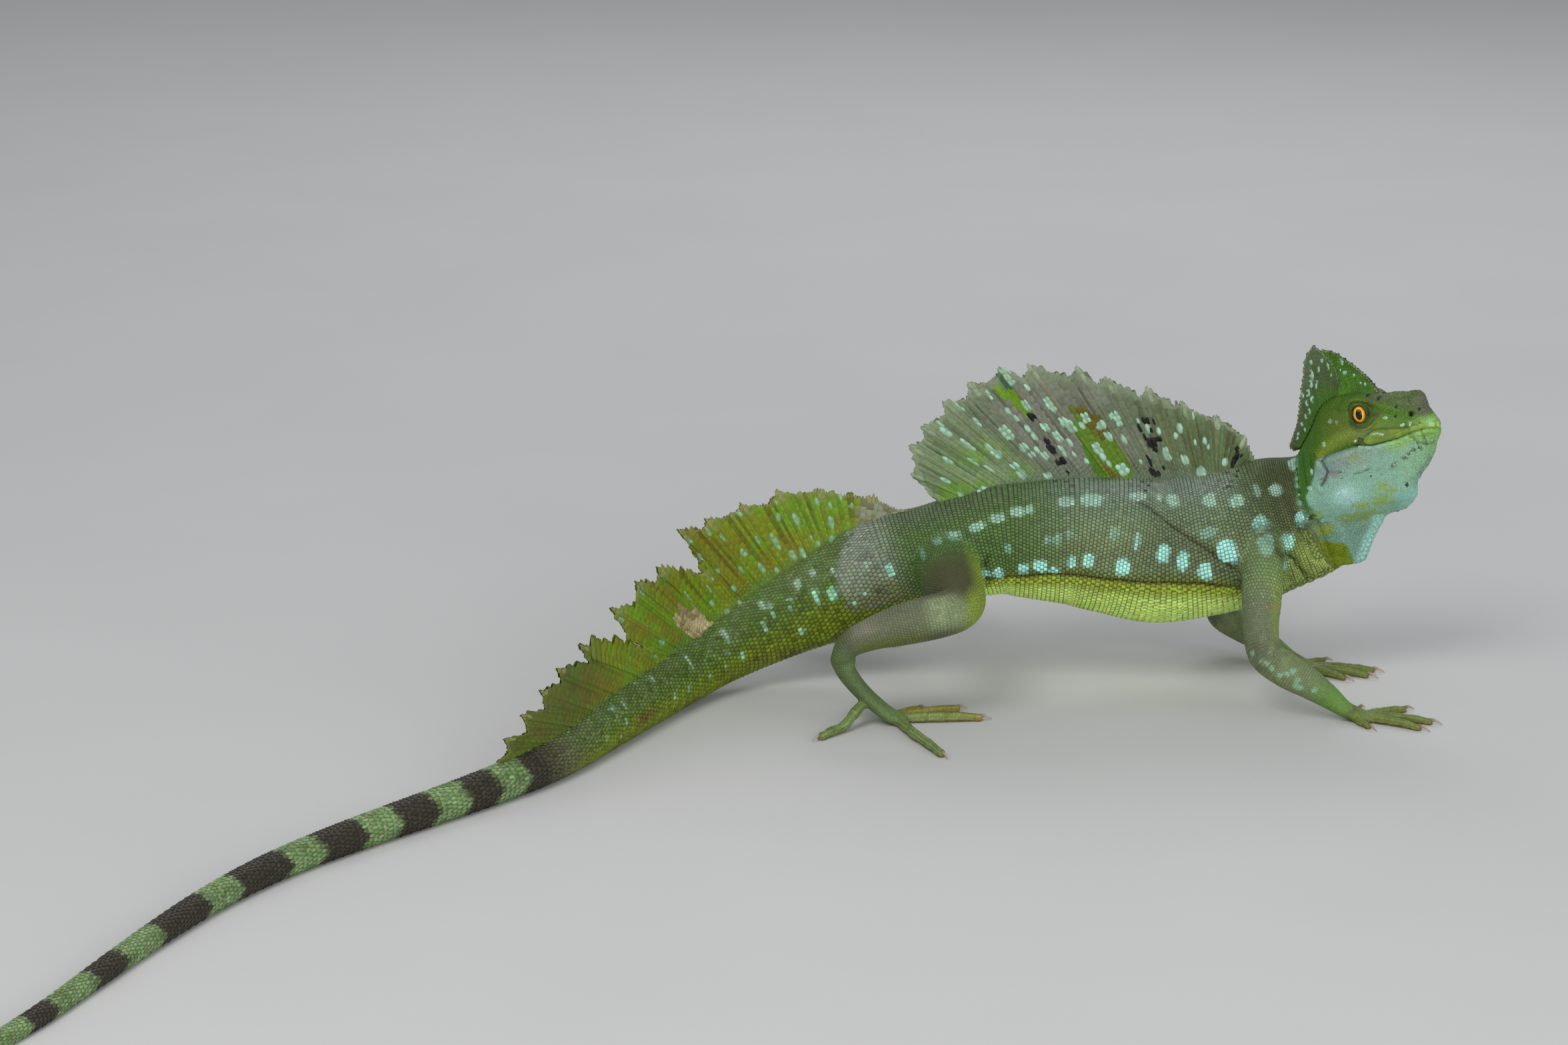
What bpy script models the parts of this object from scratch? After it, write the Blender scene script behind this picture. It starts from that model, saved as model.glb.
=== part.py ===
"""Adult male green (plumed) basilisk, life size, standing at rest with its head turned a little to its right.

The sizes below are in millimetres, and MM brings them to metres. +X points the way the animal faces, +Y to its left, +Z up;
the soles and the underside of the tail lie at Z = 0.
"""

import bpy
import numpy as np
from mathutils import Matrix

for old in list(bpy.data.objects):
    bpy.data.objects.remove(old, do_unlink=True)

MM = 0.001

# ---------------------------------------------------------------- driving sizes
SHIFT_X, SHIFT_Y = 20.86, 153.335  # brings the middle of the bounding box to the origin
GAP = 0.32  # clear space between neighbouring solids
NECK_X = 186.0  # station 0 of the body line, inside the head
VENT = 151.0  # station of the vent
TAIL_LENGTH = 505.0
HEAD_AT = (174.5, -2.0, 74.3)
HEAD_YAW, HEAD_PITCH = -20.0, 13.0
HEAD_BACK = -3.0  # rear plane of the head, along the head's own axis
EYE_AT = (21.8, 4.9, 16.2)
EYE_RADIUS = 4.3
SAIL_EDGE, SAIL_BASE = 0.35, 0.85  # half thickness of the fins at margin and root
AROUND = 20  # points round the body

# ---------------------------------------------------------------- station tables
# station: offset Y, height Z, height above and below the line, half width, narrowing of the upper half
BODY = (
    (0, -5.0, 63.0, 15.0, 19.0, 8.6, 0.15),
    (8, -2.6, 60.5, 18.0, 21.5, 10.6, 0.15),
    (16, -1.0, 57.2, 20.6, 22.8, 12.6, 0.15),
    (25, 0.0, 54.2, 22.0, 24.2, 14.6, 0.15),
    (32, 0.0, 51.8, 22.2, 25.0, 16.3, 0.12),
    (47, 0.0, 48.3, 22.6, 25.6, 18.4, 0.10),
    (61, 0.0, 46.9, 23.4, 26.2, 19.4, 0.10),
    (78, 0.0, 48.9, 21.5, 24.8, 19.4, 0.10),
    (92, 0.0, 50.4, 19.8, 23.2, 18.8, 0.10),
    (110, 0.0, 50.4, 17.8, 20.4, 17.2, 0.12),
    (125, 0.0, 47.4, 16.4, 18.4, 15.4, 0.15),
    (136, 0.0, 43.6, 16.8, 17.6, 13.8, 0.22),
    (148, 0.0, 39.4, 18.6, 18.0, 12.0, 0.36),
    (159, 0.0, 34.8, 18.8, 16.6, 11.2, 0.46),
    (171, 0.0, 29.6, 17.6, 15.2, 10.3, 0.50),
    (184, 0.0, 24.4, 15.8, 13.6, 9.6, 0.50),
    (198, 0.0, 19.2, 14.0, 12.2, 9.0, 0.46),
    (213, 0.0, 14.6, 12.4, 11.0, 8.5, 0.42),
    (230, 0.0, 10.9, 11.2, 9.9, 8.1, 0.38),
    (250, 0.0, 9.2, 10.0, 9.4, 7.7, 0.34),
    (280, 0.0, 8.2, 8.9, 8.4, 7.1, 0.30),
    (310, 0.0, 6.7, 7.3, 6.9, 6.3, 0.22),
    (345, 0.0, 5.5, 5.9, 5.7, 5.4, 0.12),
    (400, 0.0, 4.6, 4.9, 4.8, 4.6, 0.05),
    (470, 0.0, 3.7, 3.9, 3.9, 3.8, 0.0),
    (540, 0.0, 2.9, 3.1, 3.1, 3.0, 0.0),
    (600, 0.0, 2.2, 2.4, 2.4, 2.3, 0.0),
    (640, 0.0, 1.6, 1.8, 1.8, 1.7, 0.0),
    (656, 0.0, 1.2, 1.3, 1.3, 1.3, 0.0),
)
# heading of the tail in the ground plane, degrees towards the animal's right, by length from the vent
TAIL_HEADING = ((0, 0), (28, 8), (55, 30), (80, 55), (110, 64), (150, 65), (190, 52), (230, 48), (270, 51), (310, 61), (350, 68), (400, 70), (440, 62), (475, 38), (505, 12))

# head sections: station along the head, then half width and height at crown, brow, temple, lip, jaw, throat side, throat
HEAD = (
    (-3.0, (0, 5.0), (4.2, 4.2), (8.2, 0.5), (10.4, -5.0), (10.8, -11.0), (7.6, -18.0), (0, -21.0)),
    (3.0, (0, 12.5), (3.6, 11.6), (8.2, 6.5), (11.0, 0.5), (12.0, -7.0), (8.8, -17.0), (0, -21.8)),
    (9.0, (0, 20.2), (4.6, 19.4), (8.7, 12.5), (11.2, 4.0), (12.2, -5.0), (9.2, -16.5), (0, -21.8)),
    (15.0, (0, 22.2), (6.2, 22.4), (9.0, 15.2), (11.0, 6.5), (11.6, -3.0), (8.8, -15.5), (0, -21.2)),
    (21.0, (0, 21.8), (7.0, 23.0), (8.5, 16.2), (10.3, 8.0), (10.4, -1.5), (8.0, -14.0), (0, -20.2)),
    (27.0, (0, 20.8), (6.0, 20.6), (7.2, 14.8), (8.9, 8.0), (8.8, -0.5), (6.8, -12.6), (0, -18.8)),
    (33.0, (0, 20.6), (4.8, 18.9), (6.0, 13.6), (7.4, 7.5), (7.2, 0.4), (5.2, -10.0), (0, -15.6)),
    (36.0, (0, 20.6), (4.5, 18.2), (5.6, 13.0), (6.8, 7.5), (6.4, 1.0), (4.2, -6.0), (0, -9.6)),
    (40.0, (0, 19.6), (3.8, 16.8), (4.8, 12.0), (5.5, 7.5), (5.1, 1.6), (3.0, -3.2), (0, -5.4)),
    (43.0, (0, 14.6), (2.8, 13.0), (3.6, 10.2), (4.0, 7.3), (3.6, 3.0), (1.9, 0.2), (0, -0.8)),
    (45.6, (0, 9.4), (1.0, 9.0), (1.5, 8.0), (1.7, 6.6), (1.5, 5.2), (0.8, 4.4), (0, 4.2)),
)
# throat fan: height, rear end, front end, half width
DEWLAP = ((-16.0, -2.6, 22.0, 7.6), (-20.5, -2.6, 21.4, 7.2), (-24.0, -2.6, 18.8, 5.8), (-28.0, -2.4, 16.0, 4.6), (-31.5, -1.8, 13.9, 3.6), (-33.6, 1.5, 12.6, 2.7), (-34.6, 5.0, 11.0, 1.6))
# margin of the fin on the back, front to rear: root X, margin X, margin Z (ray tips and the notches behind them)
BACK_FIN = ((156.8, 155.9, 74.4), (155.6, 155.4, 77.2), (153.8, 152.4, 82.9), (152.0, 149.0, 86.3), (149.5, 143.3, 89.7), (147.0, 137.8, 91.3), (142.5, 132.2, 94.5), (139.5, 128.2, 94.2), (135.0, 120.4, 99.9), (132.0, 117.8, 97.4), (125.5, 106.6, 103.3), (122.0, 103.6, 101.3), (117.0, 97.1, 107.2), (113.5, 93.8, 104.0), (106.5, 81.2, 107.8), (103.0, 79.0, 103.6), (98.5, 71.4, 106.7), (95.5, 69.6, 102.4), (91.0, 61.5, 101.7), (88.0, 60.2, 96.8), (84.0, 53.4, 95.2), (81.0, 53.5, 91.4), (77.0, 46.4, 87.0), (74.0, 47.0, 82.9), (70.5, 42.5, 79.9), (67.5, 44.1, 73.8), (65.0, 43.6, 70.3), (62.0, 47.0, 66.9), (59.0, 49.7, 63.5), (56.5, 54.6, 60.2))
# margin of the fin on the tail: root and margin by length from the vent, margin height above the floor
TAIL_FIN_ROWS = ((-18.0, -18.4, 57.2), (-13.0, -12.0, 57.6), (-6.0, -2.0, 59.0), (0.0, 6.0, 62.4), (6.0, 18.0, 64.0), (12.0, 26.0, 65.2), (16.0, 33.0, 64.4), (21.0, 40.5, 65.3), (25.0, 44.5, 62.4), (31.0, 54.5, 62.2), (35.0, 59.0, 60.0), (41.0, 70.0, 59.6), (44.0, 72.5, 57.4), (49.0, 84.0, 59.3), (52.0, 77.5, 51.6), (55.0, 70.5, 41.0), (60.0, 81.0, 44.8), (64.0, 99.5, 50.6), (68.0, 99.5, 45.2), (73.0, 111.5, 48.5), (78.0, 115.0, 41.4), (84.0, 130.0, 44.6), (88.0, 119.0, 33.0), (93.0, 107.5, 25.4), (100.0, 118.0, 28.4), (110.0, 151.5, 38.2), (117.0, 146.0, 30.1), (127.0, 166.0, 34.4), (133.0, 163.5, 29.4), (142.0, 176.5, 30.0), (147.0, 174.5, 23.6), (155.0, 184.5, 24.0), (160.0, 183.5, 18.2), (168.0, 192.5, 18.4), (175.0, 191.0, 13.6), (184.0, 198.0, 12.6))
CREST_FRONT = ((14.0, 21.6), (14.2, 30.0), (13.6, 35.0), (12.9, 38.2), (15.3, 36.7), (18.1, 34.1), (23.0, 29.8), (25.7, 26.0), (27.6, 21.4))
CREST_REAR = ((13.4, 22.6), (13.5, 30.0), (12.4, 35.2), (8.8, 39.8), (5.6, 34.7), (5.1, 31.3), (3.2, 27.0), (0.9, 18.2), (-0.5, 15.0), (-3.2, 12.0), (-5.4, 8.6), (-3.9, 5.6))

# limbs of the right side: X, Y, Z, radius in the plane of the limb, radius across it
ARM_R = ((158.5, -9.0, 51.0, 8.4, 6.6), (158.0, -17.0, 43.5, 7.0, 7.0), (157.2, -25.0, 35.5, 6.2, 6.5), (156.4, -32.5, 27.5, 5.6, 5.8), (157.4, -38.6, 20.4, 5.7, 5.6), (164.0, -41.4, 15.6, 5.7, 5.6), (171.5, -43.4, 11.6, 5.0, 4.9), (178.0, -45.0, 7.4, 3.8, 3.9), (183.0, -46.0, 3.8, 2.7, 3.3), (187.5, -46.6, 1.95, 2.1, 4.2), (192.0, -47.0, 1.3, 1.4, 3.8))
ARM_L = ((158.5, 9.0, 51.0, 8.4, 6.6), (156.0, 18.0, 42.0, 7.0, 7.0), (152.5, 25.5, 31.0, 6.2, 6.5), (149.5, 30.0, 21.5, 5.6, 5.8), (150.0, 31.0, 14.0, 5.2, 5.4), (155.5, 28.0, 10.6, 5.1, 5.0), (161.5, 22.5, 8.2, 4.4, 4.5), (167.0, 17.0, 5.6, 3.4, 3.6), (171.0, 13.2, 3.6, 2.6, 3.3), (175.0, 10.5, 1.95, 2.1, 4.2), (179.4, 8.4, 1.3, 1.4, 3.8))
LEG_R = ((53.0, -3.0, 44.0, 11.0, 10.6), (54.0, -14.0, 42.2, 10.8, 10.5), (55.5, -25.0, 40.8, 10.1, 9.9), (57.0, -36.0, 39.8, 8.7, 8.7), (57.5, -45.0, 39.2, 7.6, 7.6), (54.0, -51.0, 38.2, 7.2, 7.2), (46.5, -53.6, 36.8, 7.2, 7.0), (37.5, -54.2, 34.6, 6.6, 6.4), (28.5, -53.8, 31.6, 5.3, 5.1), (21.0, -52.8, 27.4, 4.2, 4.2), (19.2, -51.8, 21.0, 3.4, 4.3), (22.8, -50.8, 14.2, 2.9, 4.6), (28.8, -50.0, 7.6, 2.5, 4.8), (35.0, -49.6, 2.6, 2.2, 4.9), (40.0, -49.5, 1.3, 1.45, 4.4))
LEG_L = ((53.0, 3.0, 44.0, 11.0, 10.6), (53.0, 14.0, 42.0, 10.8, 10.5), (51.5, 25.0, 40.0, 10.1, 9.9), (49.0, 36.0, 37.4, 8.7, 8.7), (46.0, 44.0, 34.8, 7.6, 7.6), (40.0, 48.6, 31.8, 7.2, 7.2), (31.0, 50.2, 28.0, 7.2, 7.0), (21.5, 50.4, 24.0, 6.6, 6.4), (12.0, 50.0, 20.4, 5.2, 5.0), (4.5, 49.6, 17.0, 4.2, 4.2), (1.6, 49.4, 12.2, 3.4, 4.3), (5.0, 49.2, 7.8, 2.9, 4.6), (11.0, 49.2, 4.4, 2.5, 4.8), (17.0, 49.2, 2.1, 2.2, 4.9), (21.5, 49.2, 1.3, 1.45, 4.4))
# limb lengths are parted at these fractions of the rows above
ARM_PARTS = (("arm_upper", 0.0, 4.0), ("forearm", 4.0, 8.0), ("hand", 8.0, 10.0))
LEG_PARTS = (("thigh", 0.0, 4.4), ("shin", 4.4, 9.3), ("foot", 9.3, 14.0))
# toes: root X, Y and height over resting level, knuckle likewise, tip X, Y, root radius
TOES = {
    "hand_R": ((185.5, -43.4, 0.0, 186.8, -39.8, 0.15, 189.0, -36.4, 1.25), (189.5, -44.6, 0.0, 196.5, -41.4, 0.35, 203.5, -37.4, 1.4), (191.0, -46.2, 0.0, 200.5, -48.0, 0.45, 210.0, -51.0, 1.45), (190.0, -48.0, 0.0, 198.0, -52.4, 0.45, 205.5, -57.4, 1.45), (186.0, -48.6, 0.0, 187.4, -52.0, 0.2, 189.6, -55.6, 1.3)),
    "hand_L": ((173.0, 8.0, 0.0, 174.0, 4.4, 0.15, 176.0, 1.0, 1.25), (176.0, 7.4, 0.0, 182.0, 3.4, 0.35, 188.0, -1.6, 1.4), (178.0, 8.0, 0.0, 187.0, 5.0, 0.45, 196.0, 1.0, 1.45), (178.4, 9.8, 0.0, 188.0, 9.0, 0.45, 198.6, 7.0, 1.45), (175.4, 12.4, 0.0, 179.0, 15.6, 0.2, 183.4, 18.2, 1.3)),
    "foot_R": ((35.5, -46.4, 0.0, 40.0, -42.0, 0.2, 44.0, -37.4, 1.5), (37.5, -47.2, 0.0, 47.0, -42.6, 0.5, 56.5, -37.0, 1.6), (38.5, -49.0, 0.0, 51.0, -48.4, 0.6, 63.5, -47.0, 1.65), (37.0, -51.4, 0.0, 42.0, -67.0, 0.6, 50.0, -85.0, 1.65), (26.0, -52.0, 6.4, 19.5, -59.0, 0.8, 12.0, -67.5, 1.6)),
    "foot_L": ((17.0, 46.2, 0.0, 20.5, 42.0, 0.2, 25.0, 38.2, 1.5), (19.0, 46.8, 0.0, 28.0, 43.0, 0.5, 37.0, 40.0, 1.6), (20.0, 48.6, 0.0, 32.0, 48.6, 0.6, 44.0, 49.2, 1.65), (19.0, 50.8, 0.0, 31.0, 57.0, 0.6, 43.5, 66.5, 1.65), (8.0, 51.4, 3.2, 3.0, 58.0, 0.45, -1.0, 66.0, 1.6)),
}
CLAW_LENGTH, CLAW_RADIUS = 4.4, 0.95
SOLE = 0.22  # how far the rounded soles are flattened

# ---------------------------------------------------------------- shape functions


def curve(table, at):
    """Smooth line through the rows of a table; the first column is the station."""
    table = np.asarray(table, float)
    x, y = table[:, 0], table[:, 1:]
    at = np.atleast_1d(np.asarray(at, float))
    step = np.diff(x)[:, None]
    slope = np.diff(y, axis=0) / step
    m = np.zeros_like(y)
    same = slope[:-1] * slope[1:] > 0
    m[1:-1] = np.where(same, 2 * slope[:-1] * slope[1:] / np.where(same, slope[:-1] + slope[1:], 1), 0)
    m[0], m[-1] = slope[0], slope[-1]
    i = np.clip(np.searchsorted(x, at) - 1, 0, len(x) - 2)
    t = np.clip((at - x[i]) / (x[i + 1] - x[i]), 0, 1)[:, None]
    h = step[i]
    return (2 * t**3 - 3 * t**2 + 1) * y[i] + (t**3 - 2 * t**2 + t) * h * m[i] + (3 * t**2 - 2 * t**3) * y[i + 1] + (t**3 - t**2) * h * m[i + 1]


def spline(points, at):
    """Catmull-Rom line through rows numbered 0, 1, 2 ..."""
    p = np.asarray(points, float)
    p = np.vstack([2 * p[0] - p[1], p, 2 * p[-1] - p[-2]])
    at = np.atleast_1d(np.asarray(at, float))
    i = np.clip(at.astype(int), 0, len(p) - 4)
    t = (at - i)[:, None]
    a, b, c, d = p[i], p[i + 1], p[i + 2], p[i + 3]
    return 0.5 * (2 * b + (c - a) * t + (2 * a - 5 * b + 4 * c - d) * t**2 + (3 * b - a - 3 * c + d) * t**3)


def unit(v):
    return v / np.linalg.norm(v, axis=-1, keepdims=True)


LINE_S = np.arange(0, VENT + TAIL_LENGTH + 0.5, 1.0)
ROWS = curve(BODY, LINE_S)
LINE = np.zeros((len(LINE_S), 3))
LINE[:, 2] = ROWS[:, 1]
for k, s in enumerate(LINE_S):
    if s <= VENT:
        LINE[k, :2] = NECK_X - s, ROWS[k, 0]
    else:
        run = np.sqrt(max(1 - (LINE[k, 2] - LINE[k - 1, 2]) ** 2, 0.05))
        turn = np.radians(curve(TAIL_HEADING, s - VENT)[0, 0])
        LINE[k, :2] = LINE[k - 1, :2] - run * np.array([np.cos(turn), np.sin(turn)])
AHEAD = unit(np.gradient(LINE, axis=0))


def body_ring(s, grow=0.0, count=AROUND):
    """One section of neck, trunk or tail, square to the body line, from the top round by the left."""
    row = curve(BODY, s)[0]
    mid = np.array([np.interp(s, LINE_S, LINE[:, k]) for k in range(3)])
    back = unit(np.array([np.interp(s, LINE_S, AHEAD[:, k]) for k in range(3)]))
    left = unit(np.cross(np.array([0, 0, 1.0]), -back))
    up = np.cross(-back, left)
    t = np.arange(count) * 2 * np.pi / count
    high = np.where(np.cos(t) > 0, row[2], row[3]) + grow
    side = np.sign(np.sin(t)) * np.abs(np.sin(t)) ** 0.92 * (row[4] + grow) * (1 - row[5] * np.clip(np.cos(t), 0, 1) ** 1.5)
    return mid + side[:, None] * left + (np.sign(np.cos(t)) * np.abs(np.cos(t)) ** 0.96 * high)[:, None] * up


def body_top(s):
    """Highest point of the section at station s."""
    ring = body_ring(s, count=4)
    return ring[0]


def head_axes():
    y, p = np.radians(HEAD_YAW), np.radians(HEAD_PITCH)
    ahead = np.array([np.cos(p) * np.cos(y), np.cos(p) * np.sin(y), np.sin(p)])
    left = np.array([-np.sin(y), np.cos(y), 0.0])
    return ahead, left, np.cross(ahead, left)


def from_head(points):
    """Points given along, across and up the head, in the common frame."""
    ahead, left, up = head_axes()
    p = np.atleast_2d(np.asarray(points, float))
    return np.array(HEAD_AT) + p[:, :1] * ahead + p[:, 1:2] * left + p[:, 2:3] * up


def head_ring(a, grow=0.0, half=10):
    table = [(row[0], *np.ravel(row[1:])) for row in HEAD]
    knots = curve(table, a)[0].reshape(7, 2)
    side = spline(knots, np.linspace(0, 6, half + 1))
    side[:, 0] = np.maximum(side[:, 0], 0)
    side[0, 0] = side[-1, 0] = 0
    if grow:
        middle = knots[:, 1].mean()
        out = unit(np.column_stack([side[:, 0], (side[:, 1] - middle) * 0.6]) + 1e-9)
        side = side + out * grow
        side[0, 0] = side[-1, 0] = 0
    ring = np.vstack([side, np.column_stack([-side[-2:0:-1, 0], side[-2:0:-1, 1]])])
    return from_head(np.column_stack([np.full(len(ring), a), ring]))


def head_top(a):
    return curve([(row[0], row[1][1]) for row in HEAD], a)[0, 0]


def limb_rings(rows, start, end, rings, count, grow=0.0):
    at = np.linspace(start, end, rings)
    line = spline(rows, at)
    eps = 0.02
    along = unit(spline(rows, np.clip(at + eps, 0, len(rows) - 1))[:, :3] - spline(rows, np.clip(at - eps, 0, len(rows) - 1))[:, :3])
    across = unit(np.cross(along, np.array([0, 0, 1.0])))
    up = np.cross(across, along)
    t = np.arange(count) * 2 * np.pi / count
    return [line[k, :3] + np.outer(np.sin(t) * (line[k, 4] + grow), across[k]) + np.outer(np.cos(t) * (line[k, 3] + grow), up[k]) for k in range(rings)]


def shift_along(rings, first, last):
    """Draws the end sections of a loft in by the given distances, to leave a gap."""
    a, b = rings[0].mean(0), rings[1].mean(0)
    rings[0] = rings[0] + unit(b - a) * first
    a, b = rings[-1].mean(0), rings[-2].mean(0)
    rings[-1] = rings[-1] + unit(b - a) * last
    return rings


# ---------------------------------------------------------------- Blender helpers
body_set = bpy.data.collections.new("basilisk")
cutter_set = bpy.data.collections.new("cutters")
bpy.context.scene.collection.children.link(body_set)
bpy.context.scene.collection.children.link(cutter_set)
cutter_set.hide_render = True


def material(name, colour, rough):
    made = bpy.data.materials.new(name)
    made.use_nodes = True
    shader = made.node_tree.nodes["Principled BSDF"]
    shader.inputs["Base Color"].default_value = (*colour, 1)
    shader.inputs["Roughness"].default_value = rough
    return made


def solid(name, verts, faces, colour=None, rough=0.55, into=None, smooth=True):
    mesh = bpy.data.meshes.new(name)
    verts = (np.asarray(verts, float) + np.array([SHIFT_X, SHIFT_Y, 0.0])) * MM
    mesh.from_pydata([tuple(v) for v in verts], [], [tuple(int(i) for i in f) for f in faces])
    mesh.validate()
    mesh.update()
    obj = bpy.data.objects.new(name, mesh)
    (into or body_set).objects.link(obj)
    if colour is not None:
        mesh.materials.append(material(name + "_mat", colour, rough))
    if into is cutter_set:
        obj.display_type = "WIRE"
        obj.hide_render = True
    for face in mesh.polygons:
        face.use_smooth = smooth
    return obj


def loft(name, rings, colour=None, into=None, rough=0.55):
    """Closed body through a row of sections with equal counts, flat end faces, faces outwards."""
    count = len(rings[0])
    verts = np.vstack(rings)
    faces = []
    for k in range(len(rings) - 1):
        for j in range(count):
            n = (j + 1) % count
            faces.append((k * count + j, k * count + n, (k + 1) * count + n, (k + 1) * count + j))
    faces.append(tuple(range(count))[::-1])
    faces.append(tuple((len(rings) - 1) * count + j for j in range(count)))
    centre = rings[len(rings) // 2].mean(0)
    quad = faces[(len(rings) // 2 - (1 if len(rings) // 2 == len(rings) - 1 else 0)) * count]
    p = verts[list(quad)]
    if np.dot(np.cross(p[1] - p[0], p[2] - p[0]), p.mean(0) - centre) < 0:
        faces = [f[::-1] for f in faces]
    return solid(name, verts, faces, colour, rough, into)


def cut(obj, cutter, how="DIFFERENCE"):
    mod = obj.modifiers.new("cut", "BOOLEAN")
    mod.operation = how
    mod.solver = "EXACT"
    mod.object = cutter
    cutter.display_type = "WIRE"
    cutter.hide_render = True


def take(obj, name, into):
    """Names a new primitive and moves it to its collection."""
    obj.name = name
    for holder in list(obj.users_collection):
        holder.objects.unlink(obj)
    into.objects.link(obj)
    if into is cutter_set:
        obj.display_type = "WIRE"
        obj.hide_render = True
    return obj


def box(name, size, matrix):
    """A cube of the given sides, placed by a matrix in metres."""
    bpy.ops.mesh.primitive_cube_add(size=1)
    obj = take(bpy.context.object, name, cutter_set)
    obj.data.transform(Matrix.Diagonal((*(side * MM for side in size), 1)))
    obj.matrix_world = matrix
    return obj


def fin(name, low, high, out, colour, rows=4, edge=SAIL_EDGE, root=SAIL_BASE):
    """Thin closed blade between a root line and a margin line; out gives the direction across it at each column."""
    low, high, out = np.asarray(low), np.asarray(high), np.asarray(out)
    count = len(low)
    verts = []
    for side in (1, -1):
        for r in range(rows + 1):
            t = r / rows
            half = root + (edge - root) * t**0.8
            verts.append(low * (1 - t) + high * t + side * half * out)
    verts = np.vstack(verts)
    n = (rows + 1) * count
    faces = []
    for r in range(rows):
        for j in range(count - 1):
            a = r * count + j
            faces.append((a, a + 1, a + count + 1, a + count))
            faces.append((n + a + count, n + a + count + 1, n + a + 1, n + a))
    for j in range(count - 1):
        faces.append((j + 1, j, n + j, n + j + 1))
        a = rows * count + j
        faces.append((a, a + 1, n + a + 1, n + a))
    for r in range(rows):
        a, b = r * count, r * count + count - 1
        faces.append((a, a + count, n + a + count, n + a))
        faces.append((b + count, b, n + b, n + b + count))
    p = verts[list(faces[0])]
    if np.dot(np.cross(p[1] - p[0], p[2] - p[0]), out[0]) < 0:
        faces = [f[::-1] for f in faces]
    return solid(name, verts, faces, colour)


OLIVE, GREEN, BLUE = (0.16, 0.18, 0.10), (0.10, 0.22, 0.05), (0.28, 0.42, 0.36)
FIN, TAIL_FIN, DARK = (0.22, 0.26, 0.18), (0.18, 0.22, 0.04), (0.10, 0.10, 0.08)

# ---------------------------------------------------------------- trunk and tail
TRUNK_FRONT = 22.0
TAIL_CUTS = (VENT, VENT + 84, VENT + 190, VENT + 320, VENT + TAIL_LENGTH)
floor = box("cut_floor", (900, 900, 60), Matrix.Translation((0, 0, -30 * MM)))


def body_part(name, start, end, rings, colour, count=AROUND):
    at = np.linspace(start + GAP / 2, end - GAP / 2, rings)
    return loft(name, [body_ring(s, count=count) for s in at], colour)


trunk = body_part("trunk", TRUNK_FRONT, TAIL_CUTS[0], 18, OLIVE)
tails = []
for number, rings in enumerate((10, 10, 9, 10)):
    piece = body_part(f"tail_{number + 1}", TAIL_CUTS[number], TAIL_CUTS[number + 1], rings, OLIVE if number < 2 else DARK, AROUND if number < 2 else 14)
    cut(piece, floor)
    tails.append(piece)

body_cutter = loft("cut_body", [body_ring(s, GAP) for s in np.linspace(TRUNK_FRONT - 14, VENT + 208, 76)], into=cutter_set)

# ---------------------------------------------------------------- neck and head
neck = loft("neck", [body_ring(s) for s in np.linspace(2.0, TRUNK_FRONT - GAP / 2, 6)], OLIVE)
ahead, left, up = head_axes()
middle = from_head((HEAD_BACK - GAP + 30, 0, 0))[0] + np.array([SHIFT_X, SHIFT_Y, 0])
turned = Matrix((ahead, left, up)).transposed().to_4x4()
behind = box("cut_head_back", (60, 80, 140), Matrix.Translation(middle * MM) @ turned)
cut(neck, behind)

stations = (-3.0, 0.0, 3.0, 6.0, 9.0, 13.0, 17.0, 21.0, 25.0, 29.0, 33.0, 36.0, 39.0, 41.5, 43.5, 45.6)
head = loft("head", [head_ring(a) for a in stations], GREEN)
head_cutter = loft("cut_head", [head_ring(a, GAP + 0.1) for a in (-6.0, *stations[1:])], into=cutter_set)
for side, name in ((-1, "eye_R"), (1, "eye_L")):
    centre = from_head((EYE_AT[0], side * EYE_AT[1], EYE_AT[2]))[0] + np.array([SHIFT_X, SHIFT_Y, 0])
    for radius, label in ((EYE_RADIUS, name), (EYE_RADIUS + GAP, "cut_" + name)):
        bpy.ops.mesh.primitive_uv_sphere_add(segments=14, ring_count=7, radius=radius * MM, location=centre * MM)
        ball = take(bpy.context.object, label, body_set if label == name else cutter_set)
        for face in ball.data.polygons:
            face.use_smooth = True
        if label == name:
            ball.data.materials.append(material(label + "_mat", (0.75, 0.32, 0.02), 0.1))
        else:
            cut(head, ball)

fan = []
for c, rear, front, half in DEWLAP:
    t = np.arange(18) * 2 * np.pi / 18
    a = (rear + front) / 2 + np.cos(t) * (front - rear) / 2
    b = np.sign(np.sin(t)) * np.abs(np.sin(t)) ** 0.8 * half * np.interp(a, (rear, front), (1.15, 0.55))
    fan.append(from_head(np.column_stack([a, b, np.full(18, c)])))
dewlap = loft("dewlap", fan, BLUE)
cut(dewlap, head_cutter)



def crest(name, outline, split, base_shift, colour):
    """Blade standing on the middle line of the head: the margin runs from the front foot round the tip to the rear foot."""
    outline = np.asarray(outline, float)
    reach = np.concatenate([[0], np.cumsum(np.linalg.norm(np.diff(outline, axis=0), axis=1))])
    at = reach / reach[-1]
    a0, a1 = split
    root_a = a0 + (a1 - a0) * at
    root = np.column_stack([root_a, np.zeros(len(at)), [head_top(np.clip(v, -3, 45)) + base_shift for v in root_a]])
    edge = np.column_stack([outline[:, 0], np.zeros(len(at)), outline[:, 1]])
    edge[0], edge[-1] = root[0] + [0, 0, 0.8], root[-1] + [0, 0, 0.8]
    return fin(name, from_head(root), from_head(edge), np.tile(left, (len(at), 1)), colour, rows=3, edge=0.4, root=0.7)


crest("crest_front", CREST_FRONT[1:], (14.3, 27.6), 0.5, GREEN)
crest("crest_rear", CREST_REAR[1:], (13.4, -2.2), 0.9, FIN)

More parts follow.
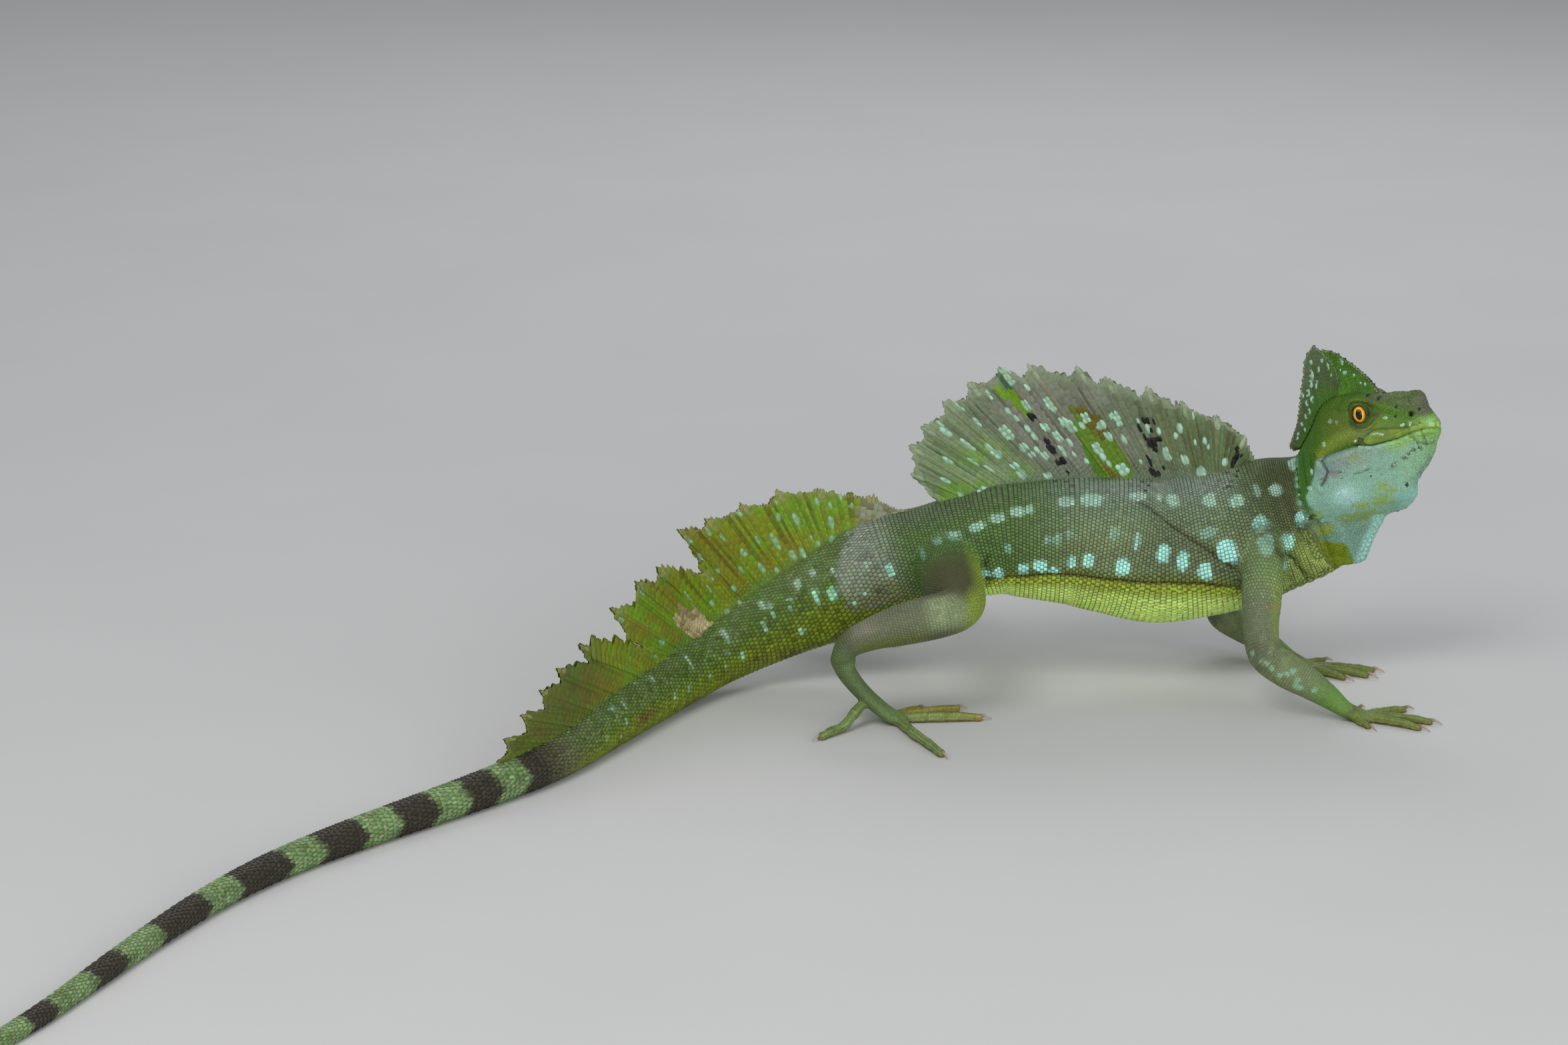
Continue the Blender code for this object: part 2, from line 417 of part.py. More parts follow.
# ---------------------------------------------------------------- fins on back and tail
roots, edge = np.array([row[0] for row in BACK_FIN]), np.array([row[1:] for row in BACK_FIN])
low = np.array([body_top(NECK_X - x) - [0, 0, 1.6] for x in roots])
high = np.column_stack([edge[:, 0], np.zeros(len(edge)), edge[:, 1]])
back_fin = fin("sail_back", low, high, np.tile([0, 1.0, 0], (len(edge), 1)), FIN, rows=3)
cut(back_fin, body_cutter)

rows = np.array(TAIL_FIN_ROWS) + [VENT, VENT, 0]
low = np.array([body_top(s) - [0, 0, 1.6] for s in rows[:, 0]])
high = np.array([[np.interp(s, LINE_S, LINE[:, 0]), np.interp(s, LINE_S, LINE[:, 1]), z] for s, z in rows[:, 1:]])
across = unit(np.array([np.cross([0, 0, 1.0], [np.interp(s, LINE_S, AHEAD[:, k]) for k in range(3)]) for s in rows[:, 0]]))
tail_fin = fin("sail_tail", low, high, across, TAIL_FIN, rows=3)
cut(tail_fin, body_cutter)

# ---------------------------------------------------------------- limbs


def toe(name, row):
    """One toe with its claw, lying on the floor, as a single tapering loft."""
    radius = row[8]
    root, knuckle, tip = np.array(row[0:3]), np.array(row[3:6]), np.array([row[6], row[7], 0.78 * radius - SOLE])
    root[2] += radius - SOLE
    knuckle[2] += 0.95 * radius - SOLE
    ahead = unit((tip - knuckle) * [1, 1, 0])
    line = [(*root, radius), (*(root * 0.5 + knuckle * 0.5 + [0, 0, 0.2]), radius * 0.98), (*knuckle, radius * 0.95), (*(knuckle * 0.45 + tip * 0.55 + [0, 0, 0.25]), radius * 0.86), (*tip, radius * 0.78)]
    for reach, drop, size in ((0.5, 0.35, 0.66), (0.3, 0.5, 1.0), (1.6, 0.45, 0.9), (CLAW_LENGTH * 0.75, 0.15, 0.55), (CLAW_LENGTH, -0.45, 0.22)):
        line.append((*(tip + ahead * reach + [0, 0, drop]), CLAW_RADIUS * size))
    line = np.asarray(line)[[0, 2, 3, 4, 7, 8, 9]]
    along = unit(np.gradient(line[:, :3], axis=0))
    across = unit(np.cross(along, [0, 0, 1.0]))
    lift = np.cross(across, along)
    t = (np.arange(7) + 0.5) * 2 * np.pi / 7
    rings = [line[k, :3] + line[k, 3] * (np.outer(np.sin(t), across[k]) + np.outer(np.cos(t), lift[k])) for k in range(len(line))]
    return loft(name, rings, into=cutter_set)


for side, arm, leg in (("R", ARM_R, LEG_R), ("L", ARM_L, LEG_L)):
    for rows, parts, counts in ((arm, ARM_PARTS, (6, 6, 4)), (leg, LEG_PARTS, (7, 8, 7))):
        for number, (label, start, end) in enumerate(parts):
            rings = limb_rings(rows, start, end, counts[number], 12 if number < 2 else 11)
            rings = shift_along(rings, 0 if number == 0 else GAP / 2, GAP / 2 if number < 2 else 0)
            piece = loft(f"{label}_{side}", rings, OLIVE if number == 0 else GREEN)
            if number == 0:
                cut(piece, body_cutter)
            if number == 2:
                for digit, row in enumerate(TOES[f"{label}_{side}"]):
                    cut(piece, toe(f"cut_{label}_{side}_{digit + 1}", row), "UNION")
                cut(piece, floor)
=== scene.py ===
"""Looks of the adult male green (plumed) basilisk: one skin with its fins, a coat of scales, eyes and claws.

Shapes are worked out in millimetres in the part's own axes and brought to the shared frame by SHIFT and MM.
+X is ahead of the animal, +Y its left, +Z up; the soles and the underside of the tail lie at Z = 0.
"""

import bmesh
import bpy
import numpy as np
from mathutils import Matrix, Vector
from mathutils.bvhtree import BVHTree
from mathutils.kdtree import KDTree


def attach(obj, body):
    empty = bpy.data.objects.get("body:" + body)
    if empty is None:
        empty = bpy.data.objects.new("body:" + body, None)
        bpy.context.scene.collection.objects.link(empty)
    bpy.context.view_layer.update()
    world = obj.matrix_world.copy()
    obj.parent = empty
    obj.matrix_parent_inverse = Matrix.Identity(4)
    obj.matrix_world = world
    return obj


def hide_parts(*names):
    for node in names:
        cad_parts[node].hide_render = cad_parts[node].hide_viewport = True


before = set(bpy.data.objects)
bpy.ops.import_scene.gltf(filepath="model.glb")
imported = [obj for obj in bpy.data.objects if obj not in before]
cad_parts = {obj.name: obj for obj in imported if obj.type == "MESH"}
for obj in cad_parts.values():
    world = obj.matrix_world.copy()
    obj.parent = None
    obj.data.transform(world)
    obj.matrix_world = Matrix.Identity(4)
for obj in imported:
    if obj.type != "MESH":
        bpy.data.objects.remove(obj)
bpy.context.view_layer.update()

MM = 0.001
SHIFT = np.array([20.86, 153.335, 0.0])
rng = np.random.default_rng(29)

# ---------------------------------------------------------------- camera
scene = bpy.context.scene
camera = bpy.data.objects.new("camera", bpy.data.cameras.new("camera"))
scene.collection.objects.link(camera)
camera.location = (0.02086, -1.29556, 0.4427)
camera.rotation_euler = (np.radians(75.0), 0, 0)
camera.data.lens = 6750 * 36 / 2352
camera.data.sensor_width = 36
camera.data.clip_start, camera.data.clip_end = 0.05, 40
scene.camera = camera
scene.view_settings.view_transform = "Standard"

# ---------------------------------------------------------------- sizes shared with the solids
NECK_X, VENT, TAIL_LENGTH = 186.0, 151.0, 505.0
HEAD_AT, HEAD_YAW, HEAD_PITCH = (174.5, -2.0, 74.3), -20.0, 13.0
EYE_AT, EYE_RADIUS = (21.8, 4.9, 16.2), 4.3
BODY = (
    (0, -5.0, 63.0, 15.0, 19.0, 8.6, 0.15),
    (8, -2.6, 60.5, 18.0, 21.5, 10.6, 0.15),
    (16, -1.0, 57.2, 20.6, 22.8, 12.6, 0.15),
    (25, 0.0, 54.2, 22.0, 24.2, 14.6, 0.15),
    (32, 0.0, 51.8, 22.2, 25.0, 16.3, 0.12),
    (47, 0.0, 48.3, 22.6, 25.6, 18.4, 0.10),
    (61, 0.0, 46.9, 23.4, 26.2, 19.4, 0.10),
    (78, 0.0, 48.9, 21.5, 24.8, 19.4, 0.10),
    (92, 0.0, 50.4, 19.8, 23.2, 18.8, 0.10),
    (110, 0.0, 50.4, 17.8, 20.4, 17.2, 0.12),
    (125, 0.0, 47.4, 16.4, 18.4, 15.4, 0.15),
    (136, 0.0, 43.6, 16.8, 17.6, 13.8, 0.22),
    (148, 0.0, 39.4, 18.6, 18.0, 12.0, 0.36),
    (159, 0.0, 34.8, 18.8, 16.6, 11.2, 0.46),
    (171, 0.0, 29.6, 17.6, 15.2, 10.3, 0.50),
    (184, 0.0, 24.4, 15.8, 13.6, 9.6, 0.50),
    (198, 0.0, 19.2, 14.0, 12.2, 9.0, 0.46),
    (213, 0.0, 14.6, 12.4, 11.0, 8.5, 0.42),
    (230, 0.0, 10.9, 11.2, 9.9, 8.1, 0.38),
    (250, 0.0, 9.2, 10.0, 9.4, 7.7, 0.34),
    (280, 0.0, 8.2, 8.9, 8.4, 7.1, 0.30),
    (310, 0.0, 6.7, 7.3, 6.9, 6.3, 0.22),
    (345, 0.0, 5.5, 5.9, 5.7, 5.4, 0.12),
    (400, 0.0, 4.6, 4.9, 4.8, 4.6, 0.05),
    (470, 0.0, 3.7, 3.9, 3.9, 3.8, 0.0),
    (540, 0.0, 2.9, 3.1, 3.1, 3.0, 0.0),
    (600, 0.0, 2.2, 2.4, 2.4, 2.3, 0.0),
    (640, 0.0, 1.6, 1.8, 1.8, 1.7, 0.0),
    (656, 0.0, 1.2, 1.3, 1.3, 1.3, 0.0),
)
TAIL_HEADING = ((0, 0), (28, 8), (55, 30), (80, 55), (110, 64), (150, 65), (190, 52), (230, 48), (270, 51), (310, 61), (350, 68), (400, 70), (440, 62), (475, 38), (505, 12))
HEAD = (
    (-3.0, (0, 5.0), (4.2, 4.2), (8.2, 0.5), (10.4, -5.0), (10.8, -11.0), (7.6, -18.0), (0, -21.0)),
    (3.0, (0, 12.5), (3.6, 11.6), (8.2, 6.5), (11.0, 0.5), (12.0, -7.0), (8.8, -17.0), (0, -21.8)),
    (9.0, (0, 20.2), (4.6, 19.4), (8.7, 12.5), (11.2, 4.0), (12.2, -5.0), (9.2, -16.5), (0, -21.8)),
    (15.0, (0, 22.2), (6.2, 22.4), (9.0, 15.2), (11.0, 6.5), (11.6, -3.0), (8.8, -15.5), (0, -21.2)),
    (21.0, (0, 21.8), (7.0, 23.0), (8.5, 16.2), (10.3, 8.0), (10.4, -1.5), (8.0, -14.0), (0, -20.2)),
    (27.0, (0, 20.8), (6.0, 20.6), (7.2, 14.8), (8.9, 8.0), (8.8, -0.5), (6.8, -12.6), (0, -18.8)),
    (33.0, (0, 20.6), (4.8, 18.9), (6.0, 13.6), (7.4, 7.5), (7.2, 0.4), (5.2, -10.0), (0, -15.6)),
    (36.0, (0, 20.6), (4.5, 18.2), (5.6, 13.0), (6.8, 7.5), (6.4, 1.0), (4.2, -6.0), (0, -9.6)),
    (40.0, (0, 19.6), (3.8, 16.8), (4.8, 12.0), (5.5, 7.5), (5.1, 1.6), (3.0, -3.2), (0, -5.4)),
    (43.0, (0, 14.6), (2.8, 13.0), (3.6, 10.2), (4.0, 7.3), (3.6, 3.0), (1.9, 0.2), (0, -0.8)),
    (45.6, (0, 9.4), (1.0, 9.0), (1.5, 8.0), (1.7, 6.6), (1.5, 5.2), (0.8, 4.4), (0, 4.2)),
)
DEWLAP = ((-16.0, -2.6, 22.0, 7.6), (-20.5, -2.6, 21.4, 7.2), (-24.0, -2.6, 18.8, 5.8), (-28.0, -2.4, 16.0, 4.6), (-31.5, -1.8, 13.9, 3.6), (-33.6, 1.5, 12.6, 2.7), (-34.6, 5.0, 11.0, 1.6))
BACK_FIN = ((156.8, 155.9, 74.4), (155.6, 155.4, 77.2), (153.8, 152.4, 82.9), (152.0, 149.0, 86.3), (149.5, 143.3, 89.7), (147.0, 137.8, 91.3), (142.5, 132.2, 94.5), (139.5, 128.2, 94.2), (135.0, 120.4, 99.9), (132.0, 117.8, 97.4), (125.5, 106.6, 103.3), (122.0, 103.6, 101.3), (117.0, 97.1, 107.2), (113.5, 93.8, 104.0), (106.5, 81.2, 107.8), (103.0, 79.0, 103.6), (98.5, 71.4, 106.7), (95.5, 69.6, 102.4), (91.0, 61.5, 101.7), (88.0, 60.2, 96.8), (84.0, 53.4, 95.2), (81.0, 53.5, 91.4), (77.0, 46.4, 87.0), (74.0, 47.0, 82.9), (70.5, 42.5, 79.9), (67.5, 44.1, 73.8), (65.0, 43.6, 70.3), (62.0, 47.0, 66.9), (59.0, 49.7, 63.5), (56.5, 54.6, 60.2))
TAIL_FIN_ROWS = ((-18.0, -18.4, 57.2), (-13.0, -12.0, 57.6), (-6.0, -2.0, 59.0), (0.0, 6.0, 62.4), (6.0, 18.0, 64.0), (12.0, 26.0, 65.2), (16.0, 33.0, 64.4), (21.0, 40.5, 65.3), (25.0, 44.5, 62.4), (31.0, 54.5, 62.2), (35.0, 59.0, 60.0), (41.0, 70.0, 59.6), (44.0, 72.5, 57.4), (49.0, 84.0, 59.3), (52.0, 77.5, 51.6), (55.0, 70.5, 41.0), (60.0, 81.0, 44.8), (64.0, 99.5, 50.6), (68.0, 99.5, 45.2), (73.0, 111.5, 48.5), (78.0, 115.0, 41.4), (84.0, 130.0, 44.6), (88.0, 119.0, 33.0), (93.0, 107.5, 25.4), (100.0, 118.0, 28.4), (110.0, 151.5, 38.2), (117.0, 146.0, 30.1), (127.0, 166.0, 34.4), (133.0, 163.5, 29.4), (142.0, 176.5, 30.0), (147.0, 174.5, 23.6), (155.0, 184.5, 24.0), (160.0, 183.5, 18.2), (168.0, 192.5, 18.4), (175.0, 191.0, 13.6), (184.0, 198.0, 12.6))
CREST_FRONT = ((14.2, 30.0), (13.6, 35.0), (12.9, 38.2), (15.3, 36.7), (18.1, 34.1), (23.0, 29.8), (25.7, 26.0), (27.6, 21.4))
CREST_REAR = ((13.5, 30.0), (12.4, 35.2), (8.8, 39.8), (5.6, 34.7), (5.1, 31.3), (3.2, 27.0), (0.9, 18.2), (-0.5, 15.0), (-3.2, 12.0), (-5.4, 8.6), (-3.9, 5.6))
ARM_R = ((158.5, -9.0, 51.0, 8.4, 6.6), (158.0, -17.0, 43.5, 7.0, 7.0), (157.2, -25.0, 35.5, 6.2, 6.5), (156.4, -32.5, 27.5, 5.6, 5.8), (157.4, -38.6, 20.4, 5.7, 5.6), (164.0, -41.4, 15.6, 5.7, 5.6), (171.5, -43.4, 11.6, 5.0, 4.9), (178.0, -45.0, 7.4, 3.8, 3.9), (183.0, -46.0, 3.8, 2.7, 3.3), (187.5, -46.6, 1.95, 2.1, 4.2), (192.0, -47.0, 1.3, 1.4, 3.8))
ARM_L = ((158.5, 9.0, 51.0, 8.4, 6.6), (156.0, 18.0, 42.0, 7.0, 7.0), (152.5, 25.5, 31.0, 6.2, 6.5), (149.5, 30.0, 21.5, 5.6, 5.8), (150.0, 31.0, 14.0, 5.2, 5.4), (155.5, 28.0, 10.6, 5.1, 5.0), (161.5, 22.5, 8.2, 4.4, 4.5), (167.0, 17.0, 5.6, 3.4, 3.6), (171.0, 13.2, 3.6, 2.6, 3.3), (175.0, 10.5, 1.95, 2.1, 4.2), (179.4, 8.4, 1.3, 1.4, 3.8))
LEG_R = ((53.0, -3.0, 44.0, 11.0, 10.6), (54.0, -14.0, 42.2, 10.8, 10.5), (55.5, -25.0, 40.8, 10.1, 9.9), (57.0, -36.0, 39.8, 8.7, 8.7), (57.5, -45.0, 39.2, 7.6, 7.6), (54.0, -51.0, 38.2, 7.2, 7.2), (46.5, -53.6, 36.8, 7.2, 7.0), (37.5, -54.2, 34.6, 6.6, 6.4), (28.5, -53.8, 31.6, 5.3, 5.1), (21.0, -52.8, 27.4, 4.2, 4.2), (19.2, -51.8, 21.0, 3.4, 4.3), (22.8, -50.8, 14.2, 2.9, 4.6), (28.8, -50.0, 7.6, 2.5, 4.8), (35.0, -49.6, 2.6, 2.2, 4.9), (40.0, -49.5, 1.3, 1.45, 4.4))
LEG_L = ((53.0, 3.0, 44.0, 11.0, 10.6), (53.0, 14.0, 42.0, 10.8, 10.5), (51.5, 25.0, 40.0, 10.1, 9.9), (49.0, 36.0, 37.4, 8.7, 8.7), (46.0, 44.0, 34.8, 7.6, 7.6), (40.0, 48.6, 31.8, 7.2, 7.2), (31.0, 50.2, 28.0, 7.2, 7.0), (21.5, 50.4, 24.0, 6.6, 6.4), (12.0, 50.0, 20.4, 5.2, 5.0), (4.5, 49.6, 17.0, 4.2, 4.2), (1.6, 49.4, 12.2, 3.4, 4.3), (5.0, 49.2, 7.8, 2.9, 4.6), (11.0, 49.2, 4.4, 2.5, 4.8), (17.0, 49.2, 2.1, 2.2, 4.9), (21.5, 49.2, 1.3, 1.45, 4.4))
LIMBS = {"arm_R": ARM_R, "arm_L": ARM_L, "leg_R": LEG_R, "leg_L": LEG_L}
TOES = {
    "arm_R": ((185.5, -43.4, 0.0, 186.8, -39.8, 0.15, 189.0, -36.4, 1.25), (189.5, -44.6, 0.0, 196.5, -41.4, 0.35, 203.5, -37.4, 1.4), (191.0, -46.2, 0.0, 200.5, -48.0, 0.45, 210.0, -51.0, 1.45), (190.0, -48.0, 0.0, 198.0, -52.4, 0.45, 205.5, -57.4, 1.45), (186.0, -48.6, 0.0, 187.4, -52.0, 0.2, 189.6, -55.6, 1.3)),
    "arm_L": ((173.0, 8.0, 0.0, 174.0, 4.4, 0.15, 176.0, 1.0, 1.25), (176.0, 7.4, 0.0, 182.0, 3.4, 0.35, 188.0, -1.6, 1.4), (178.0, 8.0, 0.0, 187.0, 5.0, 0.45, 196.0, 1.0, 1.45), (178.4, 9.8, 0.0, 188.0, 9.0, 0.45, 198.6, 7.0, 1.45), (175.4, 12.4, 0.0, 179.0, 15.6, 0.2, 183.4, 18.2, 1.3)),
    "leg_R": ((35.5, -46.4, 0.0, 40.0, -42.0, 0.2, 44.0, -37.4, 1.5), (37.5, -47.2, 0.0, 47.0, -42.6, 0.5, 56.5, -37.0, 1.6), (38.5, -49.0, 0.0, 51.0, -48.4, 0.6, 63.5, -47.0, 1.65), (37.0, -51.4, 0.0, 42.0, -67.0, 0.6, 50.0, -85.0, 1.65), (26.0, -52.0, 6.4, 19.5, -59.0, 0.8, 12.0, -67.5, 1.6)),
    "leg_L": ((17.0, 46.2, 0.0, 20.5, 42.0, 0.2, 25.0, 38.2, 1.5), (19.0, 46.8, 0.0, 28.0, 43.0, 0.5, 37.0, 40.0, 1.6), (20.0, 48.6, 0.0, 32.0, 48.6, 0.6, 44.0, 49.2, 1.65), (19.0, 50.8, 0.0, 31.0, 57.0, 0.6, 43.5, 66.5, 1.65), (8.0, 51.4, 3.2, 3.0, 58.0, 0.45, -1.0, 66.0, 1.6)),
}
CLAW_LENGTH, CLAW_RADIUS, SOLE = 4.4, 0.95, 0.22

# ---------------------------------------------------------------- shape functions


def curve(table, at):
    """Smooth line through the rows of a table; the first column is the station."""
    table = np.asarray(table, float)
    x, y = table[:, 0], table[:, 1:]
    at = np.atleast_1d(np.asarray(at, float))
    step = np.diff(x)[:, None]
    slope = np.diff(y, axis=0) / step
    m = np.zeros_like(y)
    same = slope[:-1] * slope[1:] > 0
    m[1:-1] = np.where(same, 2 * slope[:-1] * slope[1:] / np.where(same, slope[:-1] + slope[1:], 1), 0)
    m[0], m[-1] = slope[0], slope[-1]
    i = np.clip(np.searchsorted(x, at) - 1, 0, len(x) - 2)
    t = np.clip((at - x[i]) / (x[i + 1] - x[i]), 0, 1)[:, None]
    h = step[i]
    return (2 * t**3 - 3 * t**2 + 1) * y[i] + (t**3 - 2 * t**2 + t) * h * m[i] + (3 * t**2 - 2 * t**3) * y[i + 1] + (t**3 - t**2) * h * m[i + 1]


def spline(points, at):
    """Catmull-Rom line through rows numbered 0, 1, 2 ..."""
    p = np.asarray(points, float)
    p = np.vstack([2 * p[0] - p[1], p, 2 * p[-1] - p[-2]])
    at = np.atleast_1d(np.asarray(at, float))
    i = np.clip(at.astype(int), 0, len(p) - 4)
    t = (at - i)[:, None]
    a, b, c, d = p[i], p[i + 1], p[i + 2], p[i + 3]
    return 0.5 * (2 * b + (c - a) * t + (2 * a - 5 * b + 4 * c - d) * t**2 + (3 * b - a - 3 * c + d) * t**3)


def unit(v):
    return v / np.maximum(np.linalg.norm(v, axis=-1, keepdims=True), 1e-12)


def step(lo, hi, x):
    """Smooth rise from 0 at lo to 1 at hi."""
    t = np.clip((np.asarray(x, float) - lo) / (hi - lo), 0, 1)
    return t * t * (3 - 2 * t)


def hump(x, mid, wide):
    return np.exp(-(((x - mid) / wide) ** 2))


def hashed(i, j, k, seed):
    n = (i * 374761393 + j * 668265263 + k * 1440662683 + seed * 1274126177) & 0xFFFFFFFF
    n = ((n ^ (n >> 13)) * 1274126177) & 0xFFFFFFFF
    return ((n ^ (n >> 16)) & 0xFFFF) / 65535.0


def noise(p, size, seed=0):
    """Smooth value noise from 0 to 1 at points p."""
    q = np.asarray(p, float) / size
    i = np.floor(q).astype(np.int64)
    f = q - i
    f = f * f * (3 - 2 * f)
    total = 0
    for dx in (0, 1):
        for dy in (0, 1):
            for dz in (0, 1):
                w = (f[..., 0] if dx else 1 - f[..., 0]) * (f[..., 1] if dy else 1 - f[..., 1]) * (f[..., 2] if dz else 1 - f[..., 2])
                total = total + w * hashed(i[..., 0] + dx, i[..., 1] + dy, i[..., 2] + dz, seed)
    return total


def fbm(p, size, seed=0, octaves=3):
    total, weight = 0, 0
    for o in range(octaves):
        total = total + noise(p, size / 2**o, seed + o) * 0.5**o
        weight += 0.5**o
    return total / weight


LINE_S = np.arange(0, VENT + TAIL_LENGTH + 0.5, 1.0)
ROWS = curve(BODY, LINE_S)
LINE = np.zeros((len(LINE_S), 3))
LINE[:, 2] = ROWS[:, 1]
for k, s in enumerate(LINE_S):
    if s <= VENT:
        LINE[k, :2] = NECK_X - s, ROWS[k, 0]
    else:
        run = np.sqrt(max(1 - (LINE[k, 2] - LINE[k - 1, 2]) ** 2, 0.05))
        turn = np.radians(curve(TAIL_HEADING, s - VENT)[0, 0])
        LINE[k, :2] = LINE[k - 1, :2] - run * np.array([np.cos(turn), np.sin(turn)])
AHEAD = unit(np.gradient(LINE, axis=0))


def line_at(s):
    """Place on the body line, and the directions back, left and up there, for an array of stations."""
    s = np.atleast_1d(np.asarray(s, float))
    mid = np.column_stack([np.interp(s, LINE_S, LINE[:, k]) for k in range(3)])
    back = unit(np.column_stack([np.interp(s, LINE_S, AHEAD[:, k]) for k in range(3)]))
    left = unit(np.cross(np.array([0, 0, 1.0]), -back))
    return mid, -back, left, np.cross(-back, left)


def body_point(s, t, grow=0.0):
    """Points of the body's surface at stations s and angles t (0 at the top, positive to the left)."""
    s, t = np.broadcast_arrays(np.asarray(s, float), np.asarray(t, float))
    shape = s.shape
    s, t = s.ravel(), t.ravel()
    row = curve(BODY, s)
    mid, _, left, up = line_at(s)
    cos, sin = np.cos(t), np.sin(t)
    high = np.where(cos > 0, row[:, 2], row[:, 3]) + grow
    side = np.sign(sin) * np.abs(sin) ** 0.92 * (row[:, 4] + grow) * (1 - row[:, 5] * np.clip(cos, 0, 1) ** 1.5)
    p = mid + side[:, None] * left + (np.sign(cos) * np.abs(cos) ** 0.96 * high)[:, None] * up
    return p.reshape(*shape, 3)


def body_coords(p):
    """Station and angle (degrees, 0 top, positive left) of points near the body."""
    s = np.zeros(len(p))
    for start in range(0, len(p), 4000):
        q = p[start : start + 4000]
        d = ((q[:, None, :] - LINE[None, ::4]) ** 2).sum(2)
        s[start : start + 4000] = LINE_S[::4][np.argmin(d, axis=1)]
    for _ in range(3):
        mid, ahead, left, up = line_at(s)
        s = np.clip(s - ((p - mid) * ahead).sum(1), 0, VENT + TAIL_LENGTH)
    mid, ahead, left, up = line_at(s)
    row = curve(BODY, s)
    a, b = ((p - mid) * left).sum(1), ((p - mid) * up).sum(1)
    ang = np.arctan2(a, b)
    for _ in range(5):
        c = np.cos(ang)
        sn = a / (row[:, 4] * (1 - row[:, 5] * np.clip(c, 0, 1) ** 1.5))
        cn = b / np.where(c > 0, row[:, 2], row[:, 3])
        ang = np.arctan2(np.sign(sn) * np.abs(sn) ** (1 / 0.92), np.sign(cn) * np.abs(cn) ** (1 / 0.96))
    return s, np.degrees(ang)


def head_axes():
    y, p = np.radians(HEAD_YAW), np.radians(HEAD_PITCH)
    ahead = np.array([np.cos(p) * np.cos(y), np.cos(p) * np.sin(y), np.sin(p)])
    left = np.array([-np.sin(y), np.cos(y), 0.0])
    return ahead, left, np.cross(ahead, left)


H_AHEAD, H_LEFT, H_UP = head_axes()


def from_head(points):
    p = np.atleast_2d(np.asarray(points, float))
    return np.array(HEAD_AT) + p[:, :1] * H_AHEAD + p[:, 1:2] * H_LEFT + p[:, 2:3] * H_UP


def head_coords(p):
    q = p - np.array(HEAD_AT)
    return q @ H_AHEAD, q @ H_LEFT, q @ H_UP


HEAD_TABLE = [(row[0], *np.ravel(row[1:])) for row in HEAD]


def head_ring(a, half=40):
    knots = curve(HEAD_TABLE, a)[0].reshape(7, 2)
    side = spline(knots, np.linspace(0, 6, half + 1))
    side[:, 0] = np.maximum(side[:, 0], 0)
    side[0, 0] = side[-1, 0] = 0
    ring = np.vstack([side, np.column_stack([-side[-2:0:-1, 0], side[-2:0:-1, 1]])])
    return from_head(np.column_stack([np.full(len(ring), a), ring]))


def head_top(a):
    return curve([(row[0], row[1][1]) for row in HEAD], a)[:, 0]


def limb_frame(rows, at):
    at = np.atleast_1d(np.asarray(at, float))
    line = spline(rows, at)
    along = unit(spline(rows, np.clip(at + 0.02, 0, len(rows) - 1))[:, :3] - spline(rows, np.clip(at - 0.02, 0, len(rows) - 1))[:, :3])
    across = unit(np.cross(along, np.array([0, 0, 1.0])))
    return line, along, across, np.cross(across, along)


def limb_rings(rows, at, count):
    line, along, across, up = limb_frame(rows, at)
    t = np.arange(count) * 2 * np.pi / count
    return line[:, None, :3] + np.sin(t)[None, :, None] * line[:, 4, None, None] * across[:, None] + np.cos(t)[None, :, None] * line[:, 3, None, None] * up[:, None]


def toe_line(row, n=26):
    """Centre line and radius of a toe, root to tip."""
    radius = row[8]
    root, knuckle, tip = np.array(row[0:3]), np.array(row[3:6]), np.array([row[6], row[7], 0.78 * radius - SOLE])
    root[2] += radius - SOLE
    knuckle[2] += 0.95 * radius - SOLE
    keys = np.array([(*root, radius), (*(root * 0.5 + knuckle * 0.5 + [0, 0, 0.2]), radius * 0.98), (*knuckle, radius * 0.95), (*(knuckle * 0.45 + tip * 0.55 + [0, 0, 0.25]), radius * 0.86), (*tip, radius * 0.78)])
    line = spline(keys, np.linspace(0, 4, n))
    at = np.linspace(0, 4, n)
    line[:, 3] *= 1 + 0.07 * np.cos(at * np.pi * 1.0) ** 2 - 0.03
    return line, unit((tip - knuckle) * [1, 1, 0])


def tube_rings(line, count):
    along = unit(np.gradient(line[:, :3], axis=0))
    across = unit(np.cross(along, [0, 0, 1.0]))
    lift = np.cross(across, along)
    t = np.arange(count) * 2 * np.pi / count
    return line[:, None, :3] + line[:, 3, None, None] * (np.sin(t)[None, :, None] * across[:, None] + np.cos(t)[None, :, None] * lift[:, None])


# ---------------------------------------------------------------- mesh helpers


def lay(name, verts, *faces):
    """Mesh in millimetres from a vertex array and any number of face arrays."""
    mesh = bpy.data.meshes.new(name)
    faces = [np.asarray(f, np.int32) for f in faces if len(f)]
    loops = np.concatenate([f.ravel() for f in faces])
    sizes = np.concatenate([np.full(len(f), f.shape[1]) for f in faces])
    mesh.vertices.add(len(verts))
    mesh.vertices.foreach_set("co", np.asarray(verts, np.float32).ravel())
    mesh.loops.add(len(loops))
    mesh.loops.foreach_set("vertex_index", loops)
    mesh.polygons.add(len(sizes))
    mesh.polygons.foreach_set("loop_start", np.concatenate([[0], np.cumsum(sizes)[:-1]]).astype(np.int32))
    mesh.update(calc_edges=True)
    mesh.polygons.foreach_set("use_smooth", np.ones(len(sizes), bool))
    return mesh


def co_of(mesh):
    co = np.zeros(len(mesh.vertices) * 3, np.float32)
    mesh.vertices.foreach_get("co", co)
    return co.reshape(-1, 3).astype(float)


def edges_of(mesh):
    e = np.zeros(len(mesh.edges) * 2, np.int32)
    mesh.edges.foreach_get("vertices", e)
    return e.reshape(-1, 2)


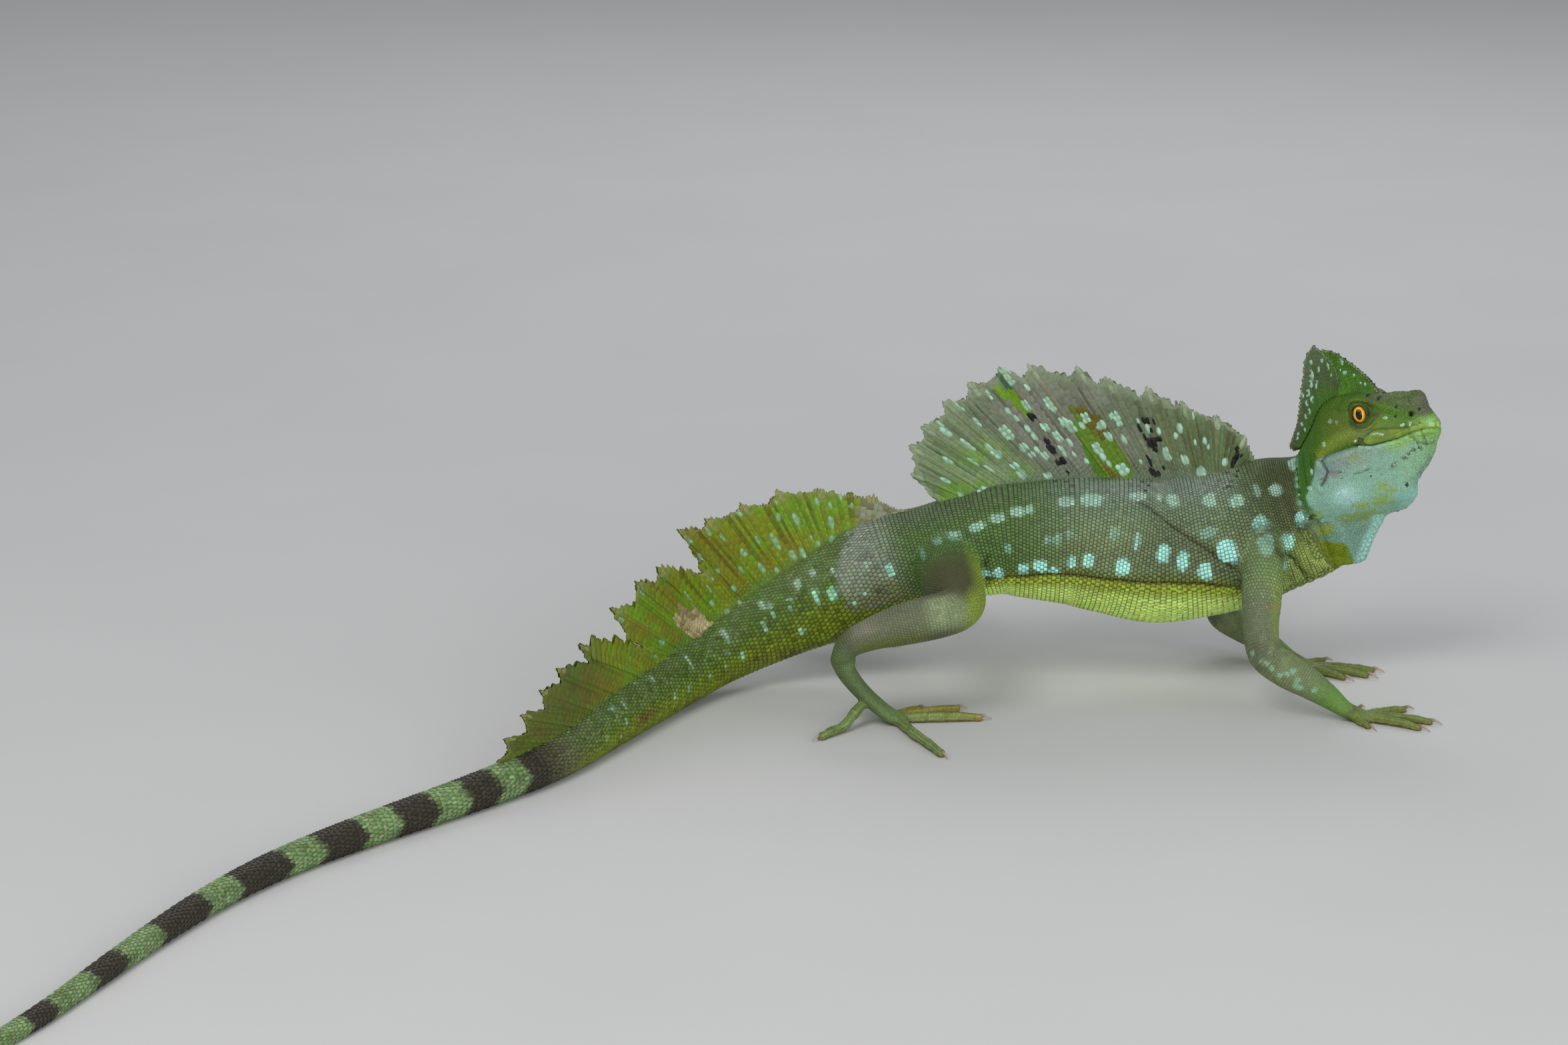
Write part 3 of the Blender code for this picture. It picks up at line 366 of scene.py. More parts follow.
def normals_of(mesh):
    n = np.zeros(len(mesh.vertices) * 3, np.float32)
    mesh.vertex_normals.foreach_get("vector", n)
    return n.reshape(-1, 3).astype(float)


def averaged(values, edges, count):
    total = np.zeros_like(values)
    for c in range(values.shape[1]):
        total[:, c] = np.bincount(edges[:, 0], values[edges[:, 1], c], count) + np.bincount(edges[:, 1], values[edges[:, 0], c], count)
    number = np.bincount(edges.ravel(), minlength=count)
    return total / np.maximum(number, 1)[:, None]


def relax(values, edges, weight, rounds):
    for _ in range(rounds):
        values = values + np.reshape(weight, (-1, 1)) * (averaged(values, edges, len(values)) - values)
    return values


def grid_faces(m, n, wrap=False, flip=False):
    i, j = np.meshgrid(np.arange(m - 1), np.arange(n if wrap else n - 1), indexing="ij")
    k = (j + 1) % n
    f = np.stack([i * n + j, i * n + k, (i + 1) * n + k, (i + 1) * n + j], -1).reshape(-1, 4)
    return f[:, ::-1] if flip else f


def to_frame(mesh):
    mesh.vertices.foreach_set("co", ((co_of(mesh) + SHIFT) * MM).astype(np.float32).ravel())
    mesh.update()


def set_colour(mesh, colour):
    attribute = mesh.color_attributes.new("Col", "FLOAT_COLOR", "POINT")
    rgba = np.ones((len(colour), 4), np.float32)
    rgba[:, :3] = np.clip(colour, 0, 1)
    attribute.data.foreach_set("color", rgba.ravel())


def rgb(r, g, b):
    """Linear colour from screen values."""
    c = np.array([r, g, b]) / 255.0
    return np.where(c <= 0.04045, c / 12.92, ((c + 0.055) / 1.055) ** 2.4)


def mix(a, b, w):
    w = np.reshape(w, (-1, 1))
    return a * (1 - w) + b * w


def near_line(x, y, points):
    """Distance from points (x, y) to an open line, and how far along it."""
    points = np.asarray(points, float)
    best, along = np.full(len(x), 1e9), np.zeros(len(x))
    lengths = np.concatenate([[0], np.cumsum(np.linalg.norm(np.diff(points, axis=0), axis=1))])
    for k in range(len(points) - 1):
        d = points[k + 1] - points[k]
        t = np.clip(((x - points[k, 0]) * d[0] + (y - points[k, 1]) * d[1]) / (d @ d), 0, 1)
        r = np.hypot(x - points[k, 0] - t * d[0], y - points[k, 1] - t * d[1])
        closer = r < best
        best = np.where(closer, r, best)
        along = np.where(closer, (lengths[k] + t * np.hypot(*d)) / lengths[-1], along)
    return best, along


# ---------------------------------------------------------------- flesh: lofts made one by a fine remesh
verts, quads, tris, template, count = [], [], [], [], 0


def add_loft(rings, label):
    global count
    m, n = rings.shape[:2]
    verts.append(rings.reshape(-1, 3))
    verts.append(np.array([rings[0].mean(0), rings[-1].mean(0)]))
    quads.append(grid_faces(m, n, wrap=True) + count)
    j = np.arange(n)
    tris.append(np.column_stack([np.full(n, m * n), (j + 1) % n, j]) + count)
    tris.append(np.column_stack([np.full(n, m * n + 1), (m - 1) * n + j, (m - 1) * n + (j + 1) % n]) + count)
    template.append((label, rings.reshape(-1, 3)))
    count += m * n + 2


REGIONS = ["body", "head", "dewlap", "arm_R", "arm_L", "leg_R", "leg_L", "toe_arm_R", "toe_arm_L", "toe_leg_R", "toe_leg_L"]
around = np.arange(72) * 2 * np.pi / 72
add_loft(body_point(np.arange(1.0, 655.5, 1.0)[:, None], around[None, :]), "body")
add_loft(np.array([head_ring(a) for a in np.concatenate([np.arange(-3.0, 45.0, 0.7), [45.3, 45.6]])]), "head")
fan = []
for c, rear, front, half in curve(DEWLAP[::-1], np.linspace(-34.6, -16, 36)).tolist() and [(c, *curve(DEWLAP[::-1], c)[0]) for c in np.linspace(-34.6, -16, 36)]:
    t = around
    a = (rear + front) / 2 + np.cos(t) * (front - rear) / 2
    b = np.sign(np.sin(t)) * np.abs(np.sin(t)) ** 0.8 * half * np.interp(a, (rear, front), (1.15, 0.55))
    fan.append(from_head(np.column_stack([a, b, np.full(72, c)])))
add_loft(np.array(fan), "dewlap")
for name, rows in LIMBS.items():
    add_loft(limb_rings(rows, np.linspace(0, len(rows) - 1, 110), 36), name)
    for row in TOES[name]:
        line, _ = toe_line(row)
        tip = line[-1]
        way = unit(line[-1, :3] - line[-2, :3])
        for reach, size in ((0.35, 0.94), (0.62, 0.8), (0.85, 0.55), (0.98, 0.2)):
            line = np.vstack([line, (*(tip[:3] + way * reach * tip[3]), tip[3] * size)])
        add_loft(tube_rings(line, 20), "toe_" + name)

mesh = lay("flesh", np.vstack(verts), np.vstack(quads), np.vstack(tris))
flesh = bpy.data.objects.new("flesh", mesh)
scene.collection.objects.link(flesh)
remesh = flesh.modifiers.new("remesh", "REMESH")
remesh.mode = "VOXEL"
remesh.voxel_size = 0.62
skin_mesh = bpy.data.meshes.new_from_object(flesh.evaluated_get(bpy.context.evaluated_depsgraph_get()))
bpy.data.objects.remove(flesh)

# the smallest steps of the remesh are taken out, and flesh is rounded where limbs, neck and throat join
V, E = co_of(skin_mesh), edges_of(skin_mesh)
for _ in range(5):
    V = relax(V, E, 0.55, 1)
    V = relax(V, E, -0.57, 1)
joints = np.zeros(len(V))
for centre, reach in (((157, -12, 47), 15), ((157, 12, 47), 15), ((54, -14, 42), 15), ((54, 14, 42), 15), ((174, -3, 70), 16), ((178, -4, 52), 12)):
    d = np.linalg.norm(V - np.array(centre), axis=1)
    joints = np.maximum(joints, 1 - step(reach * 0.75, reach * 1.25, d))
for name in LIMBS:
    for row in TOES[name]:
        d = np.linalg.norm(V - np.array([row[0], row[1], 1.0]), axis=1)
        joints = np.maximum(joints, 0.6 * (1 - step(1.5, 4.0, d)))
V = relax(V, E, 0.6 * joints, 14)
joints = np.zeros(len(V))
for centre, reach in (((158, -20, 41), 11), ((157, 20, 41), 11), ((54, -19, 47), 10), ((53, 19, 46), 10)):
    joints = np.maximum(joints, 1 - step(reach * 0.7, reach * 1.3, np.linalg.norm(V - np.array(centre), axis=1)))
V = relax(V, E, 0.6 * joints, 16)
skin_mesh.vertices.foreach_set("co", V.astype(np.float32).ravel())

# finer faces on the head, finest round the eyes
for rounds, where in ((1, "head"), (1, "eyes")):
    V = co_of(skin_mesh)
    a, b, c = head_coords(V)
    if where == "head":
        pick = (a > -4.5) & (c > -36) & (a < 50) & (np.abs(b) < 16)
    else:
        pick = np.hypot(np.hypot(a - EYE_AT[0], c - EYE_AT[2]), (np.abs(b) - 8) * 0.7) < 7.5
    bm = bmesh.new()
    bm.from_mesh(skin_mesh)
    bm.verts.ensure_lookup_table()
    chosen = set(np.nonzero(pick)[0].tolist())
    cut = [e for e in bm.edges if e.verts[0].index in chosen and e.verts[1].index in chosen]
    bmesh.ops.subdivide_edges(bm, edges=cut, cuts=1, use_grid_fill=True)
    bmesh.ops.triangulate(bm, faces=[f for f in bm.faces if len(f.verts) > 4])
    bm.to_mesh(skin_mesh)
    bm.free()
skin_mesh.update(calc_edges=True)
V, E = co_of(skin_mesh), edges_of(skin_mesh)
a, b, c = head_coords(V)
V = relax(V, E, 0.5 * step(-6, -4, a) * (np.abs(b) < 17), 2)

# which length of the body each point belongs to
tree_size = sum(len(p) for _, p in template)
tree = KDTree(tree_size)
labels, n = [], 0
for label, points in template:
    for p in points:
        tree.insert(p, n)
        n += 1
    labels.append(np.full(len(points), REGIONS.index(label)))
labels = np.concatenate(labels)
tree.balance()
region = labels[np.array([tree.find(p)[1] for p in V])]

# the neck narrows to the throat fan in front of this line (height, place ahead, in the head's own axes)
THROAT = ((-36.0, 2.6), (-33.0, 2.1), (-30.0, 0.4), (-25.4, -0.2), (-20.9, -1.0), (-16.3, -3.5))
a, b, c = head_coords(V)
line_a = np.interp(c, [v[0] for v in THROAT], [v[1] for v in THROAT])
fan_half = np.interp(c, [r[0] for r in DEWLAP[::-1]], [r[3] for r in DEWLAP[::-1]])
room = fan_half * 1.12 + 1.15 * np.maximum(line_a - a, 0)
squeeze = (region == 0) & (c < -14.5) & (c > -38) & (a > line_a - 7) & (np.abs(b) < 14)
strength = squeeze * np.clip((-14.5 - c) / 4, 0, 1)
narrow = np.where(np.abs(b) > room, room + 0.12 * (np.abs(b) - room), np.abs(b))
V = V - H_LEFT * (np.sign(b) * (np.abs(b) - narrow) * strength)[:, None]
region = np.where(squeeze & (a > line_a - 0.3) & (c < -16.0), 2, region)
V = relax(V, E, 0.5 * (squeeze & (a > line_a - 6)), 6)


def limb_coords(p, rows):
    """Row number along a limb, and angle round it."""
    at = np.linspace(0, len(rows) - 1, 240)
    line, along, across, up = limb_frame(rows, at)
    best = np.zeros(len(p), int)
    for start in range(0, len(p), 4000):
        q = p[start : start + 4000]
        best[start : start + 4000] = np.argmin(((q[:, None, :] - line[None, :, :3]) ** 2).sum(2), axis=1)
    q = p - line[best, :3]
    return at[best], np.degrees(np.arctan2((q * across[best]).sum(1), (q * up[best]).sum(1)))


# ---------------------------------------------------------------- folds and features
FOLD = ((36.9, 128), (39.7, 121), (50, 111), (60.2, 107), (79.6, 111), (97.0, 113), (109.8, 120), (120.6, 122))
DIAGONAL = ((72.5, 38), (71.0, 42), (58.6, 61), (47.6, 83), (38.7, 106), (34.7, 123))
SHOULDER = ((29.7, 80), (24.8, 97), (18.8, 119), (17.3, 151))
GROIN = ((119.5, 96), (121.5, 110), (121.0, 130))
MOUTH = ((18.8, 6.6), (20.6, 6.9), (24.7, 6.0), (28.2, 6.2), (33.1, 6.6), (38.2, 7.8), (42.4, 8.1), (46.2, 6.9))
LIP = ((22.3, 8.6), (25.8, 10.8), (30.0, 10.4), (34.3, 9.8), (38.4, 9.6), (45.5, 9.4))
CREASE = ((19.6, 6.7), (14.1, 5.6), (8.8, 4.6), (7.4, 3.3), (8.9, -0.2), (7.6, -2.8), (6.1, -4.4))
UNDER_EYE = ((18.4, 14.9), (19.0, 13.9), (20.7, 12.6), (22.8, 12.0), (25.0, 12.6), (26.6, 14.0))
CANTHUS = ((16.5, 19.6), (18.8, 21.4), (21.9, 21.6), (25.0, 20.6), (27.8, 18.9), (31.0, 16.9), (36.0, 14.9))
SPECKLE = ((25.6, -2.6), (30.0, -2.0), (34.6, 0.0), (38.2, 2.3))
GULAR = ((0.1, -12.4), (1.6, -21.9), (1.7, -30.5))


def normals_now():
    skin_mesh.vertices.foreach_set("co", V.astype(np.float32).ravel())
    skin_mesh.update()
    return normals_of(skin_mesh)


N = normals_now()
s_body, ang_body = body_coords(V)
side = np.abs(ang_body)
on_body = region == 0
round_mm = np.interp(s_body, (0, 60, 150, 250, 650), (0.30, 0.40, 0.28, 0.16, 0.04))  # millimetres to a degree
push = np.zeros(len(V))
for line, depth, wide, bulge in ((FOLD, 0.75, 0.85, -0.7), (DIAGONAL, 0.6, 0.8, 0.45), (SHOULDER, 0.9, 0.9, 0.4), (GROIN, 0.6, 0.8, 0.3)):
    pts = np.array(line, float)
    scale_at = np.interp(pts[:, 0], (0, 60, 150, 250, 650), (0.30, 0.40, 0.28, 0.16, 0.04))
    d, along = near_line(s_body, side * round_mm, np.column_stack([pts[:, 0], pts[:, 1] * scale_at]))
    ends = step(0, 0.15, along) * (1 - step(0.85, 1.0, along))
    ends = 0.25 + 0.75 * ends
    push -= on_body * depth * ends * hump(d, 0, wide)
    push += on_body * abs(bulge) * ends * hump(d, 2.3, 1.7)
push += on_body * 0.16 * np.sin(s_body * 2 * np.pi / 2.9 + side * 0.05) * step(2, 6, s_body) * (1 - step(20, 26, s_body)) * step(60, 100, side)
push += on_body * 0.22 * np.sin(s_body * 2 * np.pi / 7.5) * hump(s_body, 75, 34) * hump(side, 75, 28)
a, b, c = head_coords(V)
near_head = (a > -7) & (a < 50) & (np.abs(b) < 17) & (c > -38) & (c < 30)
wide = near_head * step(3.0, 5.0, np.abs(b))
d, along = near_line(a, c, MOUTH)
push -= near_head * (0.62 - 0.22 * step(0.4, 0.7, along)) * np.exp(-((d / 0.36) ** 2)) * step(0.0, 0.05, along)
above = near_head * (c > 6.2)
push += above * 0.30 * hump(d, 1.6, 1.0) * (a > 17)
push += near_head * (c < 8) * 0.22 * hump(d, 1.7, 1.1) * (a > 19)
d, along = near_line(a, c, LIP)
push -= near_head * 0.22 * np.exp(-((d / 0.35) ** 2)) * step(0, 0.1, along) * (1 - step(0.75, 0.95, along))
for line, depth in ((UNDER_EYE, 0.28), ([(x + 0.2, z - 1.3) for x, z in UNDER_EYE], 0.2), ([(x, z - 2.7) for x, z in UNDER_EYE[1:]], 0.14)):
    d, along = near_line(a, c, line)
    push -= wide * depth * np.exp(-((d / 0.42) ** 2)) * np.minimum(step(0, 0.12, along), 1 - step(0.85, 1, along))
d, along = near_line(a, c, CREASE)
push -= wide * 0.6 * np.exp(-((d / 0.6) ** 2)) * (1 - 0.5 * along)
push += wide * 0.35 * hump(d, 1.9, 1.2)
d, along = near_line(a, c, ((9.0, 2.4), (10.9, 0.1), (10.2, -2.4)))
push -= wide * 0.35 * np.exp(-((d / 1.1) ** 2))
d, along = near_line(a, c, CANTHUS)
push += near_head * step(2.5, 4.5, np.abs(b)) * 0.75 * np.exp(-((d / 1.15) ** 2)) * (1 - 0.6 * step(0.7, 1.0, along))
push -= near_head * step(2.5, 4.5, np.abs(b)) * 0.28 * hump(a, 31.5, 4) * hump(c, 12.9, 1.6)
push += wide * 0.8 * hump(a, 13.0, 6.5) * hump(c, -8.5, 5.5)
push += near_head * 0.35 * hump(a, 40.3, 2.4) * hump(c, 19.3, 2.6) * hump(np.abs(b), 0, 3)
push -= near_head * 0.45 * hump(a, 37.2, 1.6) * hump(np.abs(b), 0, 2.2) * (c > 16)
d, along = near_line(a, c, GULAR)
push -= near_head * 0.7 * np.exp(-((d / 0.9) ** 2)) * step(2, 4, np.abs(b))
fans = (region == 2) | (near_head & (c < -15))
push += fans * 0.16 * np.sin(a * 2 * np.pi / 2.1 + c * 0.25) * step(-15, -20, -np.abs(c) * -1)
skin_noise = fbm(V, 4.0, 3) - 0.5
push += 0.10 * skin_noise
V = V + N * push[:, None]

# muzzle drawn out to a squarer nose, with a notch before the chin: outlines seen from the side, in head axes
LOFT_EDGE = ((18.0, 22.4), (27.0, 20.9), (33.0, 20.8), (36.0, 20.8), (40.0, 19.7), (43.0, 14.6), (45.6, 9.4), (45.6, 4.2), (43.0, -0.8), (40.0, -5.4), (36.0, -9.6), (33.0, -15.6), (27.0, -18.8), (18.0, -21.0))
SKIN_EDGE = ((18.0, 22.4), (27.4, 21.3), (29.2, 20.6), (31.5, 21.1), (33.8, 21.1), (37.7, 20.8), (41.2, 20.0), (42.8, 18.4), (43.3, 15.9), (43.4, 14.3), (44.2, 13.0), (45.2, 11.1), (45.7, 8.8), (45.7, 6.0), (45.0, 3.8), (43.9, 1.7), (42.4, -1.5), (40.2, -4.6), (38.0, -7.1), (35.4, -9.8), (34.5, -12.1), (34.5, -14.0), (32.6, -16.6), (29.6, -18.5), (25.9, -19.8), (18.0, -21.0))


def reach_round(edge, phi):
    e = np.array(edge)[::-1] - (28.0, 4.0)
    return np.interp(phi, np.arctan2(e[:, 1], e[:, 0]), np.hypot(e[:, 0], e[:, 1]))


a, b, c = head_coords(V)
phi, far = np.arctan2(c - 4.0, a - 28.0), np.hypot(a - 28.0, c - 4.0)
loft, seen = reach_round(LOFT_EDGE, phi), reach_round(SKIN_EDGE, phi)
move = far * (seen / loft - 1) * near_head * step(24.0, 29.0, a) * step(0.35, 0.95, far / loft)
V = V + (move * np.cos(phi))[:, None] * H_AHEAD + (move * np.sin(phi))[:, None] * H_UP
V = relax(V, E, 0.5 * near_head * step(26, 29, a), 2)

# nostrils
for sgn in (-1, 1):
    a, b, c = head_coords(V)
    d = np.hypot((a - 38.4) / 0.95, (c - 13.6) / 0.75)
    near = (b * sgn > 1.2) & (d < 4)
    N = normals_now()
    V += N * (near * (-0.95 * np.exp(-(d**4)) + 0.28 * hump(d, 1.75, 0.5)))[:, None]

# eyes: lids close round the ball, and the skin between them goes behind it
EYE_OPEN = (2.08, 2.80)
eye_centre = {}
for sgn, name in ((-1, "R"), (1, "L")):
    centre = from_head((EYE_AT[0], sgn * EYE_AT[1], EYE_AT[2]))[0]
    out = unit(H_LEFT * sgn + 0.10 * H_AHEAD + 0.10 * H_UP)
    fore = unit(H_AHEAD - out * (H_AHEAD @ out))
    top = unit(np.cross(fore, out)) * (1 if np.cross(fore, out) @ H_UP > 0 else -1)
    eye_centre[name] = (centre, out, fore, top)
    q = V - centre
    r = np.linalg.norm(q, axis=1)
    v = q / np.maximum(r, 1e-9)[:, None]
    x, y = EYE_RADIUS * (v @ fore), EYE_RADIUS * (v @ top)
    facing = (v @ out) > 0.12
    rho = np.hypot(x / EYE_OPEN[0], y / EYE_OPEN[1])
    near = facing & (r < 9) & (rho < 2.4)
    rim = EYE_RADIUS + 0.40 + 0.09 * np.cos((rho - 1.12) * 2 * np.pi / 0.24) * (rho > 1.06) * (rho < 1.7)
    rim = rim + 0.18 * hump(rho, 1.32, 0.25) + 0.30 * hump(y, 3.2, 1.0) * hump(x, -0.4, 2.6)
    blend = np.maximum(step(1.22, 1.62, rho), step(4.9, 6.2, r))
    target = rim * (1 - blend) + (r + 0.05 * np.cos((rho - 1.12) * 2 * np.pi / 0.24) * (rho < 1.72)) * blend
    target = np.where(rho < 1.0, EYE_RADIUS - 0.9 * step(0.0, 0.16, 1.0 - rho) + 0.30 * (1 - step(0.0, 0.16, 1.0 - rho)), target)
    V = np.where(near[:, None], centre + v * target[:, None], V)
    edge = near & (np.abs(rho - 1.0) < 0.12)
    slide = np.where(edge, (np.sign(rho - 1.0 + 1e-9) * 0.02 + 1.0 - rho) * 0.6, 0)
    V += (slide * x)[:, None] * fore + (slide * y)[:, None] * top
V[:, 2] = np.maximum(V[:, 2], 0.02)
N = normals_now()

# ---------------------------------------------------------------- colours
PALE, PALE_GREEN = rgb(190, 236, 226), rgb(176, 222, 182)
SPOTS = (  # station, angle, half length along, half length across (mm), strength
    (132.6, 67, 1.4, 1.6, 1), (127.8, 65, 1.9, 1.7, 1), (120.2, 61, 2.7, 1.6, 1), (114.1, 57, 2.2, 1.6, 1), (108.8, 52, 2.2, 1.9, 1), (104.8, 50, 1.6, 1.7, 0.9), (93.3, 43, 2.7, 2.0, 0.9), (86.2, 41, 3.4, 2.6, 0.95), (71.9, 35, 2.9, 2.0, 0.75), (63.2, 36, 1.4, 1.6, 0.7), (56.2, 39, 2.7, 2.4, 0.95), (42.2, 43, 3.1, 2.5, 0.95), (32.7, 51, 3.0, 2.2, 1), (25, 47, 1.0, 1.9, 0.6),
    (121.1, 114, 1.0, 1.75, 1), (116.9, 116, 1.8, 2.5, 1), (107.1, 109, 1.8, 1.8, 1), (101.5, 105, 2.3, 2.2, 1), (96.9, 108, 1.9, 1.6, 1), (91.1, 100, 1.5, 2.2, 0.9), (85.3, 97, 2.2, 2.3, 1), (73.8, 98, 2.6, 3.0, 1), (61, 85, 2.4, 3.0, 1), (54.5, 91, 2.0, 3.3, 1), (47.7, 101, 2.4, 3.2, 1), (40, 90, 3.4, 3.9, 1),
    (70.5, 77, 1.1, 3.2, 0.5), (112.1, 90, 1.2, 1.5, 0.35), (99.5, 82, 1.0, 1.4, 0.35), (95.9, 81, 1.4, 2.0, 0.35), (92.3, 76, 1.0, 1.4, 0.3), (78, 72, 1.5, 2.4, 0.28), (45, 72, 3.5, 2.0, 0.32),
    (9.9, 22, 1.6, 3.2, 0.9), (18.2, 54, 2.4, 2.2, 0.8), (27.4, 78, 2.7, 2.9, 0.7), (12.8, 89, 2.0, 2.8, 0.95), (19.1, 101, 2.3, 2.5, 1), (27.5, 92, 3.0, 2.2, 0.85), (22.8, 118, 1.4, 2.5, 1), (28.3, 141, 0.7, 1.1, 1), (25, 50, 1.2, 2.0, 0.4),
    (138.5, 75, 0.85, 2.1, 0.85), (140.9, 102, 1.2, 1.7, 0.9), (149.8, 82, 1.4, 2.5, 0.85), (161.4, 92, 0.7, 1.1, 0.9), (165.8, 98, 0.75, 1.2, 1), (156.5, 67, 0.8, 0.8, 0.4), (167.5, 56, 0.6, 1.0, 0.8), (171.5, 78, 1.5, 2.5, 0.95), (177, 73, 1.4, 2.7, 0.9), (174.5, 46, 0.9, 1.1, 0.8), (181, 48, 1.4, 1.6, 0.8), (186, 60, 0.5, 0.7, 0.8), (187.5, 70, 0.8, 0.8, 0.8), (187, 103, 1.2, 1.5, 0.9),
    (194, 53, 1, 1, 0.8), (194, 65, 0.8, 1, 0.8), (196.5, 44, 1.1, 1.8, 0.8), (199, 75, 0.9, 2.3, 0.85), (212.5, 95, 1.0, 1.7, 0.85), (215.5, 52, 1.1, 2.6, 0.85), (218.5, 75, 0.7, 0.9, 0.8), (221, 94, 0.5, 0.7, 0.7), (230.5, 94, 0.8, 0.8, 0.75), (238, 52, 0.8, 2.5, 0.8), (243, 91, 0.9, 1.2, 0.8), (253, 89, 0.8, 1.1, 0.75), (250, 108, 0.6, 1.1, 0.7), (260.5, 35, 0.9, 1.0, 0.7), (269, 19, 0.7, 1.0, 0.6), (288.5, 38, 1.7, 1.2, 0.65), (282, 48, 1.1, 1.3, 0.65), (285, 80, 0.8, 0.8, 0.6), (289.5, 111, 0.6, 0.8, 0.6), (298, 88, 0.8, 1.0, 0.55),
)
NAPE_BLACK = ((68.5, 20, 0.6), (66.6, 12, 0.55), (70.4, 13, 0.55), (69.6, 27, 0.5), (66.9, 25, 0.45), (71.8, 20, 0.45), (92.4, 12, 0.5), (94.6, 18, 0.5), (91.0, 22, 0.45), (96.2, 9, 0.45), (32.4, 28, 0.5), (37.2, 24, 0.5), (30, 22, 1.0), (31.5, 17, 0.5), (36, 34, 0.45), (34.5, 33, 0.55), (33, 34, 0.5), (33.5, 12, 0.6), (28.6, 14, 0.5))
BANDS = (195, 221, 250, 282, 321, 365, 403, 438, 468, 494)


def arc_at(s, degrees):
    """Millimetres to a degree round the body at a station and angle."""
    t = np.radians(degrees)
    row = curve(BODY, s)
    cos = np.cos(t)
    wide = row[:, 4] * (1 - row[:, 5] * np.clip(cos, 0, 1) ** 1.5)
    high = np.where(cos > 0, row[:, 2], row[:, 3])
    return np.hypot(cos * wide, np.sin(t) * high) * np.pi / 180


def paint_body(p, s, ang, gain=1.0):
    """Colour of neck, trunk and tail, from station and angle; the second value tells the pale spots."""
    side = np.abs(ang)
    hand = np.where(ang < 0, 0.0, 1.0)
    big, small = fbm(p, 14, 40), fbm(p, 3.2, 50)
    behind = step(84, 132, s)
    colour = np.tile(rgb(104, 124, 92), (len(p), 1))
    colour = mix(colour, rgb(118, 132, 118), hump(side, 22, 24) * (1 - behind) * step(24, 40, s))
    # painted highlight: lighter patch on the swell of the mid flank
    colour = mix(colour, rgb(130, 152, 112), hump(s, 80, 14) * hump(side, 80, 22) * 0.75)
    colour = mix(colour, rgb(112, 124, 84), hump(side, 92, 24) * (1 - behind) * 0.8)
    colour = mix(colour, rgb(88, 98, 62), hump(s, 44, 14) * step(70, 100, side) * 0.5)
    colour = mix(colour, rgb(84, 98, 70), hump(s, 60, 9) * hump(side, 80, 20) * 0.6)
    colour = mix(colour, rgb(76, 106, 44), step(82, 112, s) * (0.7 + 0.3 * big))
    colour = mix(colour, rgb(86, 100, 76), hump(side, 20, 22) * behind * (1 - step(140, 165, s)) * 0.8)
    colour = mix(colour, rgb(74, 90, 54), step(0.56, 0.72, big) * 0.45)
    # neck, with paler upright folds
    neck = 1 - step(18, 34, s)
    colour = mix(colour, rgb(60, 68, 33), neck * 0.9)
    colour = mix(colour, rgb(100, 108, 62), neck * step(0.2, 0.9, np.sin(s * 2 * np.pi / 4.6 + side * 0.04)) * step(50, 90, side) * 0.6)
    colour = mix(colour, rgb(146, 166, 82), neck * step(86, 124, side) * 0.85)
    shoulder = hump(s, 28, 8) * hump(side, 112, 26)
    colour = mix(colour, rgb(110, 136, 84), shoulder * 0.8)
    colour = mix(colour, rgb(66, 96, 44), hump(s, 82, 5.5) * (1 - step(7, 15, side)) * 0.75)
    # belly under the fold
    fold = np.interp(s, [v[0] for v in FOLD], [v[1] for v in FOLD], left=128, right=122)
    trunk = step(22, 34, s) * (1 - step(138, 170, s))
    belly = step(-1.0, 1.5, side - fold) * trunk
    colour = mix(colour, rgb(124, 136, 48), step(-11, -1, side - fold) * trunk * (1 - belly) * 0.75)
    colour = mix(colour, mix(rgb(146, 164, 48), rgb(190, 220, 112), step(3, 20, side - fold)), belly)
    colour = mix(colour, rgb(140, 156, 60), belly * step(0.5, 0.75, big) * 0.4)
    colour = mix(colour, rgb(128, 142, 56), belly * step(150, 178, side) * 0.5)
    # tail: green, more yellow below
    tail = step(146, 172, s)
    colour = mix(colour, rgb(80, 106, 30), tail * (0.8 + 0.2 * small))
    colour = mix(colour, rgb(112, 128, 16), tail * step(66, 108, side) * 0.9)
    colour = mix(colour, rgb(110, 128, 84), tail * (1 - step(58, 84, side)) * step(0.40, 0.66, noise(p, 2.2, 62)) * 0.55)
    colour = mix(colour, rgb(60, 66, 20), tail * step(0.58, 0.76, noise(p, 1.7, 63)) * 0.4)
    colour = mix(colour, rgb(84, 70, 30), tail * step(0.52, 0.7, fbm(p, 6, 61)) * step(84, 124, side) * 0.5)
    colour = mix(colour, rgb(96, 118, 70), tail * hump(side, 30, 24) * 0.4)
    stain = hump(s, 272, 7) * hump(side, 99, 16)
    colour = mix(colour, rgb(104, 78, 34), stain * 0.7)
    # unshed grey patch at the tail's root, its edge along the scale rows
    across = np.round(side * arc_at(s, side) / 1.3)
    ragged = 3.4 * (hashed(across.astype(np.int64), hand.astype(np.int64), (across * 0).astype(np.int64), 5) - 0.5) + 3.0 * (noise(np.column_stack([side / 9, side * 0, hand * 4 + 7]), 1.0, 5) - 0.5)
    edge = np.interp(side, (0, 20, 45, 60, 79, 101, 113, 118), (154, 158.5, 163, 166, 169.5, 171, 164, 157.5)) + ragged
    unshed = step(-0.4, 0.4, edge - s) * step(141, 153, s) * (1 - step(112, 120, side))
    old = mix(rgb(134, 146, 128), rgb(114, 118, 80), step(66, 108, side))
    old = mix(old, rgb(92, 92, 78), step(0.5, 0.68, small) * 0.35)
    colour = mix(colour, old, unshed * 0.95)
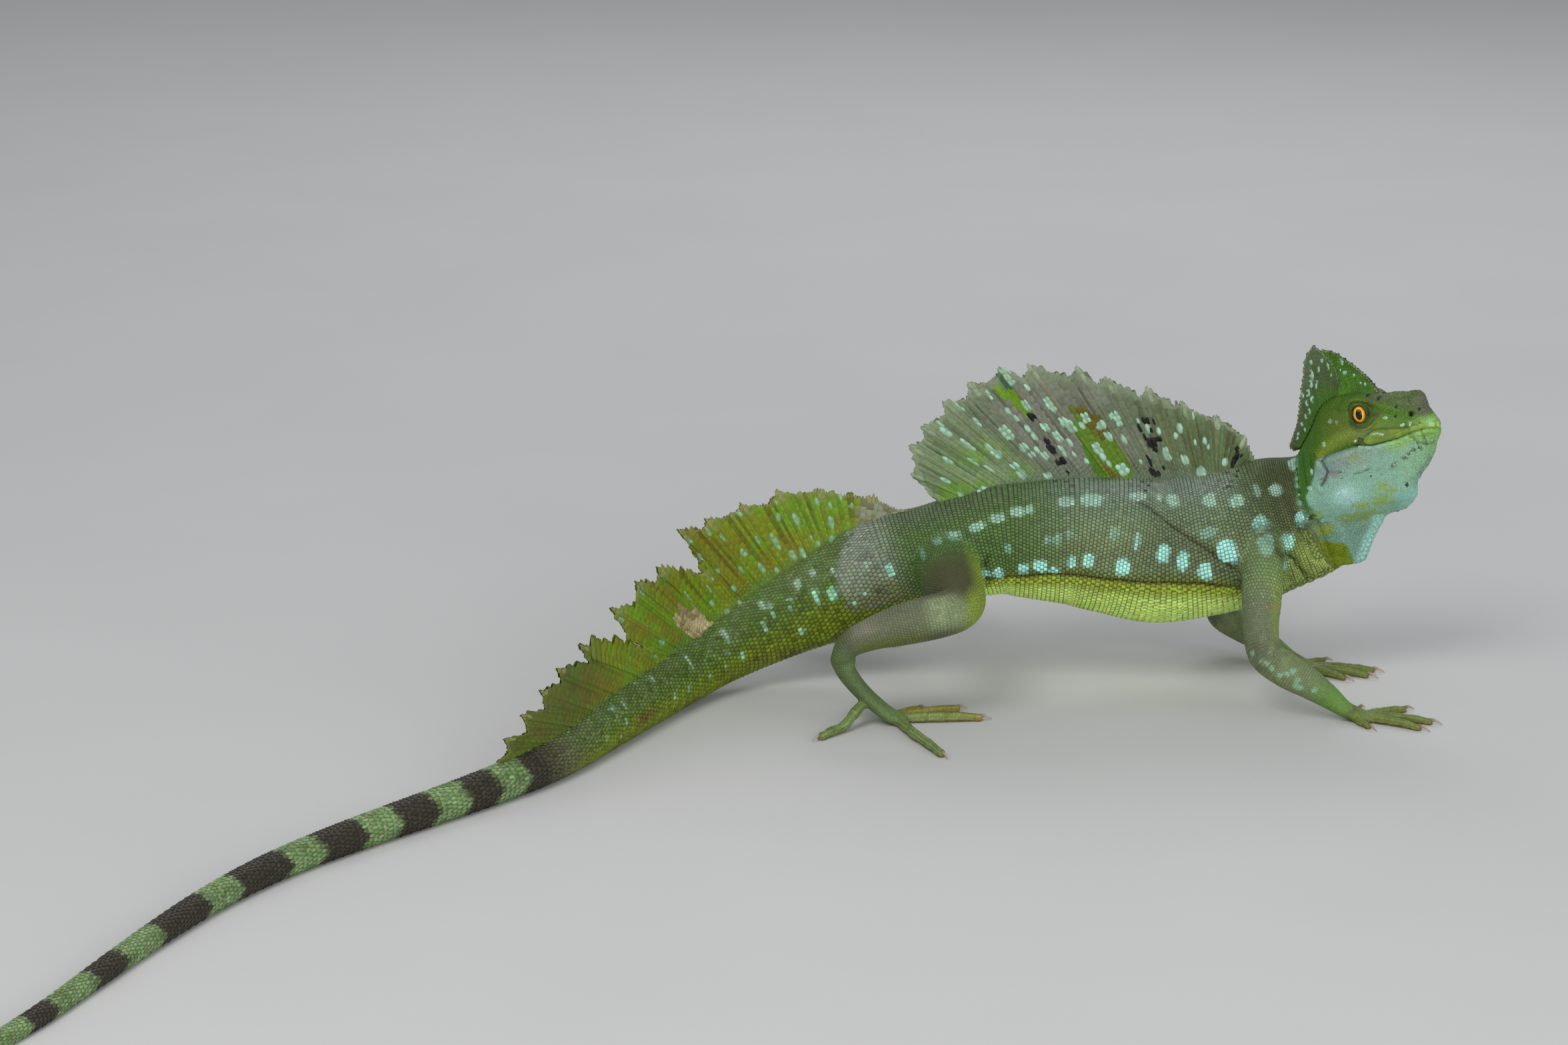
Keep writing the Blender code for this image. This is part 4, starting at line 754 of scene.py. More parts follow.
    # dark saddle behind the fin, then bands
    u = s - VENT
    dark = rgb(54, 50, 38)
    jag = 3.0 * (noise(np.column_stack([side / 9 + 3 * hand, s * 0, s * 0 + 2]), 1.0, 15) - 0.5) * 2
    banded = step(160, 172, u)
    colour = mix(colour, mix(rgb(92, 94, 62), dark, step(166, 184, u)), step(146, 166, u + jag) * (0.45 + 0.55 * banded))
    light = np.zeros(len(p))
    for k, middle in enumerate(BANDS):
        half = 6.6 + 0.012 * (middle - 195) * 1.3
        if k > 4:
            half += 1.5
        light = np.maximum(light, 1 - step(half - 1.6, half + 0.6, np.abs(u + jag * 0.6 - middle)))
    pale = mix(rgb(122, 152, 98), rgb(94, 120, 68), step(0.4, 0.75, small))
    pale = mix(pale, rgb(134, 146, 104), step(0.5, 0.7, noise(np.column_stack([s / 5, side / 4, s * 0]), 1.0, 64)) * 0.5)
    dark = mix(np.tile(dark, (len(p), 1)), rgb(84, 78, 62), step(0.52, 0.72, noise(np.column_stack([s / 6, side / 3.5, s * 0 + 9]), 1.0, 65)) * 0.55)
    pale = mix(pale, rgb(92, 106, 70), step(110, 160, side) * 0.6)
    colour = np.where((u > 170)[:, None], mix(colour, pale, light * banded), colour)
    colour = mix(colour, rgb(88, 86, 70), step(495, 505, u))
    # painted shade along the skin folds
    mm = np.interp(s, (0, 60, 150, 250, 650), (0.30, 0.40, 0.28, 0.16, 0.04))
    for line, strength in ((FOLD, 0.85), (DIAGONAL, 0.6), (SHOULDER, 0.7), (GROIN, 0.6)):
        pts = np.array(line, float)
        at = np.interp(pts[:, 0], (0, 60, 150, 250, 650), (0.30, 0.40, 0.28, 0.16, 0.04))
        d, along = near_line(s, side * mm, np.column_stack([pts[:, 0], pts[:, 1] * at]))
        colour = mix(colour, rgb(58, 50, 16), strength * hump(d, 0, 0.8))
    # pale spots, brightest low on the flank
    spot = np.zeros(len(p))
    rim = 0.20 * (noise(p, 1.6, 80) - 0.5)
    for s0, a0, long, tall, strength in SPOTS:
        here = np.abs(s - s0) < 10
        if not here.any():
            continue
        wob = hashed(int(s0 * 7), int(a0), 3, 1) - 0.5
        ss, aa = s0 + hand[here] * wob * 5, a0 + hand[here] * wob * 9
        x, y = (s[here] - ss) / (long + 0.05), (side[here] - aa) * arc_at(s[here], aa) / (tall + 0.05)
        r = (np.abs(x) ** 2.6 + np.abs(y) ** 2.6) ** (1 / 2.6) + rim[here]
        dim = (0.78 if a0 < 70 and s0 > 30 and s0 < 130 else 1.0) * (0.8 if s0 > 185 or s0 < 30 else 1.0)
        spot[here] = np.maximum(spot[here], strength * dim * (1 - step(0.84, 0.98, r)))
    tone = mix(rgb(164, 228, 212), rgb(148, 206, 170), step(115, 170, s) * 0.8)
    tone = mix(tone, rgb(162, 196, 174), (1 - step(58, 76, side)) * 0.85)
    colour = mix(colour, tone, spot * gain)
    for s0, a0, size in NAPE_BLACK:
        x, y = s - s0, (side - a0) * arc_at(s, side)
        colour = mix(colour, rgb(14, 14, 12), 1 - step(0.8, 1.1, np.hypot(x, y) / size))
    return colour, spot


def paint_head(p):
    a, b, c = head_coords(p)
    ab = np.abs(b)
    big, small, fine = fbm(p, 7, 140), fbm(p, 2.2, 150), noise(p, 0.8, 160)
    grain = noise(p, 0.5, 163)
    colour = np.tile(rgb(70, 108, 16), (len(p), 1))
    colour = mix(colour, rgb(58, 96, 16), step(0.45, 0.65, big) * 0.5)
    colour = mix(colour, rgb(92, 106, 30), hump(a, 15, 6) * hump(c, 14, 5) * 0.7)
    # yellow-green stripe from behind the mouth up below the eye
    d, along = near_line(a, c, ((6.2, 2.4), (7.4, 5.6), (11.0, 8.2), (14.1, 9.8), (18.2, 10.9), (21.6, 10.9), (26.0, 11.9), (29.2, 12.4), (33.3, 11.3)))
    colour = mix(colour, rgb(122, 142, 40), hump(d, 0, 2.0) * 0.8)
    # green band behind the jaw, darker in its folds and pale along its rear edge
    band_a = np.interp(c, (-12.4, -7.5, -4.9, -0.7, 4.0, 7.1, 10.1, 14), (0.1, -0.2, 1.9, 4.1, 5.4, 4.3, 4.6, 5.2))
    band = (1 - step(-0.6, 0.8, a - band_a)) * step(-16, -13, c)
    colour = mix(colour, rgb(62, 108, 28), band)
    colour = mix(colour, rgb(36, 70, 20), band * hump(np.sin(a * 2.1 + c * 0.12), 1.0, 0.35) * (1 - step(2, 9, c)) * 0.6)
    colour = mix(colour, rgb(84, 126, 40), band * step(0.55, 0.7, small) * 0.5)
    # snout top
    line_c = np.interp(a, (21.3, 24.5, 27.6, 31.1, 34.1, 37.1, 38.8, 41.3, 45), (23.9, 21.2, 19.2, 17.4, 16.3, 14.4, 12.6, 11.6, 11.4))
    snout = step(21, 25, a) * step(-0.6, 1.6, c - line_c)
    colour = mix(colour, rgb(88, 108, 58), snout * 0.92)
    colour = mix(colour, rgb(68, 86, 38), snout * step(0.48, 0.64, small) * 0.55)
    colour = mix(colour, rgb(108, 122, 80), snout * step(0.56, 0.72, fbm(p, 1.4, 171)) * 0.5)
    colour = mix(colour, rgb(104, 104, 88), snout * hump(a, 43, 2.4) * 0.7)
    colour = mix(colour, rgb(84, 88, 50), hump(a, 25.5, 3.2) * hump(c, 19.2, 1.8) * 0.6)
    # loreal side and upper lip: yellow-green
    lore = step(26, 30, a) * (1 - snout) * step(9.0, 11.0, c)
    colour = mix(colour, rgb(88, 128, 42), lore * 0.8)
    lip = step(19.5, 22.5, a) * (1 - snout) * step(5.8, 6.6, c) * (1 - step(-0.4, 0.5, c - np.interp(a, (22.3, 25.8, 30, 34.3, 38.4, 45.5), (8.6, 10.8, 10.4, 9.8, 9.6, 9.4))))
    colour = mix(colour, rgb(124, 152, 50), lip * 0.9)
    colour = mix(colour, rgb(96, 122, 44), lip * step(0.5, 0.68, big) * 0.5)
    colour = mix(colour, rgb(96, 70, 36), 0.75 * np.maximum(hump(a, 27.8, 1.0) * hump(c, 15.4, 0.8), hump(a, 28.9, 0.6) * hump(c, 16.3, 0.6)) * step(0.35, 0.5, fine))
    muzzle = step(36.5, 42, a) * (1 - snout)
    colour = mix(colour, rgb(132, 176, 92), muzzle * 0.75)
    colour = mix(colour, rgb(170, 204, 84), muzzle * hump(c, 7.6, 2.6) * 0.7)
    # painted highlights on the tip of the muzzle
    colour = mix(colour, rgb(152, 210, 178), hump(a, 43.6, 1.1) * (hump(c, 9.8, 0.9) + hump(c, 4.8, 1.4)).clip(0, 1) * 0.7)
    # below the mouth: mauve-grey, pale blue on the swell of the jaw (paler there as a painted sheen, with a painted
    # highlight), greener on the chin
    mouth_c = np.interp(a, (3, 5.4, 8.8, 12.6, 18.8, 24.7, 33, 38.2, 42.4, 46), (3.2, 4.2, 4.9, 5.6, 6.6, 6.0, 6.6, 7.8, 8.1, 6.9))
    below = step(-0.3, 0.5, mouth_c - c) * step(-0.6, 0.8, a - band_a)
    jowl = np.tile(rgb(136, 180, 158), (len(p), 1))
    jowl = mix(jowl, rgb(142, 154, 142), hump(a, 16, 9) * hump(c, 2.6, 3.6) * 0.85)
    jowl = mix(jowl, rgb(144, 170, 108), hump(a, 18.6, 2.2) * hump(c, 3.4, 1.6) * 0.7)
    jowl = mix(jowl, rgb(140, 186, 146), step(26, 36, a) * 0.8)
    jowl = mix(jowl, rgb(140, 184, 84), step(24, 34, a) * (1 - step(1.6, 5.0, mouth_c - c)) * 0.75)
    jowl = mix(jowl, rgb(126, 172, 78), step(37, 43, a) * step(-4, 1, c) * 0.6)
    # pale blue of the jaw, made brightest on its swell as a painted sheen
    jowl = mix(jowl, rgb(166, 212, 206), hump(a, 12.6, 5.0) * hump(c, -9.6, 3.2) * 0.9)
    jowl = mix(jowl, rgb(146, 202, 190), hump(c, -14, 4.5) * step(26, 31, a) * 0.7)
    jowl = mix(jowl, rgb(150, 200, 178), hump(a, 1.5, 3) * hump(c, -8, 3) * 0.6)
    yellow = np.maximum.reduce([hump(a, 25.2, 2.6) * hump(c, -8.3, 2.0), hump(a, 17.6, 3.0) * hump(c, -13.5, 2.0), hump(a, 24.0, 3.4) * hump(c, -13.0, 2.4), hump(a, 12.0, 3.4) * hump(c, -17.6, 2.2), hump(a, 17.6, 4.2) * hump(c, -17.4, 2.6), hump(a, 1.0, 2.8) * hump(c, -14.6, 2.2), hump(a, 28.0, 3.0) * hump(c, -10.5, 1.6) * 0.8])
    yellow = np.maximum(yellow, 0.62 * hump(a - 0.55 * c, 30.0, 3.6) * hump(c, -12, 6.0))
    jowl = mix(jowl, rgb(142, 166, 58), step(0.30, 0.62, 0.9 * yellow + 0.55 * (small - 0.5) + 0.75 * (grain - 0.5)) * 0.66)
    jowl = mix(jowl, jowl * 0.74, step(0.54, 0.72, small) * 0.3)
    jowl = mix(jowl, rgb(116, 136, 142), hump(a, 10.0, 5.5) * hump(c, 0.0, 3.4) * 0.6)
    jowl = mix(jowl, rgb(150, 148, 156), hump(a, 8.4, 2.0) * hump(c, -2.2, 1.4) * step(0.4, 0.6, small) * 0.6)
    # painted highlight on the swell of the jaw
    jowl = mix(jowl, rgb(188, 222, 218), hump(a, 13.4, 2.6) * hump(c, -8.0, 1.8) * 0.6)
    colour = mix(colour, jowl, below)
    # eye surround
    for sgn in (-1, 1):
        d = np.hypot((a - 22.0), (c - 16.8) * 0.86) + 20 * (b * sgn < 0)
        colour = mix(colour, rgb(68, 92, 24), 0.7 * (1 - step(3.0, 5.2, d)))
        facing = b * sgn > 0
        # painted shade in front of the eye, where it sits deep in its socket
        colour = mix(colour, rgb(38, 42, 14), 0.75 * hump(a, 24.9, 1.1) * hump(c, 16.5, 1.5) * facing)
        colour = mix(colour, rgb(52, 60, 20), 0.6 * hump(a, 26.6, 1.5) * hump(c, 15.4, 0.9) * facing)
        colour = mix(colour, rgb(110, 140, 46), 0.6 * hump(a, 21.4, 2.2) * hump(c, 20.3, 0.7) * facing)
        colour = mix(colour, rgb(98, 132, 34), 0.55 * hump(d, 3.6, 0.8) * step(-0.5, 2.0, (c - 16.8) - (a - 22.0)))
        ring = np.hypot((a - 21.9) / 2.12, (c - 16.6) / 2.86) + 20 * (b * sgn < 0)
        colour = mix(colour, rgb(44, 54, 16), 0.5 * (hump(ring, 1.34, 0.06) + hump(ring, 1.62, 0.06)).clip(0, 1))
        colour = mix(colour, rgb(16, 16, 6), 1 - step(1.02, 1.14, ring))
    # painted shade in the folds of the lower lid
    for line, strength in ((UNDER_EYE, 0.7), ([(x + 0.2, z - 1.3) for x, z in UNDER_EYE], 0.5)):
        d, along = near_line(a, c, line)
        colour = mix(colour, rgb(46, 56, 26), strength * hump(d, 0, 0.36) * (ab > 4))
    colour = mix(colour, rgb(108, 120, 98), 0.55 * hump(a, 22.5, 3.0) * hump(c, 10.6, 0.7))
    # painted shadow along the fold of the upper lid
    d, along = near_line(a, c, ((18.6, 18.4), (19.6, 20.0), (21.0, 20.9), (23.2, 20.6), (25.2, 19.6), (26.8, 17.8)))
    colour = mix(colour, rgb(34, 48, 16), 0.75 * hump(d, 0, 0.35) * (ab > 4))
    d, along = near_line(a, c, MOUTH)
    colour = mix(colour, rgb(40, 40, 26), (0.9 - 0.45 * step(0.35, 0.65, along)) * hump(d, 0, 0.34) * step(0.0, 0.06, along))
    d, along = near_line(a, c, LIP)
    colour = mix(colour, rgb(62, 76, 40), 0.7 * hump(d, 0, 0.4) * step(0, 0.1, along) * (1 - 0.6 * step(0.6, 0.9, along)))
    # painted shade in the crease running back from the corner of the mouth
    d, along = near_line(a, c, CREASE)
    colour = mix(colour, rgb(44, 52, 48), 0.8 * hump(d, 0, 0.5) * (ab > 5) * (0.35 + 0.65 * step(0.35, 0.6, along)))
    for line in (((7.4, 3.3), (5.6, 4.4), (4.9, 6.0)), ((8.9, -0.2), (11.2, -0.6), (13.4, -1.0)), ((7.6, -2.8), (5.8, -2.2)), ((17.7, -2.3), (19.3, -2.3), (21.5, -1.8), (22.6, -1.5)), ((37.2, 7.4), (38.7, 4.4), (41.5, 2.9), (43.9, 2.9)), ((38.7, 4.4), (39.6, 1.3)), ((40.4, 11.0), (40.9, 7.9), (41.5, 2.9))):
        d, along = near_line(a, c, line)
        colour = mix(colour, rgb(64, 70, 52), 0.65 * hump(d, 0, 0.3) * (ab > 2))
    colour = mix(colour, rgb(150, 128, 124), 0.7 * np.maximum(hump(a, 10.8, 1.2) * hump(c, -1.0, 0.9), hump(a, 23.6, 0.9) * hump(c, 4.7, 0.6)) * (ab > 4))
    d, along = near_line(a, c, SPECKLE)
    colour = mix(colour, rgb(92, 62, 52), 0.85 * hump(d, 0, 0.8) * step(0.52, 0.6, fine))
    d, along = near_line(a, c, ((35.0, -10.2), (36.3, -7.4), (38.9, -5.0), (42.0, -1.6)))
    colour = mix(colour, rgb(92, 72, 60), 0.6 * hump(d, 0, 0.7) * step(0.46, 0.6, fine))
    for x, z, w, h in ((28.9, 20.4, 0.6, 0.6), (34.2, 17.0, 0.65, 0.5), (33.4, 13.7, 0.45, 0.45), (38.5, 18.0, 0.4, 0.3), (41.3, 14.8, 0.5, 0.45), (32.1, 15.8, 0.35, 0.35), (25.6, 22.0, 0.6, 0.3), (32.6, -9.5, 0.5, 0.7), (38.9, 2.1, 0.4, 0.4), (22.4, -4.2, 0.3, 0.3), (13.2, -3.0, 0.35, 0.3), (21.6, 8.5, 1.1, 0.55)):
        colour = mix(colour, rgb(18, 16, 12), 0.9 * (1 - step(0.8, 1.2, np.hypot((a - x) / w, (c - z) / h))) * (ab > 1.5))
    # painted shade in the nostril openings
    colour = mix(colour, rgb(10, 10, 8), 1 - step(0.62, 1.05, np.hypot((a - 38.2) / 0.72, (c - 13.4) / 0.95) + 5 * (ab < 1.5)))
    for x, z, w, h, k in ((30.0, 13.8, 1.0, 0.4, 0.8), (35.2, 10.5, 0.6, 0.55, 0.75), (37.6, 10.6, 0.5, 0.8, 0.6), (12.0, 15.6, 0.7, 0.7, 0.35), (14.2, 15.2, 0.5, 0.7, 0.3), (9.0, 8.7, 0.6, 0.9, 0.6), (3.4, 0.4, 0.5, 1.1, 0.8), (1.8, -4.9, 1.1, 0.5, 0.75), (21.0, -0.5, 0.5, 0.5, 0.5), (26.0, 9.5, 1.3, 0.36, 0.5), (28.3, 8.9, 0.8, 0.42, 0.55), (10.8, -17.0, 0.5, 0.4, 0.4)):
        r = np.hypot((a - x) / w, (c - z) / h)
        colour = mix(colour, rgb(184, 220, 198), k * (1 - step(0.75, 1.2, r)) * (ab > 1.2))
    # painted highlight at the corner of the mouth
    colour = mix(colour, rgb(236, 244, 232), 0.95 * (1 - step(0.8, 1.2, np.hypot((a - 19.9) / 0.55, (c - 8.4) / 0.4))) * (ab > 4))
    colour = mix(colour, rgb(176, 214, 200), 0.7 * hump(a, -2.6, 0.7) * step(-13, -11, c) * (1 - step(2, 6, c)) * step(0.4, 0.5, fine))
    return colour


def paint_dewlap(p):
    a, b, c = head_coords(p)
    small, fine = fbm(p, 2.2, 220), noise(p, 0.8, 161)
    colour = np.tile(rgb(118, 156, 138), (len(p), 1))
    colour = mix(colour, rgb(104, 124, 72), (1 - step(-1.0, 4.0, a)) * 0.8)
    yellow = np.maximum.reduce([hump(a, 12.0, 2.6) * hump(c, -18.4, 1.6), hump(a, 16.6, 2.6) * hump(c, -18.2, 2.0), hump(a, 3.0, 3.0) * hump(c, -20.5, 2.6)])
    colour = mix(colour, rgb(128, 150, 46), step(0.30, 0.62, yellow + 0.4 * (small - 0.5) + 0.7 * (noise(p, 0.5, 163) - 0.5)) * 0.85)
    tri = step(-0.5, 0.6, -24.0 - 0.28 * a - c) * step(-0.4, 0.5, 8.7 - a)
    colour = mix(colour, rgb(118, 140, 6), tri)
    colour = mix(colour, rgb(92, 100, 10), tri * np.maximum(step(0.5, 0.66, small) * 0.5, hump(a, 3.6, 1.2) * hump(c, -28.6, 2.2) * 0.7))
    front = np.interp(c, [r[0] for r in DEWLAP[::-1]], [r[2] for r in DEWLAP[::-1]])
    colour = mix(colour, rgb(150, 202, 188), (1 - step(2.2, 4.4, front - a)) * 0.85 * (1 - tri))
    line_a = np.interp(c, [v[0] for v in THROAT], [v[1] for v in THROAT])
    colour = mix(colour, rgb(52, 56, 26), 0.75 * hump(a, line_a, 0.6))
    return colour


# pale patches on the forearm painted as the sheen of wet skin: row along the limb, angle, size
ARM_WET_SHEEN = ((3.91, 82, 0.8), (4.19, 88, 0.45), (4.33, 84, 0.8), (4.55, 92, 0.8), (4.93, 98, 0.9), (5.11, 80, 1.0), (5.25, 62, 1.0), (5.53, 80, 0.9), (5.57, 108, 1.2), (5.75, 104, 1.0), (6.27, 82, 0.9))


def paint_limb(p, name, at, ang):
    """Limbs: grey above, green towards hand and foot. Angles are counted so that the outer side is alike on both sides."""
    big, small, fine = fbm(p, 8, 240), fbm(p, 2.4, 250), noise(p, 0.7, 255)
    w = ang if name.endswith("R") else -ang
    rows = np.array(LIMBS[name])
    front_by = (p[:, 0] - np.interp(at, np.arange(len(rows)), rows[:, 0])) / np.interp(at, np.arange(len(rows)), rows[:, 3])
    if name.startswith("arm"):
        colour = np.tile(rgb(114, 124, 94), (len(p), 1))
        colour = mix(colour, rgb(114, 140, 86), (1 - step(1.2, 2.8, at)) * 0.9)
        colour = mix(colour, rgb(136, 152, 78), (1 - step(3.2, 4.4, at)) * step(0.15, 0.85, front_by) * 0.85)
        colour = mix(colour, rgb(84, 86, 70), hump(at, 4.4, 0.9) * (1 - step(0.4, 0.62, small)) * 0.5)
        colour = mix(colour, rgb(126, 142, 96), step(3.9, 5.0, at) * 0.8)
        colour = mix(colour, rgb(140, 152, 104), hump(at, 4.8, 1.2) * step(0.45, 0.65, small) * 0.5)
        colour = mix(colour, rgb(106, 152, 62), step(5.7, 7.2, at) * 0.85)
        colour = mix(colour, rgb(118, 140, 70), step(7.8, 9.2, at) * 0.85)
        colour = mix(colour, rgb(92, 74, 48), hump(at, 8.5, 0.35) * step(0.42, 0.56, small) * 0.75)
        under = step(125, 160, np.abs(w)) * step(4.0, 4.8, at)
        colour = mix(colour, rgb(124, 122, 54), under * 0.7)
        # painted sheen of wet skin on the forearm
        for row, deg, size in ARM_WET_SHEEN:
            c0, along, across, up = limb_frame(LIMBS[name], row)
            turn = np.radians(deg if name.endswith("R") else -deg)
            centre = c0[0, :3] + np.sin(turn) * c0[0, 4] * across[0] + np.cos(turn) * c0[0, 3] * up[0]
            d = np.linalg.norm(p - centre, axis=1) / size + 0.9 * (fine - 0.5)
            colour = mix(colour, rgb(150, 206, 172), 0.75 * (1 - step(0.75, 1.25, d)))
        colour = mix(colour, rgb(150, 112, 76), 0.8 * (1 - step(0.5, 1.1, np.hypot((at - 2.51) * 8, (w + 34) * 0.1))))
    else:
        colour = np.tile(rgb(94, 100, 74), (len(p), 1))
        thigh = 1 - step(4.4, 5.2, at)
        colour = mix(colour, rgb(84, 84, 54), thigh * (1 - step(50, 95, np.abs(w))) * 0.9)
        colour = mix(colour, rgb(82, 110, 54), (1 - step(1.4, 2.9, at)) * 0.8)
        colour = mix(colour, rgb(146, 168, 62), (1 - step(4.8, 6.0, at)) * step(0.25, 0.9, front_by) * 0.9)
        # painted highlight: the pale patch on the knee stands for its pearly sheen
        knee_highlight = step(4.6, 5.4, at) * (1 - step(5.6, 6.6, at)) * step(-132, -92, w) * (1 - step(-34, 0, w))
        colour = mix(colour, rgb(162, 180, 134), knee_highlight * 0.7)
        colour = mix(colour, rgb(116, 130, 88), knee_highlight * step(0.45, 0.65, fbm(p, 1.6, 257)) * 0.6)
        shin = step(5.8, 6.6, at) * (1 - step(8.4, 9.0, at))
        colour = mix(colour, rgb(114, 122, 92), shin * 0.8)
        colour = mix(colour, rgb(136, 132, 114), shin * hump(at, 8.1, 0.55) * step(-90, -50, w) * (1 - step(10, 50, w)) * 0.9)
        colour = mix(colour, rgb(106, 116, 54), shin * step(84, 118, np.abs(w)) * 0.8)
        colour = mix(colour, rgb(96, 120, 72), step(8.5, 9.6, at) * 0.9)
        colour = mix(colour, rgb(118, 144, 84), step(11.4, 13.4, at) * 0.8)
    colour = mix(colour, colour * 0.76, step(0.5, 0.72, big) * 0.35)
    return colour


def paint_toe(p, name):
    small = fbm(p, 2.4, 270)
    base = rgb(118, 132, 66) if "arm" in name else rgb(128, 148, 88)
    colour = np.tile(base, (len(p), 1))
    colour = mix(colour, rgb(88, 106, 48), step(0.45, 0.7, small) * 0.5)
    if "leg" in name:
        sgn = -1 if name.endswith("R") else 1
        inner = step(-51.0, -46.0, p[:, 1] * -sgn) * step(36, 40, p[:, 0] + (0 if sgn < 0 else 18))
        colour = mix(colour, rgb(158, 142, 58), inner * 0.7)
    colour = mix(colour, rgb(150, 118, 58), (1 - step(0.4, 1.2, p[:, 2])) * 0.8)
    return colour


def paint_skin(p, region):
    colour = np.zeros((len(p), 3))
    for k, label in enumerate(REGIONS):
        here = np.nonzero(region == k)[0]
        if not len(here):
            continue
        q = p[here]
        if label == "body":
            colour[here] = paint_body(q, *body_coords(q))[0]
        elif label == "head":
            colour[here] = paint_head(q)
        elif label == "dewlap":
            colour[here] = paint_dewlap(q)
        elif label.startswith("toe"):
            colour[here] = paint_toe(q, label)
        else:
            at, ang = limb_coords(q, LIMBS[label])
            colour[here] = paint_limb(q, label, at, ang)
            ends = (0.9, 2.2) if label.startswith("arm") else (0.8, 2.0)
            colour[here] = mix(paint_body(q, *body_coords(q), 0.45)[0], colour[here], step(*ends, at))
    return colour


C = paint_skin(V, region)
# colours run into each other where two lengths join
border = np.zeros(len(V))
differ = region[E[:, 0]] != region[E[:, 1]]
border[E[differ].ravel()] = 1
spread = border[:, None]
for _ in range(5):
    spread = np.maximum(spread * 1.0, averaged(spread, E, len(V)) * 1.2).clip(0, 1)
C = relax(C, E, spread[:, 0] * 0.7, 10)

# ---------------------------------------------------------------- fins and crests


def smooth_key(table, k):
    table = np.asarray(table, float)
    return np.column_stack([np.interp(k, np.arange(len(table)), table[:, j]) for j in range(table.shape[1])])


def teeth(k, per, amp, seed):
    """Small uneven teeth along a margin."""
    n = np.floor(k * per)
    size = 0.35 + 0.65 * hashed(n.astype(np.int64), n.astype(np.int64) * 0 + 3, n.astype(np.int64) * 0, seed)
    f = k * per - n
    return amp * size * (1 - np.abs(2 * f - 1)) ** 0.8


def back_fin(k, t, sgn):
    row = smooth_key(BACK_FIN, k)
    low = body_point(NECK_X - row[:, 0], np.zeros(len(k))) - [0, 0, 1.6]
    high = np.column_stack([row[:, 1], np.zeros(len(k)), row[:, 2]])
    reach = np.linalg.norm(high - low, axis=1)
    way = (high - low) / reach[:, None]
    high = high + way * (teeth(k, 3.0, 1.0, 5) - 0.5)[:, None]
    p = low * (1 - t)[:, None] + high * t[:, None]
    ray = np.abs(k / 2 - np.round(k / 2)) * 2
    above = t * reach - 1.6
    half = 0.34 - 0.12 * t + 0.34 * (1 - 0.45 * t) * np.exp(-((ray / 0.2) ** 2)) + 1.5 * np.exp(-np.maximum(above, 0) / 1.3) + 0.07 * np.cos(k * 2 * np.pi * 2.5) * (1 - t)
    ends = step(0, 0.6, k) * (1 - step(28.4, 29, k))
    half = half * (0.35 + 0.65 * ends)
    wave = 0.55 * t**1.5 * np.sin(k * 1.9 + 0.6) + 0.35 * t * np.sin(k * 0.7 + t * 3)
    p[:, 1] += wave + sgn * half
    return p


def tail_fin(k, t, sgn):
    row = smooth_key(TAIL_FIN_ROWS, k)
    low = body_point(VENT + row[:, 0], np.zeros(len(k))) - [0, 0, 1.6]
    mid, ahead, left, up = line_at(VENT + row[:, 1])
    high = np.column_stack([mid[:, 0], mid[:, 1], row[:, 2]])
    reach = np.linalg.norm(high - low, axis=1)
    way = (high - low) / np.maximum(reach, 1e-6)[:, None]
    high = high + way * (teeth(k, 2.6, 0.9, 9) - 0.45)[:, None] * np.minimum(reach / 12, 1)[:, None]
    p = low * (1 - t)[:, None] + high * t[:, None]
    _, _, left, _ = line_at(VENT + row[:, 0] * (1 - t) + row[:, 1] * t)
    ray = np.abs(k / 2 - np.floor(k / 2) - 0.5) * 2
    above = t * reach - 1.6
    half = 0.32 - 0.1 * t + 0.34 * (1 - 0.45 * t) * np.exp(-((ray / 0.22) ** 2)) + 1.4 * np.exp(-np.maximum(above, 0) / 1.2) + 0.08 * np.cos(k * 2 * np.pi * 2) * (1 - t)
    ends = step(0, 0.8, k) * (1 - step(34.2, 35, k))
    half = half * (0.35 + 0.65 * ends)
    wave = 0.5 * t**1.5 * np.sin(k * 2.1) + 0.3 * t * np.sin(k * 0.9 + t * 3)
    return p + left * (wave + sgn * half)[:, None]


def crest_fn(outline, split, lift, lean):
    outline = np.asarray(outline, float)
    reach = np.concatenate([[0], np.cumsum(np.linalg.norm(np.diff(outline, axis=0), axis=1))])
    reach /= reach[-1]

    def at(k, t, sgn):
        root_a = split[0] + (split[1] - split[0]) * k
        root = np.column_stack([root_a, np.zeros(len(k)), head_top(np.clip(root_a, -3, 45)) + lift])
        edge = np.column_stack([np.interp(k, reach, outline[:, 0]), np.zeros(len(k)), np.interp(k, reach, outline[:, 1])])
        first, last = (k < 1e-6)[:, None], (k > 1 - 1e-6)[:, None]
        edge = np.where(first | last, root + [0, 0, 0.8], edge)
        way = unit(edge - root)
        edge = edge + way * (0.35 * np.abs(np.sin(k * reach_mm * np.pi / 1.5)) ** 0.7 - 0.15)[:, None]
        p = root * (1 - t)[:, None] + edge * t[:, None]
        length = np.linalg.norm(edge - root, axis=1)
        half = 0.36 + 1.9 * np.exp(-np.maximum(t * length - 0.6, 0) / 2.6) + 0.20 * hump(t, 1.0, 0.05) + 0.10 * np.cos(k * 2 * np.pi * 9 + 2) * t * (1 - t) * 2
        half = half * (0.4 + 0.6 * step(0, 0.06, k) * (1 - step(0.94, 1, k)))
        p[:, 1] += sgn * half + 0.3 * t * np.sin(k * 7) + lean * (1 - step(0.0, 0.2, k)) * step(0.0, 0.15, t)
        return from_head(p)

    reach_mm = float(np.linalg.norm(np.diff(outline, axis=0), axis=1).sum())
    return at


